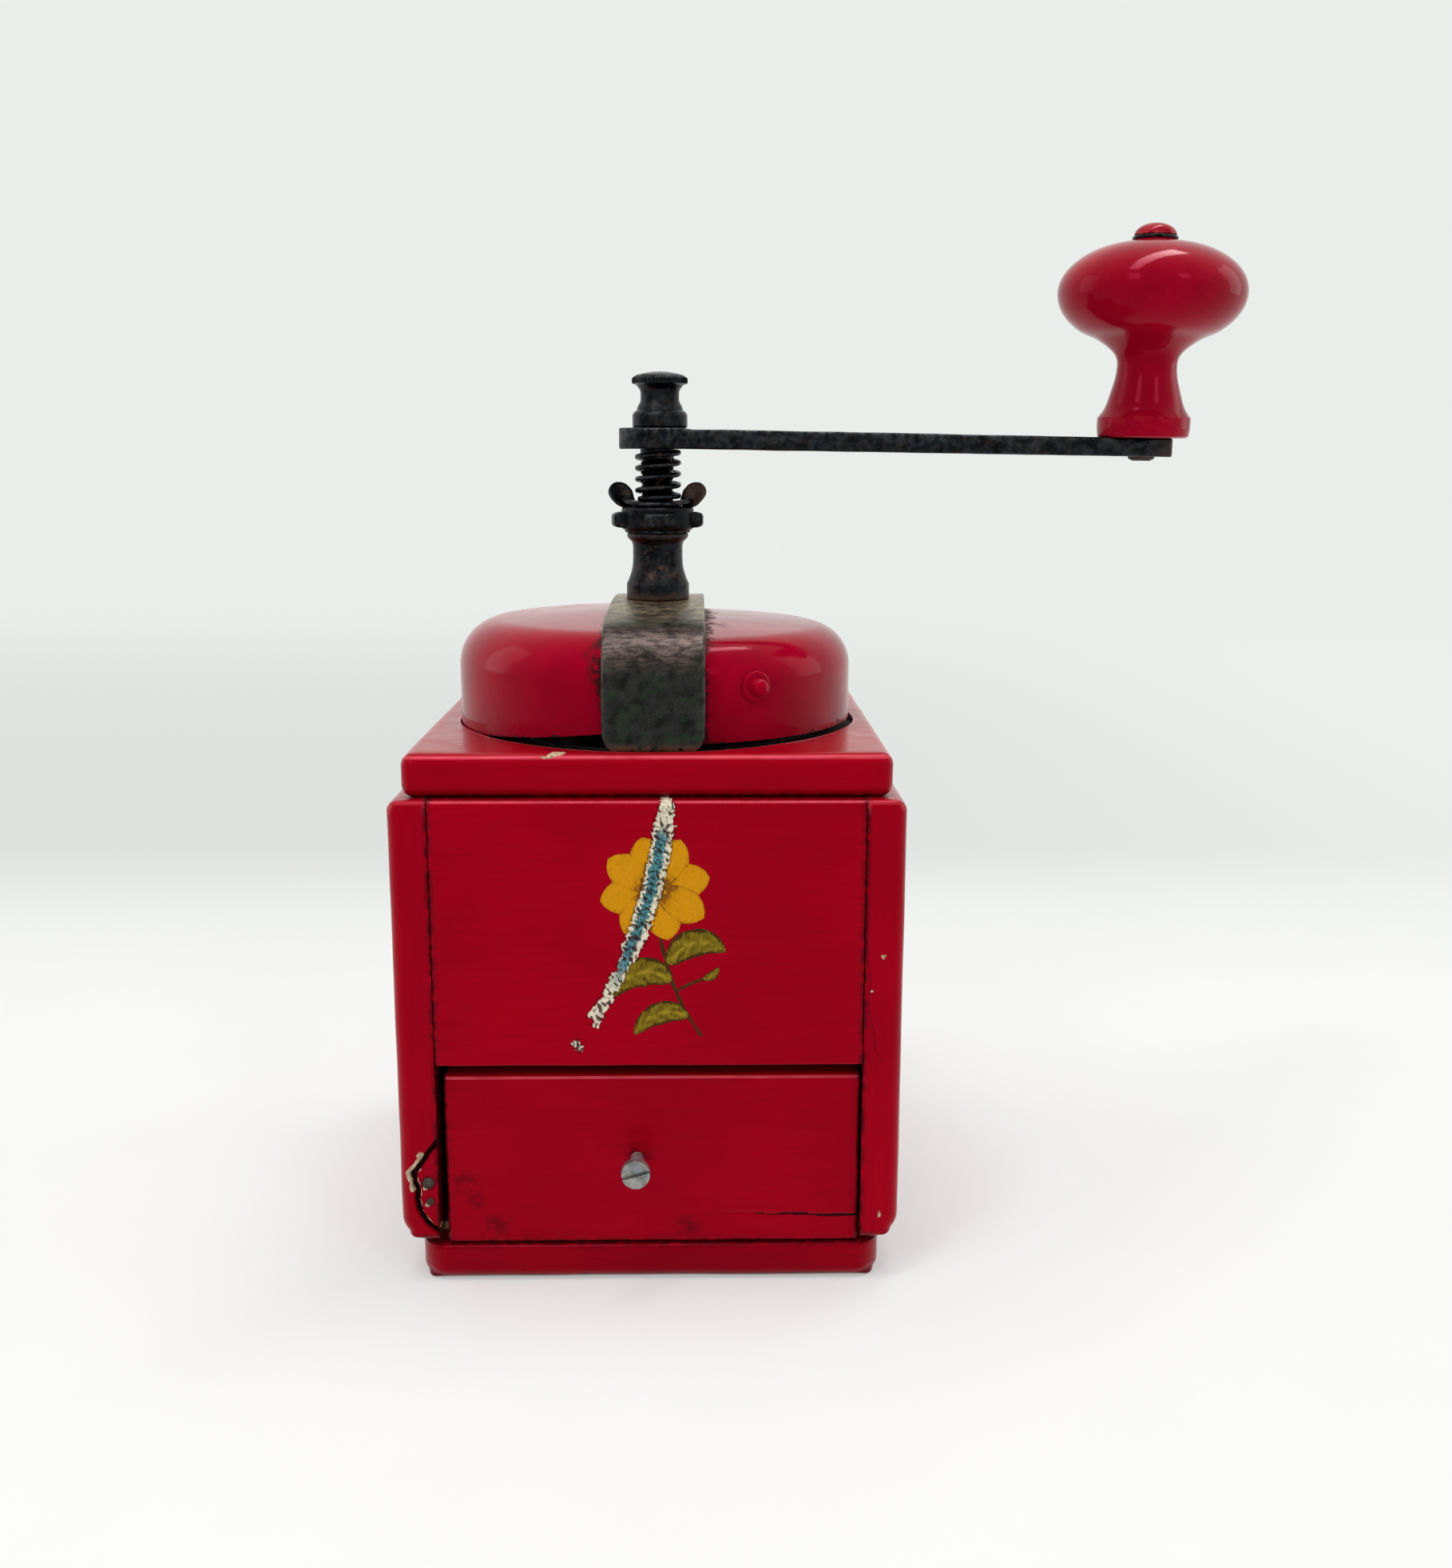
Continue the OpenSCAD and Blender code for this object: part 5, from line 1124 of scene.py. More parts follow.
class GRINDER_OT_drawer(bpy.types.Operator):
    """Drawer: enamelled front, bare box, nails and the screw that serves as pull"""
    bl_idname = "grinder.drawer"
    bl_label = "Drawer"

    def execute(self, context):
        sizes = context.scene.grinder_case
        low, high = span("drawer_front")
        points, faces, _ = board(low, high, (1, 1, 0, 0), (0.5,) * 4, (1, 0, 0, 1), 1.8,
                                    ((), (), ((14.5, 20.5, 0.4), (high.z - 2.4, high.z, 0.3))))
        waver(points, sizes.unevenness * MM, 15, 31)
        crack = crack_marks(points, [(DRAWER_CRACK, 0.65)], 0.65, 0.3, low.y)
        crack = [c * mix(0.35, 0.95, ease(p.x, 20, 38)) for c, p in zip(crack, points)]
        grime, edges = [], []
        for p in points:
            dirt_and_shade = 0.0
            if p.y < low.y + 3:
                for x, z, r in DRAWER_SMUDGES:
                    dirt_and_shade = max(dirt_and_shade, 0.55 * (1 - ease(math.hypot(p.x - x, p.z - z), 0.2 * r, r)))
                # Darker round the screw that serves as pull.
                dirt_and_shade = max(dirt_and_shade, 0.8 * (1 - ease(math.hypot(p.x + 4.6, p.z - 32.9), 2.0, 4.2)))
            # Painted shade in the gaps at the drawer's sides and along its bottom edge.
            dirt_and_shade = max(dirt_and_shade, 0.9 * (1 - ease(min(p.x - low.x, high.x - p.x), 0.2, 1.3)),
                       0.8 * (1 - ease(p.z - low.z, 0.2, 1.5)))
            grime.append(dirt_and_shade)
            # Painted highlight: a thin line along the rounded top edge.
            edges.append(1 - ease(abs(high.z - p.z - 0.6), 0.2, 0.7))
        make("Drawer_front", "drawer", (points, faces), finish("Drawer enamel"),
             ("drawer_front",), {"edge": edges, "grime": grime, "crack": crack})
        for node in ("drawer_side_left", "drawer_side_right", "drawer_bottom"):
            dress(node, "Deep wood", 0.3)
        dress("drawer_back", "Long wood", 0.3)
        dress("drawer_nails", "Nail steel", 0.1)
        dress("drawer_screw", "Bright steel", 0.22)
        return {"FINISHED"}


# The dome and its strap

CROWN_SLOPE = math.radians(5.4)
SHOULDER = 12.0
EYE_R = 6.3
LAP = 8.0
STRAP_HALF = 12.5
LIFT_SLOPE = math.radians(6.7)
LIFT = 3.5


def crown_rim(rim, shoulder):
    return rim - shoulder + shoulder * math.sin(CROWN_SLOPE)


def crown_height(r, rim, shoulder_z, shoulder):
    """Height of the dome's crown at a radius."""
    start = crown_rim(rim, shoulder)
    rise = math.tan(CROWN_SLOPE) * (start * start - r * r) / (2 * start)
    return shoulder_z + shoulder * math.cos(CROWN_SLOPE) + rise


def dome_profile(rim, shoulder_z, shoulder):
    """Outline of the dome above its wall, from the shoulder's foot to the eye."""
    turn = 90 - math.degrees(CROWN_SLOPE)
    line = arc((rim - shoulder, shoulder_z), shoulder, 0, turn, 16)
    start = crown_rim(rim, shoulder)
    radii = [mix(start, LAP + 1, k / 14) for k in range(1, 15)] + [LAP + 0.4, LAP, LAP - 0.6, EYE_R]
    return line + [(r, crown_height(r, rim, shoulder_z, shoulder)) for r in radii]


def half_dome(rim, shoulder_z, shoulder, middle, foot_of, sheet, columns):
    """Half of the dome as one closed skin: outer face, inner face and rim.

    middle is the angle that the half is centred on, foot_of(angle) its wall's
    lowest height there, and columns the shares across it, from -1 to 1."""
    outer = dome_profile(rim, shoulder_z, shoulder)
    inner = dome_profile(rim - sheet, shoulder_z, shoulder - sheet)
    wall_steps = (0.0, 0.25, 0.7, 1.4, 2.4, 3.8, 5.6, 8.0, 11.0)
    points, marks = [], []
    rows = len(wall_steps) + len(outer)
    wide = len(columns)

    def spread(r):
        return math.pi if r <= LAP else math.pi - math.acos(LAP / r)

    for line, skin in ((outer, 0), (inner, 1)):
        for i in range(rows):
            for share in columns:
                r, z = line[0] if i < len(wall_steps) else line[i - len(wall_steps)]
                angle = middle + share * spread(r)
                edge = 0.0
                if i < len(wall_steps):
                    foot = foot_of(angle)
                    z = min(foot + wall_steps[i] * (shoulder_z - foot) / 14.0, shoulder_z)
                    edge = 1 - ease(wall_steps[i], 0.2, 2.6)
                edge = max(edge, 1 - ease(spread(r) * r * (1 - abs(share)), 0.2, 2.0) if r > LAP else 0.0)
                points.append(Vector((r * math.cos(angle), r * math.sin(angle), z)))
                marks.append(edge)
    count = rows * wide
    faces = []
    for skin in (0, count):
        for i in range(rows - 1):
            for k in range(wide - 1):
                a = skin + i * wide + k
                faces.append((a, a + 1, a + wide + 1, a + wide))
    for k in range(wide - 1):
        for row in (0, rows - 1):
            a = row * wide + k
            faces.append((a, a + 1, a + 1 + count, a + count))
    for i in range(rows - 1):
        lower = outer[0][0] if i < len(wall_steps) else outer[i - len(wall_steps)][0]
        if lower > LAP:
            for k in (0, wide - 1):
                a = i * wide + k
                faces.append((a, a + wide, a + wide + count, a + count))
    return points, faces, marks


def strap_grime(points, spread, crown_spread):
    """Dirt and rust beside the strap, and in smears on the crown."""
    marks = []
    for p in points:
        off = abs(p.x) - STRAP_HALF
        value = 1 - ease(off, 0.1, 0.6)
        ragged = off + 1.6 * ripple(p, 4.0, 2)
        if p.x < 0:
            band = ease(p.z, 143, 153) * (1 - ease(p.z, 158, 164))
            value = max(value, (0.35 + 0.5 * band) * (1 - ease(ragged, 0.4, spread * (0.5 + 1.6 * band))))
        else:
            value = max(value, ease(p.z, 156, 163) * (1 - ease(ragged, 0.6, spread * 1.3)))
        if p.z > 160 and p.x > 0:
            patch = ripple((p.x, p.y, 0), 13, 7) + 0.5 * ripple(p, 5, 4)
            value = max(value, 0.5 * ease(patch, 0.2, 0.6) * (1 - ease(off, 1.0, crown_spread)))
        marks.append(value)
    return marks


class GRINDER_OT_dome(bpy.types.Operator):
    """Fixed half of the dome, the sliding half, its button and the fastenings"""
    bl_idname = "grinder.dome"
    bl_label = "Dome"

    def execute(self, context):
        sizes = context.scene.grinder_dome
        sheet = sizes.sheet * MM
        top_z = span("top_board")[1].z
        low, high = span("dome_fixed")
        rim = -low.x
        foot_low = low.z
        tab = math.asin(6.0 / rim)

        def fixed_foot(angle):
            if abs(abs(angle) - math.pi) < tab or abs(angle - math.pi) < tab:
                return foot_low
            return top_z + LIFT + (rim * math.cos(angle) + STRAP_HALF) * math.tan(LIFT_SLOPE)

        half = math.pi - math.acos(LAP / rim)
        step = tab / half
        columns = [-1 + k / 60 for k in range(121)]
        columns = sorted([c for c in columns if abs(abs(c) - step) > 0.008]
                         + [s * (step + d) for s in (-1, 1) for d in (-0.0012, 0.0012)])
        points, faces, edges = half_dome(rim, 151.0, SHOULDER, math.pi, fixed_foot, sheet, columns)
        for p in points:
            p.x *= 1.010
        waver(points, sizes.unevenness * MM, 17, 41)
        make("Fixed_dome", "case", (points, faces), finish("Dome enamel"), ("dome_fixed",),
             {"edge": edges, "grime": strap_grime(points, 3.2, 9)})
        inner_x = -(rim - 9.0)
        outline = arc((0, 0), rim - 0.3, 180 - math.degrees(tab), 180 + math.degrees(tab), 12)
        outline += [(inner_x, -6.0), (inner_x, 6.0)]
        make("Fixed_dome_foot", "case", plate(outline, None, foot_low, foot_low + sheet, 0.15),
             finish("Dome enamel"), ())

        low, high = span("dome_door")
        door_rim, foot = high.x, low.z
        columns = [-1 + k / 60 for k in range(121)]
        points, faces, edges = half_dome(door_rim, 150.3, SHOULDER - 1.0, 0.0, lambda a: foot, sheet, columns)
        waver(points, sizes.unevenness * MM * 0.8, 17, 47)
        for i, p in enumerate(points):
            chip_angle = math.degrees(math.atan2(p.y, p.x))
            if p.z < foot + 6:
                near_front = 1 - ease(abs(chip_angle + 22), 4, 15)
                edges[i] = max(edges[i], near_front * (1 - ease(p.z - foot, 1.0, 4.5)))
        make("Dome_door", "door", (points, faces), finish("Dome enamel"), ("dome_door",),
             {"edge": edges, "grime": strap_grime(points, 2.6, 16)})

        button_low, button_high = span("door_button")
        angle = math.radians(28.6 - 90)
        place = Matrix.Translation((door_rim * math.cos(angle), door_rim * math.sin(angle), top_z + 14.4))
        place = place @ Matrix.Rotation(angle, 4, "Z") @ Matrix.Rotation(math.radians(90), 4, "Y")
        flange = soften([(2.25, 1.0), (3.3, 1.0), (3.9, 0.75), (3.9, 0.02), (1.4, 0.02)], 0.25)
        pin = [(0, 4.4)] + arc((0, 2.15), 2.25, 80, 12, 6) + [(2.25, 1.0)]
        line = pin + flange[1:] + [(1.4, -0.7), (2.2, -0.75), (2.2, -1.4), (0, -1.4)]
        line = line[::-1]
        points, faces = turned(line, 36)
        make("Door_button", "door", ([place @ p for p in points], faces), finish("Dome enamel"),
             ("door_button",), {"edge": spread_marks(worn(line), 36)})
        dress("dome_screw", "Nail steel", 0.2)
        dress("dome_washer", "Nail steel", 0.2)
        return {"FINISHED"}


class GRINDER_OT_strap(bpy.types.Operator):
    """Strap over the dome, bent out flat at its feet, with its screws"""
    bl_idname = "grinder.strap"
    bl_label = "Strap"

    def execute(self, context):
        sizes = context.scene.grinder_dome
        edge = sizes.strap_edge * MM
        low, high = span("strap")
        thick, foot_half, foot_l, bend = 2.4, 9.5, 12.0, 3.0
        out_r = high.y
        rim = out_r - thick
        flange = low.z
        middle = thick / 2
        path = [(out_r - foot_l, flange + middle), (out_r - foot_l + 0.5, flange + middle),
                (out_r - bend - 3.5, flange + middle)]
        path += arc((out_r - bend, flange + bend), bend - middle, -90, 0, 8)
        path += [(rim + middle, mix(flange + bend, 151, k / 7)) for k in range(1, 7)]
        path += arc((rim - SHOULDER, 151), SHOULDER + middle, 0, 90 - math.degrees(CROWN_SLOPE), 14)
        start = crown_rim(rim + middle, SHOULDER + middle)
        rise = high.z - middle - crown_height(0, rim + middle, 151, SHOULDER + middle)
        for k in range(1, 13):
            r = start * (1 - k / 12)
            path.append((r, crown_height(r, rim + middle, 151, SHOULDER + middle) + rise * (1 - r / start)))
        path += [(-r, z) for r, z in path[-2::-1]]
        bend_z = flange + bend
        rings, marks = [], []
        last = len(path) - 1
        for i, (y, z) in enumerate(path):
            before, after = path[max(i - 1, 0)], path[min(i + 1, last)]
            way = Vector((after[0] - before[0], after[1] - before[1])).normalized()
            out = Vector((way.y, -way.x))
            if i in (0, last):
                out = Vector((0, -1))
            widen = ease(z, bend_z - 1.6, bend_z + 0.9) if abs(y) > out_r - 6 else (1.0 if z > 150 else 0.0)
            half = mix(foot_half, STRAP_HALF, widen)
            ring = []
            section = ([(half, t) for t in (-middle + edge, 0, middle - edge)]
                       + arc((half - edge, middle - edge), edge, 20, 70, 2)
                       + [(mix(half - edge, -half + edge, k / 10), middle) for k in range(11)]
                       + arc((-half + edge, middle - edge), edge, 110, 160, 2)
                       + [(-half, t) for t in (middle - edge, 0, -middle + edge)]
                       + arc((-half + edge, -middle + edge), edge, 200, 250, 2)
                       + [(mix(-half + edge, half - edge, k / 10), -middle) for k in range(11)]
                       + arc((half - edge, -middle + edge), edge, 290, 340, 2))
            for x, t in section:
                ring.append((x, y + out.x * t, z + out.y * t))
                marks.append(max((1 - ease(half - abs(x), 0.1, 0.8)) * (1.0 if t > 0 else 0.4),
                                 0.5 if i in (0, 1, last - 1, last) else 0.0))
            rings.append(ring)
        points, faces = loft(rings)
        waver(points, 0.08, 9, 51)
        grime = []
        for p in points:
            radius = math.hypot(p.x, p.y)
            grime.append(max((1 - ease(radius - 8.4 + 0.5 * ripple(p, 2, 3), 0.2, 1.5)) * (1 if p.z > 160 else 0),
                             1 - ease(p.z - flange - 1.0, 0.5, 3.5)))
        make("Strap", "case", (points, faces), finish("Strap steel"), ("strap",),
             {"edge": marks, "grime": grime}, crease=50)
        dress("strap_screws", "Nail steel", 0.2)
        return {"FINISHED"}


# Neck, nut, lock and spring

class GRINDER_OT_neck(bpy.types.Operator):
    """Waisted neck on the strap, and the notched washer on it"""
    bl_idname = "grinder.neck"
    bl_label = "Neck and notched washer"

    def execute(self, context):
        low, high = span("neck")
        strap_top = span("strap")[1].z
        tall = high.z - strap_top
        bore, spigot, foot, waist, bead = 4.6, 6.2, 8.4, 6.7, 8.2
        lip_z = low.z
        flare = smooth_line([(foot, strap_top + tall * 0.235), (foot - 0.70, strap_top + tall * 0.32),
                             (waist + 0.25, strap_top + tall * 0.46), (waist, strap_top + tall * 0.60),
                             (waist, strap_top + tall * 0.80), (waist + 0.35, strap_top + tall * 0.87)], 5)
        line = [(bore, lip_z), (spigot + 0.8, lip_z), (spigot + 0.8, lip_z + 0.6), (spigot, lip_z + 0.6),
                (spigot, strap_top), (foot - 0.25, strap_top + 0.03), (foot, strap_top + 0.35)]
        line += flare
        line += [(bead - 0.45, strap_top + tall * 0.905), (bead, strap_top + tall * 0.94), (bead, high.z - 0.35),
                 (bead - 0.3, high.z), (bore, high.z)]
        line = soften(line, 0.25)
        points, faces = turned(line + [line[0]], 72)
        grime = [0.75 * (1 - ease(p.z - strap_top, 0.2, 2.6)) + 0.4 * ease(p.z, high.z - 2.2, high.z - 1.5)
                 for p in points]
        make("Neck", "case", (points, faces), finish("Neck steel"), ("neck",),
             {"edge": spread_marks(worn(line + [line[0]]), 72), "grime": grime})
        low, high = span("notched_washer")
        count = 16 * 16
        outer, inner = [], []
        for k in range(count):
            a = 2 * math.pi * k / count
            phase = (a * 16 / (2 * math.pi) - 0.5) % 1.0
            tooth = min(phase, 1 - phase) * 2 * math.pi / 16 * 8.7
            r = 8.7 - 0.7 * (1 - ease(tooth, 0.35, 0.62))
            outer.append((r * math.cos(a), r * math.sin(a)))
            inner.append((4.6 * math.cos(a), 4.6 * math.sin(a)))
        points, faces = plate(outer, inner, low.z, high.z, 0.12, 2)
        make("Notched_washer", "washer", (points, faces), finish("Washer steel"), ("notched_washer",),
             {"edge": [ease(math.hypot(p.x, p.y), 7.6, 8.4) for p in points]})
        return {"FINISHED"}


class GRINDER_OT_nut(bpy.types.Operator):
    """Adjusting nut with four lugs"""
    bl_idname = "grinder.nut"
    bl_label = "Adjusting nut"

    def execute(self, context):
        low, high = span("adjusting_nut")
        body_r, lug_r, lug_half, bore = 9.7, high.x, 4.0, 4.6
        lug_low, lug_high = low.z + 0.7, low.z + 4.7
        count = 240

        def lug_reach(angle):
            """Radius of the nut with its lugs in a direction."""
            a = (angle - math.radians(5) + math.pi / 4) % (math.pi / 2) - math.pi / 4
            off = abs(body_r * math.tan(a)) if abs(a) < 1.2 else 9.0
            side = lug_half / max(abs(math.sin(a)), 1e-6)
            flat = min(lug_r, side)
            return mix(max(flat, body_r), body_r, ease(off, lug_half - 0.3, lug_half + 1.2))

        levels = [(low.z, -0.9, 0), (low.z + 0.15, -0.45, 0), (low.z + 0.6, 0, 0), (lug_low - 0.05, 0, 0),
                  (lug_low, 0, 0.5), (lug_low + 0.35, 0, 0.88), (lug_low + 0.9, 0, 1.0), (lug_high - 1.0, 0, 1.0),
                  (lug_high - 0.35, 0, 0.86), (lug_high, 0, 0.45), (lug_high + 0.1, 0, 0),
                  (high.z - 0.8, 0, 0), (high.z - 0.45, -0.12, 0), (high.z - 0.12, -0.45, 0), (high.z, -0.9, 0)]
        rings, marks = [], []
        for z, trim, lug in levels:
            ring = []
            for k in range(count):
                a = 2 * math.pi * k / count
                full = lug_reach(a)
                r = mix(body_r, full, lug) + trim
                ring.append((r * math.cos(a), r * math.sin(a), z))
                marks.append(max(ease(full, 10.4, 11.6) * (0.9 if lug > 0 else 0.0), 0.6 if trim else 0.0))
            rings.append(ring)
        for z in (high.z, low.z):
            rings.append([(bore * math.cos(2 * math.pi * k / count), bore * math.sin(2 * math.pi * k / count), z)
                          for k in range(count)])
            marks += [0.0] * count
        points, faces = loft(rings, closed=True)
        waver(points, 0.07, 4, 61)
        make("Adjusting_nut", "grind_nut", (points, faces), finish("Nut iron"), ("adjusting_nut",),
             {"edge": marks}, crease=60)
        return {"FINISHED"}


def joined(*shapes):
    """Several closed skins as one shape."""
    points, faces = [], []
    for more, skin in shapes:
        start = len(points)
        points += more
        faces += [tuple(i + start for i in face) for face in skin]
    return points, faces


def oval_ring(half_wide, half_thick, steps, power=2.6):
    """Points round a flattened oval: wide along y, thick along x."""
    ring = []
    for k in range(steps):
        a = 2 * math.pi * k / steps
        c, s = math.cos(a), math.sin(a)
        ring.append((math.copysign(abs(s) ** (2 / power), s) * half_thick,
                     math.copysign(abs(c) ** (2 / power), c) * half_wide))
    return ring


class GRINDER_OT_wing_lock(bpy.types.Operator):
    """Wing lock: a plate on the nut with two hollowed wings"""
    bl_idname = "grinder.wing_lock"
    bl_label = "Wing lock"

    def execute(self, context):
        bow = context.scene.grinder_head.wing_bow * MM
        base = span("adjusting_nut")[1].z + 0.05
        thick, plate_r, bore, root = 1.3, 9.5, 4.6, 6.8
        half_wide, tall = 3.2, 7.9
        count = 96
        levels = [(bore, base + thick), (plate_r - 1.2, base + thick), (plate_r - 0.4, base + thick - 0.1),
                  (plate_r, base + thick - 0.45), (plate_r, base + 0.45), (plate_r - 0.4, base + 0.08),
                  (plate_r - 1.0, base + 0.02), (bore, base)]
        points, _ = turned(levels, count)
        points, faces = loft([points[i * count:(i + 1) * count] for i in range(len(levels))], closed=True)
        for p in points:
            radius, angle = math.hypot(p.x, p.y), math.atan2(p.y, p.x)
            p.z += 1.1 * math.cos(angle) ** 4 * ease(radius, 6.8, 9.4)
        shapes = [(points, faces)]
        marks = [0.7 * ease(math.hypot(p.x, p.y), 8.4, 9.0) for p in points]
        grime = [0.0] * len(points)
        for side in (-1, 1):
            turn = Matrix.Rotation(math.radians(side * 42), 3, "Y") @ Matrix.Rotation(math.radians(side * 58), 3, "Z")
            rings, levels = [], 20
            mid = tall - half_wide
            for i in range(levels + 1):
                share = i / levels
                z = tall * (1 - (1 - share) ** 1.8)
                over = max(z - mid, 0) / half_wide
                wide = half_wide * math.sqrt(max(1 - over * over, 0.0004))
                wide *= mix(0.55, 1.0, ease(z, 0.0, 3.5))
                lift = math.sin(math.pi * min(max(z / tall, 0), 1))
                ring = []
                for x, y in oval_ring(wide, min(thick / 2 * 1.08, wide), 28):
                    hollow = side * bow * lift * (1 - (y / half_wide) ** 2)
                    x *= 1 + 0.22 * (abs(y) / half_wide) ** 2
                    ring.append(turn @ Vector((x + hollow + side * 0.5 * ease(z, 5, 9), y, z))
                                + Vector((side * root, 0, base)))
                rings.append(ring)
            wing = loft(rings)
            shapes.append(wing)
            for i in range(len(rings)):
                for k in range(28):
                    rim = abs(math.cos(2 * math.pi * k / 28))
                    marks.append(max(ease(rim, 0.75, 1.0), ease(i / levels, 0.75, 1.0)) * 0.9)
                    inner = -side * math.sin(2 * math.pi * k / 28) > 0.2
                    grime.append(0.8 * (1 - ease(abs(i / levels - 0.5), 0.25, 0.5)) if inner and side > 0 else 0.0)
        points, faces = joined(*shapes)
        waver(points, 0.08, 3.5, 71)
        make("Wing_lock", "lock", (points, faces), finish("Lock steel"), ("wing_lock",),
             {"edge": marks, "grime": grime}, crease=55)
        return {"FINISHED"}


class GRINDER_OT_spring(bpy.types.Operator):
    """Spring between the wing lock and the crank arm"""
    bl_idname = "grinder.spring"
    bl_label = "Spring"

    def execute(self, context):
        sides = context.scene.grinder_head.coil_sides
        low, high = span("spring")
        radius, wire, turns, bias, tail = 5.5, 0.7, 3.75, 1.0, 0.42
        first, last = low.z + 2 * wire, high.z - 2 * wire
        steps = 52

        def coil(t):
            z = mix(first, last, min(max(t / turns, 0), 1) ** bias)
            if t < 0:
                z = first - wire * ease(-t, 0, tail)
            if t > turns:
                z = last + wire * ease(t - turns, 0, tail)
            return Vector((radius * math.cos(2 * math.pi * t) + 0.2, radius * math.sin(2 * math.pi * t), z))

        count = int((turns + 2 * tail) * steps)
        rings, marks = [], []
        for i in range(-1, count + 2):
            t = -tail + (turns + 2 * tail) * min(max(i, 0), count) / count
            here = coil(t)
            way = (coil(t + 0.004) - coil(t - 0.004)).normalized()
            out = Vector((here.x, here.y, 0)).normalized()
            up = way.cross(out).normalized()
            thin = 0.72 if i in (-1, count + 1) else 1.0
            here += way * {-1: -0.22, count + 1: 0.22}.get(i, 0.0)
            ring = []
            for k in range(sides):
                a = 2 * math.pi * k / sides
                ring.append(here + (out * math.cos(a) + up * math.sin(a)) * wire * thin)
                marks.append(max(0.0, math.cos(a)) ** 3 * 0.8)
            rings.append(ring)
        points, faces = loft(rings)
        piece = make("Spring", "spindle", (points, faces), finish("Spring steel"), ("spring",),
                     {"edge": marks}, crease=60)
        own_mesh(piece)
        return {"FINISHED"}


class GRINDER_OT_mill(bpy.types.Operator):
    """Bean bowl, burrs, shaft and bridge inside the case"""
    bl_idname = "grinder.mill"
    bl_label = "Mill"

    def execute(self, context):
        dress("bean_bowl", "Tinned sheet", 0.2)
        for node in ("burr_ring", "burr_cone", "lower_bridge"):
            dress(node, "Burr iron", 0.3)
        dress("bridge_screws", "Nail steel", 0.15)
        dress("cone_pin", "Bright steel", 0.2)
        dress("shaft", "Shaft steel", 0.12)
        return {"FINISHED"}


# Crank, thumb nut and knob

def knob_place():
    """Frame of the knob's axis: origin under the arm, Z along the pin."""
    joint = next(j for j in frame["joints"] if j["name"] == "knob_spin")
    up = Vector(joint["axis"]).normalized()
    across = Vector((up.z, 0, -up.x))
    origin = Vector(joint["pos_m"]) * MM
    turn = Matrix((across, up.cross(across), up)).transposed().to_4x4()
    return Matrix.Translation(origin) @ turn


class GRINDER_OT_crank_arm(bpy.types.Operator):
    """Crank arm with its round hub"""
    bl_idname = "grinder.crank_arm"
    bl_label = "Crank arm"

    def execute(self, context):
        edge = context.scene.grinder_crank.edge * MM
        low, high = span("crank_arm")
        hub_r, thick, bend_x, corner = -low.x, 4.8, 6.262, 2.2
        under = high.z - thick
        slope = math.tan(math.radians(0.8))
        end = high.x
        shoulder = 6.766

        def half_width(x):
            if x < shoulder:
                wide = math.sqrt(max(hub_r**2 - x * x, 0.0))
                if x > shoulder - 2.4:
                    wide = max(wide, 7.5)
                return wide
            wide = mix(7.5, 6.0, (x - bend_x) / (end - bend_x))
            if x > end - corner:
                wide -= corner - math.sqrt(max(corner**2 - (x - end + corner) ** 2, 0))
            return wide

        places = [-hub_r * math.cos(math.radians(90 * k / 12)) for k in range(12)]
        places += [mix(0, shoulder, k / 8) for k in range(9)]
        places += [mix(shoulder, end - corner, k / 46) for k in range(1, 47)]
        places += [end - corner + corner * math.sin(math.radians(90 * k / 6)) for k in range(1, 6)] + [end - 0.02]
        rings, marks = [], []
        for i, x in enumerate(places):
            wide = max(half_width(x), 0.05)
            trim = min(edge, wide * 0.9)
            drop = max(x - bend_x, 0) * slope
            tall = thick / 2
            if i == 0 or i == len(places) - 1:
                tall -= edge * 0.8
            elif i == 1 or i == len(places) - 2:
                tall -= edge * 0.25
            section = []
            for cy, cz, start in ((1, 1, 0), (-1, 1, 90), (-1, -1, 180), (1, -1, 270)):
                section += arc((cy * (wide - trim), cz * (tall - trim)), trim, start, start + 90, 4)
                if start in (0, 180):
                    way = -1 if start == 0 else 1
                    section += [(way * mix(-wide + trim, wide - trim, k / 8), cz * tall) for k in range(1, 8)]
            ring = []
            extra = mix(0.62, 0.28, ease(x, 6.9, 8.6)) * (1 - 0.8 * ease(x, 12, end))
            for y, z in section:
                up = max(z, 0) / tall * extra
                ring.append((x, y, under + thick / 2 + z + up - drop))
                near_side = 1 - ease(wide - abs(y), 0.3, 1.6)
                near_face = 1 - ease(tall - abs(z), 0.3, 1.4)
                tip = ease(x, end - 2.5, end - 0.5)
                marks.append(max(near_side * near_face, tip * near_face) * (1.0 if z > 0 else 0.5))
            rings.append(ring)
        points, faces = loft(rings)
        waver(points, 0.11, 7, 81)
        grime = [0.55 * ease(p.x, 126, 136) for p in points]
        make("Crank_arm", "spindle", (points, faces), finish("Crank steel"), ("crank_arm",),
             {"edge": marks, "grime": grime}, crease=50)
        return {"FINISHED"}


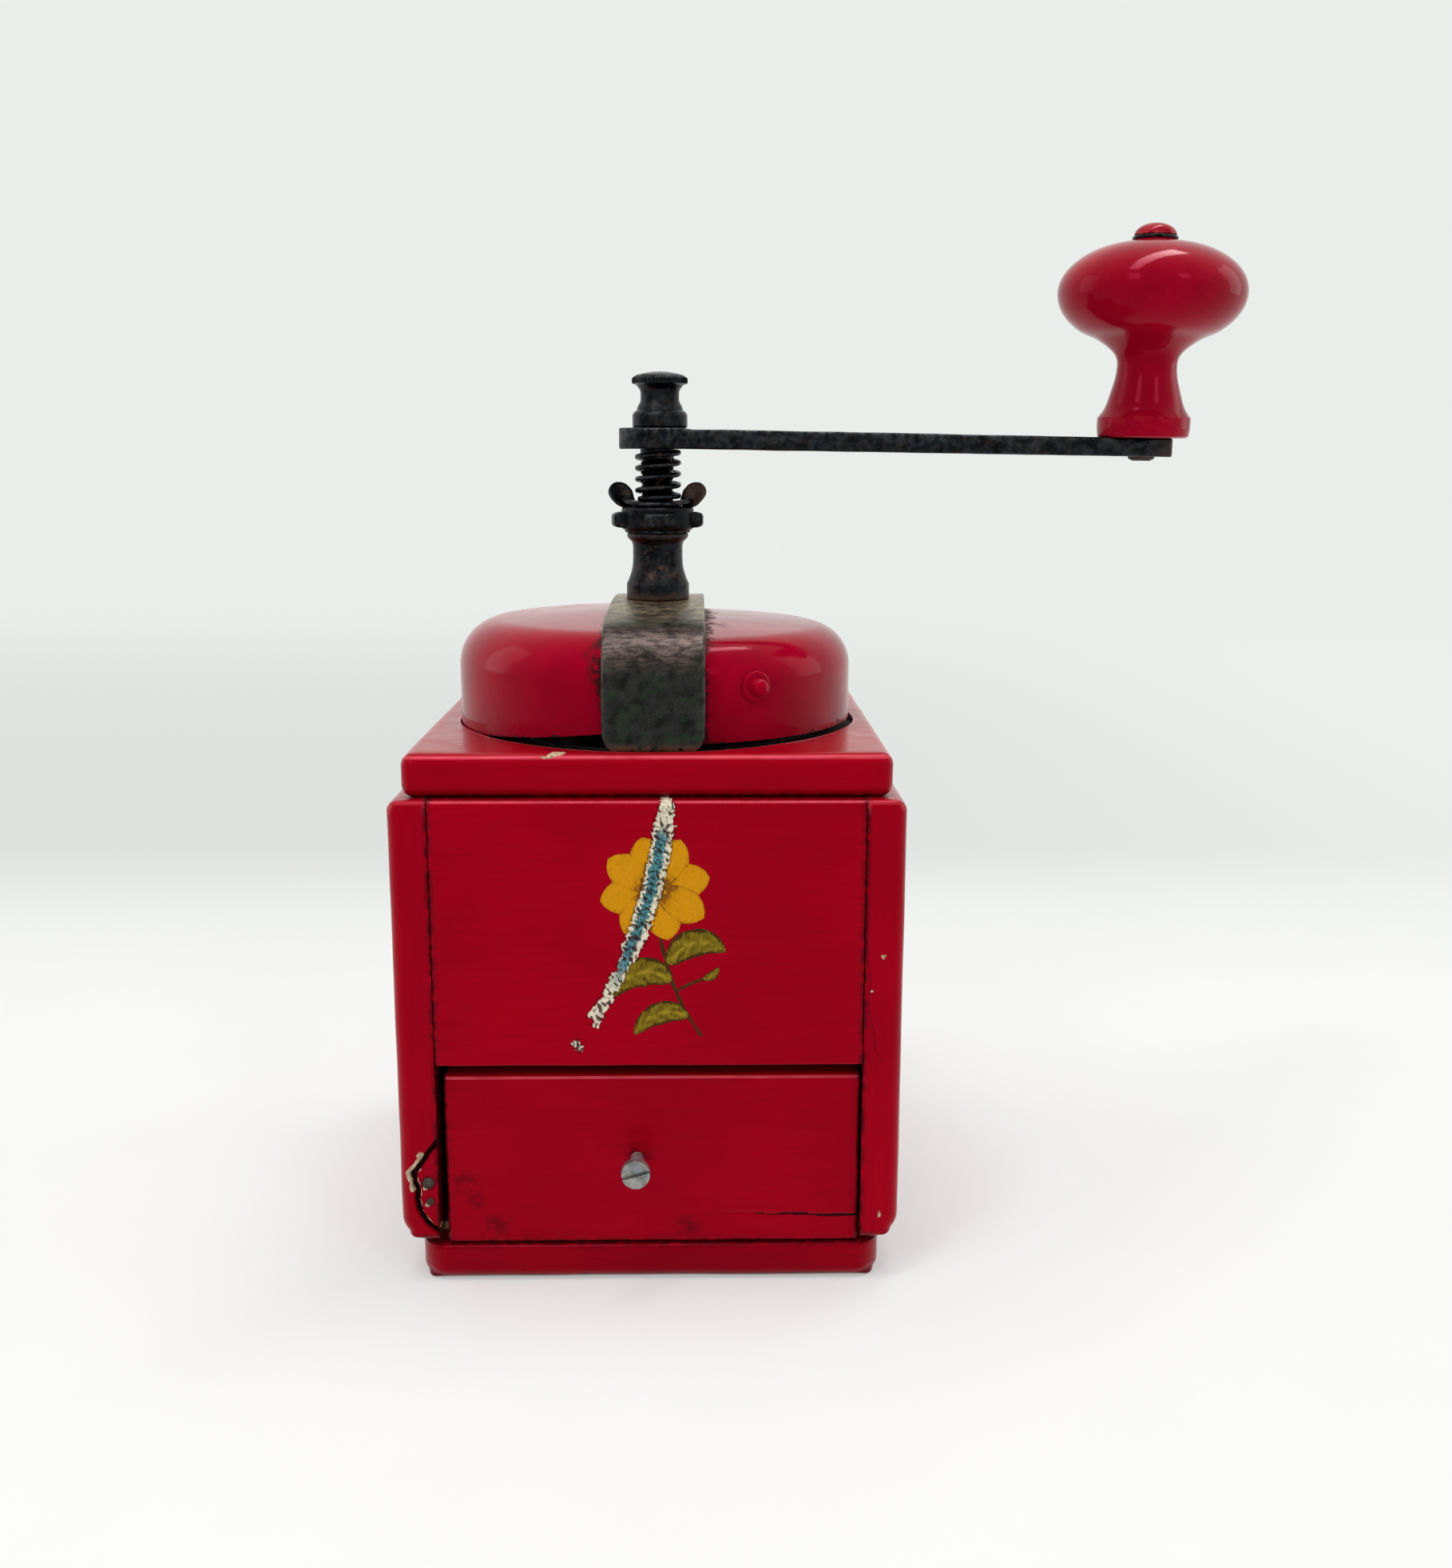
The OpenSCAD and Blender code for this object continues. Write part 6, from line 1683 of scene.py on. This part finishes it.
class GRINDER_OT_thumb_nut(bpy.types.Operator):
    """Thumb nut with a fine knurled rim"""
    bl_idname = "grinder.thumb_nut"
    bl_label = "Thumb nut"

    def execute(self, context):
        sizes = context.scene.grinder_head
        low, high = span("thumb_nut")
        tall = high.z - low.z
        collar, waist, rim, bore, bore_top = 7.3, 5.1, 7.4, 3.1, 11.0
        rim_low, rim_high = tall * 0.79, tall * 0.9
        line = [(0, bore_top), (bore, bore_top), (bore, 0.6), (collar - 0.35, 0.6), (collar, 0.95),
                (collar, tall * 0.26), (collar - 0.5, tall * 0.315)]
        line += smooth_line([(collar - 1.1, tall * 0.335), (waist + 0.75, tall * 0.41), (waist + 0.1, tall * 0.49),
                             (waist, tall * 0.58), (waist + 0.12, tall * 0.67), (waist + 0.75, tall * 0.735),
                             (rim - 1.0, tall * 0.772), (rim - 0.15, rim_low)], 4)
        line += [(rim, rim_low + 0.35), (rim, rim_high - 0.3), (rim - 0.35, rim_high)]
        line += [(rim * 0.85, tall * 0.935), (rim * 0.6, tall * 0.967), (rim * 0.3, tall * 0.99), (0, tall)]
        line = soften(line, 0.2)
        count, deep = sizes.knurl_count, sizes.knurl * MM

        def knurled(r, z, angle):
            band = ease(z, rim_low - 0.2, rim_low + 0.3) * (1 - ease(z, rim_high - 0.25, rim_high + 0.15))
            return r - band * deep * (0.5 - 0.5 * math.cos(angle * count)) if r > rim - 1 else r

        points, faces = turned(line, count * 6, knurled)
        for p in points:
            p.x += 0.8 * ease(math.hypot(p.x, p.y), bore + 0.1, bore + 1.2) if p.z < bore_top else 0.8
            p.z += low.z
        make("Thumb_nut", "crank_nut", (points, faces), finish("Thumb nut steel"), ("thumb_nut",),
             {"edge": spread_marks(worn(line), count * 6)})
        return {"FINISHED"}


class GRINDER_OT_knob(bpy.types.Operator):
    """Turned knob, its cap and washer, and the pin that it turns on"""
    bl_idname = "grinder.knob"
    bl_label = "Knob"

    def execute(self, context):
        sides = context.scene.grinder_crank.knob_sides
        place = knob_place()
        arm, gap, tall, wide_r, wide_z = 4.8, 0.3, 50.4, 24.4, 37.0
        neck, neck_z, foot, foot_h, bore, cap_r, cap_h = 7.9, 16.5, 12.15, 6.2, 2.6, 5.5, 3.3
        bulb_low, bulb_high = 14.0, tall - wide_z
        shape = [(foot - 0.5, foot_h * 0.90), (foot - 1.7, foot_h + 1.2),
                 ((foot + neck) / 2 - 0.6, (foot_h + neck_z) / 2 - 1), (neck, neck_z),
                 (neck + 0.5, (neck_z + wide_z - bulb_low) / 2 + 1.3)]
        for a in range(-60, 76, 15):
            turn = math.radians(a)
            shape.append((wide_r * math.cos(turn) ** 0.92,
                          wide_z + (bulb_low if a < 0 else bulb_high) * math.sin(turn)))
        line = [(bore, -0.27), (foot - 1.0, -0.27), (foot - 0.25, 0.2), (foot, foot_h * 0.40), (foot, foot_h * 0.80)]
        line = soften(line, 0.3) + smooth_line(shape, 6) + [(cap_r, tall), (bore, tall)]
        points, faces = turned(line + [line[0]], sides)
        edges = [0.12 * mark for mark in spread_marks(worn(line + [line[0]]), sides)]
        waver(points, 0.08, 20, 91)
        lifted = Matrix.Translation((0, 0, arm + gap))
        make("Knob", "knob", ([place @ lifted @ p for p in points], faces), finish("Knob enamel"),
             ("knob",), {"edge": edges})
        cap_z = tall + gap + arm
        line = soften([(2.6, cap_z), (cap_r + 0.35, cap_z), (cap_r + 0.4, cap_z + 0.45), (cap_r + 0.1, cap_z + 0.88),
                       (2.6, cap_z + 0.88), (2.6, cap_z)], 0.15)
        points, faces = turned(line, 48)
        make("Knob_washer", "spindle", ([place @ p for p in points], faces), finish("Washer steel"),
             ("knob_washer",), {"edge": spread_marks(worn(line), 48)})
        cap_low = cap_z + 0.95
        line = [(0, cap_low), (cap_r - 0.3, cap_low), (cap_r, cap_low + 0.25)]
        line += [(cap_r * math.cos(math.radians(a)), cap_low + cap_h * math.sin(math.radians(a)))
                 for a in range(12, 91, 6)]
        points, faces = turned(line, 48)
        make("Knob_cap", "spindle", ([place @ p for p in points], faces), finish("Knob enamel"),
             ("knob_cap",), {"edge": spread_marks(worn(line), 48)})
        dress("knob_pin", "Nail steel", 0.15)
        return {"FINISHED"}


# The painted flower on the front

def brushed(spine, half_widths, face_y, height, thick, deep_of, columns=10, drop=0.10):
    """A stroke of paint along a flat spine, as a thin closed skin on the front.

    deep_of(share, across) gives how dark it is. Returns shape and marks."""
    rings, marks = [], []
    rows = len(spine)
    for i, (x, z) in enumerate(spine):
        a, b = spine[max(i - 1, 0)], spine[min(i + 1, rows - 1)]
        way = Vector((b[0] - a[0], b[1] - a[1])).normalized()
        side = Vector((-way.y, way.x))
        wide = max(half_widths[i], 0.03)
        ring = []
        for k in range(columns + 1):
            c = 2 * k / columns - 1
            lift = height + thick * (1 - abs(c) ** 5)
            ring.append((x + side.x * wide * c, face_y - lift, z + side.y * wide * c))
            marks.append(deep_of(i / (rows - 1), c))
        for k in (columns, 0):
            c = 2 * k / columns - 1
            ring.append((x + side.x * wide * c, face_y + drop, z + side.y * wide * c))
            marks.append(deep_of(i / (rows - 1), c))
        rings.append(ring)
    points, faces = loft(rings)
    return (points, faces), marks


def picture_piece(name, strokes, paint):
    shape = joined(*[s for s, _ in strokes])
    deep = [v for _, marks in strokes for v in marks]
    runs, offs, gaps = zip(*[scrape_marks(p) for p in shape[0]])
    make(name, "case", shape, finish(paint), (),
         {"deep": deep, "scrape_u": runs, "scrape_v": offs, "scrape_gap": gaps}, crease=70)


def leaf_stroke(path, wide, face_y, height, seed):
    """A pointed leaf with a dark outline and a pale midrib."""
    spine = smooth_line(path, 9)
    n = len(spine) - 1
    widths = [wide * math.sin(math.pi * min(max((i / n) ** 0.85, 0), 1)) ** 0.75 * (1 + 0.10 * ripple((i, seed, 0), 3.1))
              for i in range(n + 1)]

    def deep(share, across):
        rib = 1 - ease(abs(across), 0.04, 0.20)
        rim = ease(abs(across), 0.66, 0.92)
        veins = 0.16 * math.sin(26 * share + 7 * abs(across))
        return min(max(0.50 + veins + 0.5 * rim - 0.5 * rib * (1 - share * 0.7), 0), 1)

    return brushed(spine, widths, face_y, height, 0.10, deep, 14)


class GRINDER_OT_picture(bpy.types.Operator):
    """Plain painted flower with stem, leaves and bud, on the front panel"""
    bl_idname = "grinder.picture"
    bl_label = "Painted flower"

    def execute(self, context):
        sizes = context.scene.grinder_picture
        reach, thick = sizes.bloom * MM, sizes.layer * MM
        face_y = span("front_panel")[0].y
        mid = (0.33, 103.1)
        green = []
        stem = smooth_line([(1.2, 92.5), (2.6, 86.0), (4.6, 79.0), (7.6, 72.0), (11.6, 65.6)], 8)
        green.append(brushed(stem, [0.42 + 0.12 * math.sin(i * 1.3) for i in range(len(stem))], face_y, 0.02, 0.08,
                             lambda s, c: 0.95, 4))
        twig = smooth_line([(5.2, 77.2), (8.6, 79.0), (12.2, 80.4)], 6)
        green.append(brushed(twig, [0.34] * len(twig), face_y, 0.03, 0.08, lambda s, c: 0.95, 4))
        green.append(leaf_stroke([(3.3, 84.2), (7.6, 88.6), (12.6, 89.6), (17.4, 87.4)], 3.6, face_y, 0.03, 2))
        green.append(leaf_stroke([(4.3, 80.0), (-1.0, 82.2), (-6.6, 80.6), (-11.6, 75.6)], 3.9, face_y, 0.03, 5))
        green.append(leaf_stroke([(8.3, 70.8), (3.4, 72.0), (-1.4, 70.2), (-5.0, 66.2)], 2.9, face_y, 0.03, 8))
        green.append(leaf_stroke([(12.0, 80.3), (14.2, 81.2), (15.8, 83.2)], 1.1, face_y, 0.05, 9))
        picture_piece("Painted_leaves", green, "Leaf paint")
        petals = []
        for k in range(8):
            turn = math.radians(45 * k + 14 + 4 * ripple((k, 0, 0), 1.7))
            long = reach * (1 + 0.06 * ripple((k, 5, 0), 1.3))
            bend = 0.10 * ripple((k, 9, 0), 1.9)
            spine = []
            for i in range(17):
                r = mix(1.8, long, i / 16)
                a = turn + bend * (i / 16) ** 2
                spine.append((mid[0] + r * math.cos(a), mid[1] + r * math.sin(a)))
            widths = [4.5 * math.sin(math.pi * min(mix(0.14, 1.0, (i / 16) ** 1.15), 1.0)) ** 0.62 for i in range(17)]

            def deep(share, across, k=k):
                base = 1 - ease(share, 0.05, 0.42)
                rim = 0.55 * ease(abs(across), 0.72, 0.98) + 0.45 * ease(share, 0.88, 1.0)
                lines = 0.16 * math.sin(across * 13 + k) * (1 - share)
                return min(max(0.18 + base * 0.75 + rim + lines, 0), 1)

            petals.append(brushed(spine, widths, face_y, 0.06 + 0.03 * (k % 2) + 0.004 * k, 0.07, deep, 12))
        picture_piece("Painted_petals", petals, "Petal paint")
        spots = []
        for r, n in ((0.0, 1), (1.35, 6), (2.55, 11)):
            for k in range(n):
                a = 2 * math.pi * k / n + r
                x, z = mid[0] + r * math.cos(a), mid[1] + r * math.sin(a)
                ring = [(x + 0.62 * math.cos(t), z + 0.62 * math.sin(t)) for t in
                        [2 * math.pi * i / 10 for i in range(10)]]
                spots.append((loft([[(px, face_y + 0.05, pz) for px, pz in ring],
                                    [(px, face_y - 0.20, pz) for px, pz in ring],
                                    [(mix(px, x, 0.5), face_y - 0.20 - thick, mix(pz, z, 0.5)) for px, pz in ring]]),
                              [1.0] * 20 + [0.45 + 0.3 * (k % 2)] * 10))
        picture_piece("Painted_flower_middle", spots, "Petal paint")
        return {"FINISHED"}


# The stage

def pale_rays(tree):
    """Share that is 1 for rays that see the surroundings: camera, glossy, glass."""
    rays = tree.nodes.new("ShaderNodeLightPath")
    total = rays.outputs["Is Camera Ray"]
    for kind in ("Is Glossy Ray", "Is Transmission Ray"):
        high = tree.nodes.new("ShaderNodeMath")
        high.operation = "MAXIMUM"
        tree.links.new(total, high.inputs[0])
        tree.links.new(rays.outputs[kind], high.inputs[1])
        total = high.outputs[0]
    return total


def lamp(name, place, target, size, strength, spread=180):
    """Soft rectangular lamp; strength is its brightness, where 1 is white."""
    light = bpy.data.lights.new(name, "AREA")
    light.shape = "RECTANGLE"
    light.size, light.size_y = size
    light.energy = strength * math.pi * size[0] * size[1]
    light.spread = math.radians(spread)
    piece = bpy.data.objects.new(name, light)
    bpy.context.scene.collection.objects.link(piece)
    piece.location = place
    piece.rotation_euler = (Vector(target) - Vector(place)).to_track_quat("-Z", "Y").to_euler()
    return piece


CAMERA = (
    (0.99984517, 0.00143263, -0.0175379, 0.010687),
    (-0.01747321, 0.1985241, -0.97994024, -0.438708),
    (0.0020778, 0.98009496, 0.1985184, 0.205088),
    (0.0, 0.0, 0.0, 1.0),
)
FOCAL_PIXELS = 2017.96
IMAGE_WIDTH = 1818


class GRINDER_OT_stage(bpy.types.Operator):
    """Floor, backdrop, lamps and camera"""
    bl_idname = "grinder.stage"
    bl_label = "Stage"

    def execute(self, context):
        look = context.scene.grinder_stage
        f = Finish("Floor")
        y = f.axis(1)
        radius = f.node("ShaderNodeVectorMath", {0: f.place}, operation="LENGTH").outputs["Value"]
        away = f.calc("MAXIMUM", f.step(y, 112.0, 421.0), f.step(radius, 600.0, 1200.0))
        paper = f.grain(30, 3, seed=101)
        near = f.blend(f.step(paper, 0.3, 0.7), shaded(look.floor, 0.855), shaded(look.floor, 0.865))
        material = f.close(near, 0.9, Specular_IOR_Level=0.1)
        tree = material.node_tree
        glow = tree.nodes.new("ShaderNodeEmission")
        # Painted light on the far floor: darker to the left, lighter to the right, and the backdrop colour further
        # back.
        far_tone = f.blend(f.step(f.axis(0), -100.0, 700.0), shaded(look.backdrop, 0.887), shaded(look.backdrop, 1.03))
        far_tone = f.blend(f.step(y, 600.0, 1900.0), far_tone, look.backdrop)
        tree.links.new(f.blend(away, look.floor, far_tone), glow.inputs["Color"])
        away = f.calc("MAXIMUM", away, look.floor_glow)
        both = tree.nodes.new("ShaderNodeMixShader")
        part = tree.nodes.new("ShaderNodeMath")
        part.operation = "MULTIPLY"
        tree.links.new(away, part.inputs[0])
        tree.links.new(pale_rays(tree), part.inputs[1])
        tree.links.new(part.outputs[0], both.inputs[0])
        tree.links.new(f.shader.outputs[0], both.inputs[1])
        tree.links.new(glow.outputs[0], both.inputs[2])
        out = next(n for n in tree.nodes if n.type == "OUTPUT_MATERIAL")
        tree.links.new(both.outputs[0], out.inputs["Surface"])
        rings = [[(r * math.cos(2 * math.pi * k / 96), r * math.sin(2 * math.pi * k / 96), -0.01)
                  for k in range(96)] for r in (8000, 3000, 1200, 500, 150, 20)]
        points, faces = loft(rings, caps=False)
        faces.append(tuple(range(len(points) - 96, len(points))))
        mesh = bpy.data.meshes.new("Floor")
        mesh.from_pydata([tuple(p / MM) for p in points], [], faces)
        mesh.materials.append(material)
        floor = bpy.data.objects.new("Floor", mesh)
        bpy.context.scene.collection.objects.link(floor)

        world = bpy.data.worlds.new("Studio")
        context.scene.world = world
        world.use_nodes = True
        tree = world.node_tree
        tree.nodes.clear()
        even, pale = tree.nodes.new("ShaderNodeBackground"), tree.nodes.new("ShaderNodeBackground")
        even.inputs["Color"].default_value = (1, 1, 1, 1)
        even.inputs["Strength"].default_value = look.daylight
        pale.inputs["Color"].default_value = rgba(look.backdrop)
        both = tree.nodes.new("ShaderNodeMixShader")
        tree.links.new(pale_rays(tree), both.inputs[0])
        tree.links.new(even.outputs[0], both.inputs[1])
        tree.links.new(pale.outputs[0], both.inputs[2])
        out = tree.nodes.new("ShaderNodeOutputWorld")
        tree.links.new(both.outputs[0], out.inputs["Surface"])

        middle = (0.0, 0.0, 0.12)
        lamp("Overhead_softbox", (0.05, -0.05, 1.25), middle, (1.3, 0.20), 10.8)
        lamp("Left_softbox", (-1.15, 0.25, 0.55), middle, (0.5, 0.9), 1.1)
        lamp("Right_softbox", (1.15, 0.20, 0.55), middle, (0.5, 0.9), 1.1)
        lamp("Front_window", (-0.62, -0.95, 0.95), middle, (0.30, 0.45), 5.0)
        lamp("Front_lamp", (0.55, -0.90, 0.80), middle, (0.22, 0.30), 5.0)

        camera = bpy.data.cameras.new("Camera")
        camera.sensor_fit = "HORIZONTAL"
        camera.sensor_width = 36.0
        camera.lens = FOCAL_PIXELS / IMAGE_WIDTH * camera.sensor_width
        camera.clip_start, camera.clip_end = 0.01, 50.0
        eye = bpy.data.objects.new("Camera", camera)
        eye.matrix_world = Matrix(CAMERA)
        bpy.context.scene.collection.objects.link(eye)
        context.scene.camera = eye
        context.scene.view_settings.view_transform = "Standard"
        return {"FINISHED"}


# The add-on

GROUPS = {
    "grinder_case": GrinderCase,
    "grinder_dome": GrinderDome,
    "grinder_head": GrinderHead,
    "grinder_crank": GrinderCrank,
    "grinder_picture": GrinderPicture,
    "grinder_colours": GrinderColours,
    "grinder_stage": GrinderStage,
}
WORK = (
    GRINDER_OT_side_boards, GRINDER_OT_panels, GRINDER_OT_base_board, GRINDER_OT_top_board,
    GRINDER_OT_inner_wood, GRINDER_OT_drawer, GRINDER_OT_dome, GRINDER_OT_strap, GRINDER_OT_neck,
    GRINDER_OT_nut, GRINDER_OT_wing_lock, GRINDER_OT_spring, GRINDER_OT_mill, GRINDER_OT_crank_arm,
    GRINDER_OT_thumb_nut, GRINDER_OT_knob, GRINDER_OT_picture, GRINDER_OT_stage,
)


class GRINDER_PT_bench(bpy.types.Panel):
    """Lists the grinder's sizes and the operators that make its pieces"""
    bl_idname = "GRINDER_PT_bench"
    bl_label = "Coffee grinder"
    bl_space_type = "VIEW_3D"
    bl_region_type = "UI"
    bl_category = "Grinder"

    def draw(self, context):
        for name, group in GROUPS.items():
            box = self.layout.box()
            box.label(text=group.__doc__.split(".")[0])
            for key in group.__annotations__:
                box.prop(getattr(context.scene, name), key)
        column = self.layout.column()
        for work in WORK:
            column.operator(work.bl_idname)


def register():
    for group in GROUPS.values():
        bpy.utils.register_class(group)
    for name, group in GROUPS.items():
        setattr(bpy.types.Scene, name, bpy.props.PointerProperty(type=group))
    for work in WORK:
        bpy.utils.register_class(work)
    bpy.utils.register_class(GRINDER_PT_bench)


def unregister():
    bpy.utils.unregister_class(GRINDER_PT_bench)
    for work in reversed(WORK):
        bpy.utils.unregister_class(work)
    for name, group in GROUPS.items():
        delattr(bpy.types.Scene, name)
        bpy.utils.unregister_class(group)


def main():
    register()
    for work in WORK:
        space, name = work.bl_idname.split(".")
        getattr(getattr(bpy.ops, space), name)()


if __name__ == "__main__":
    main()
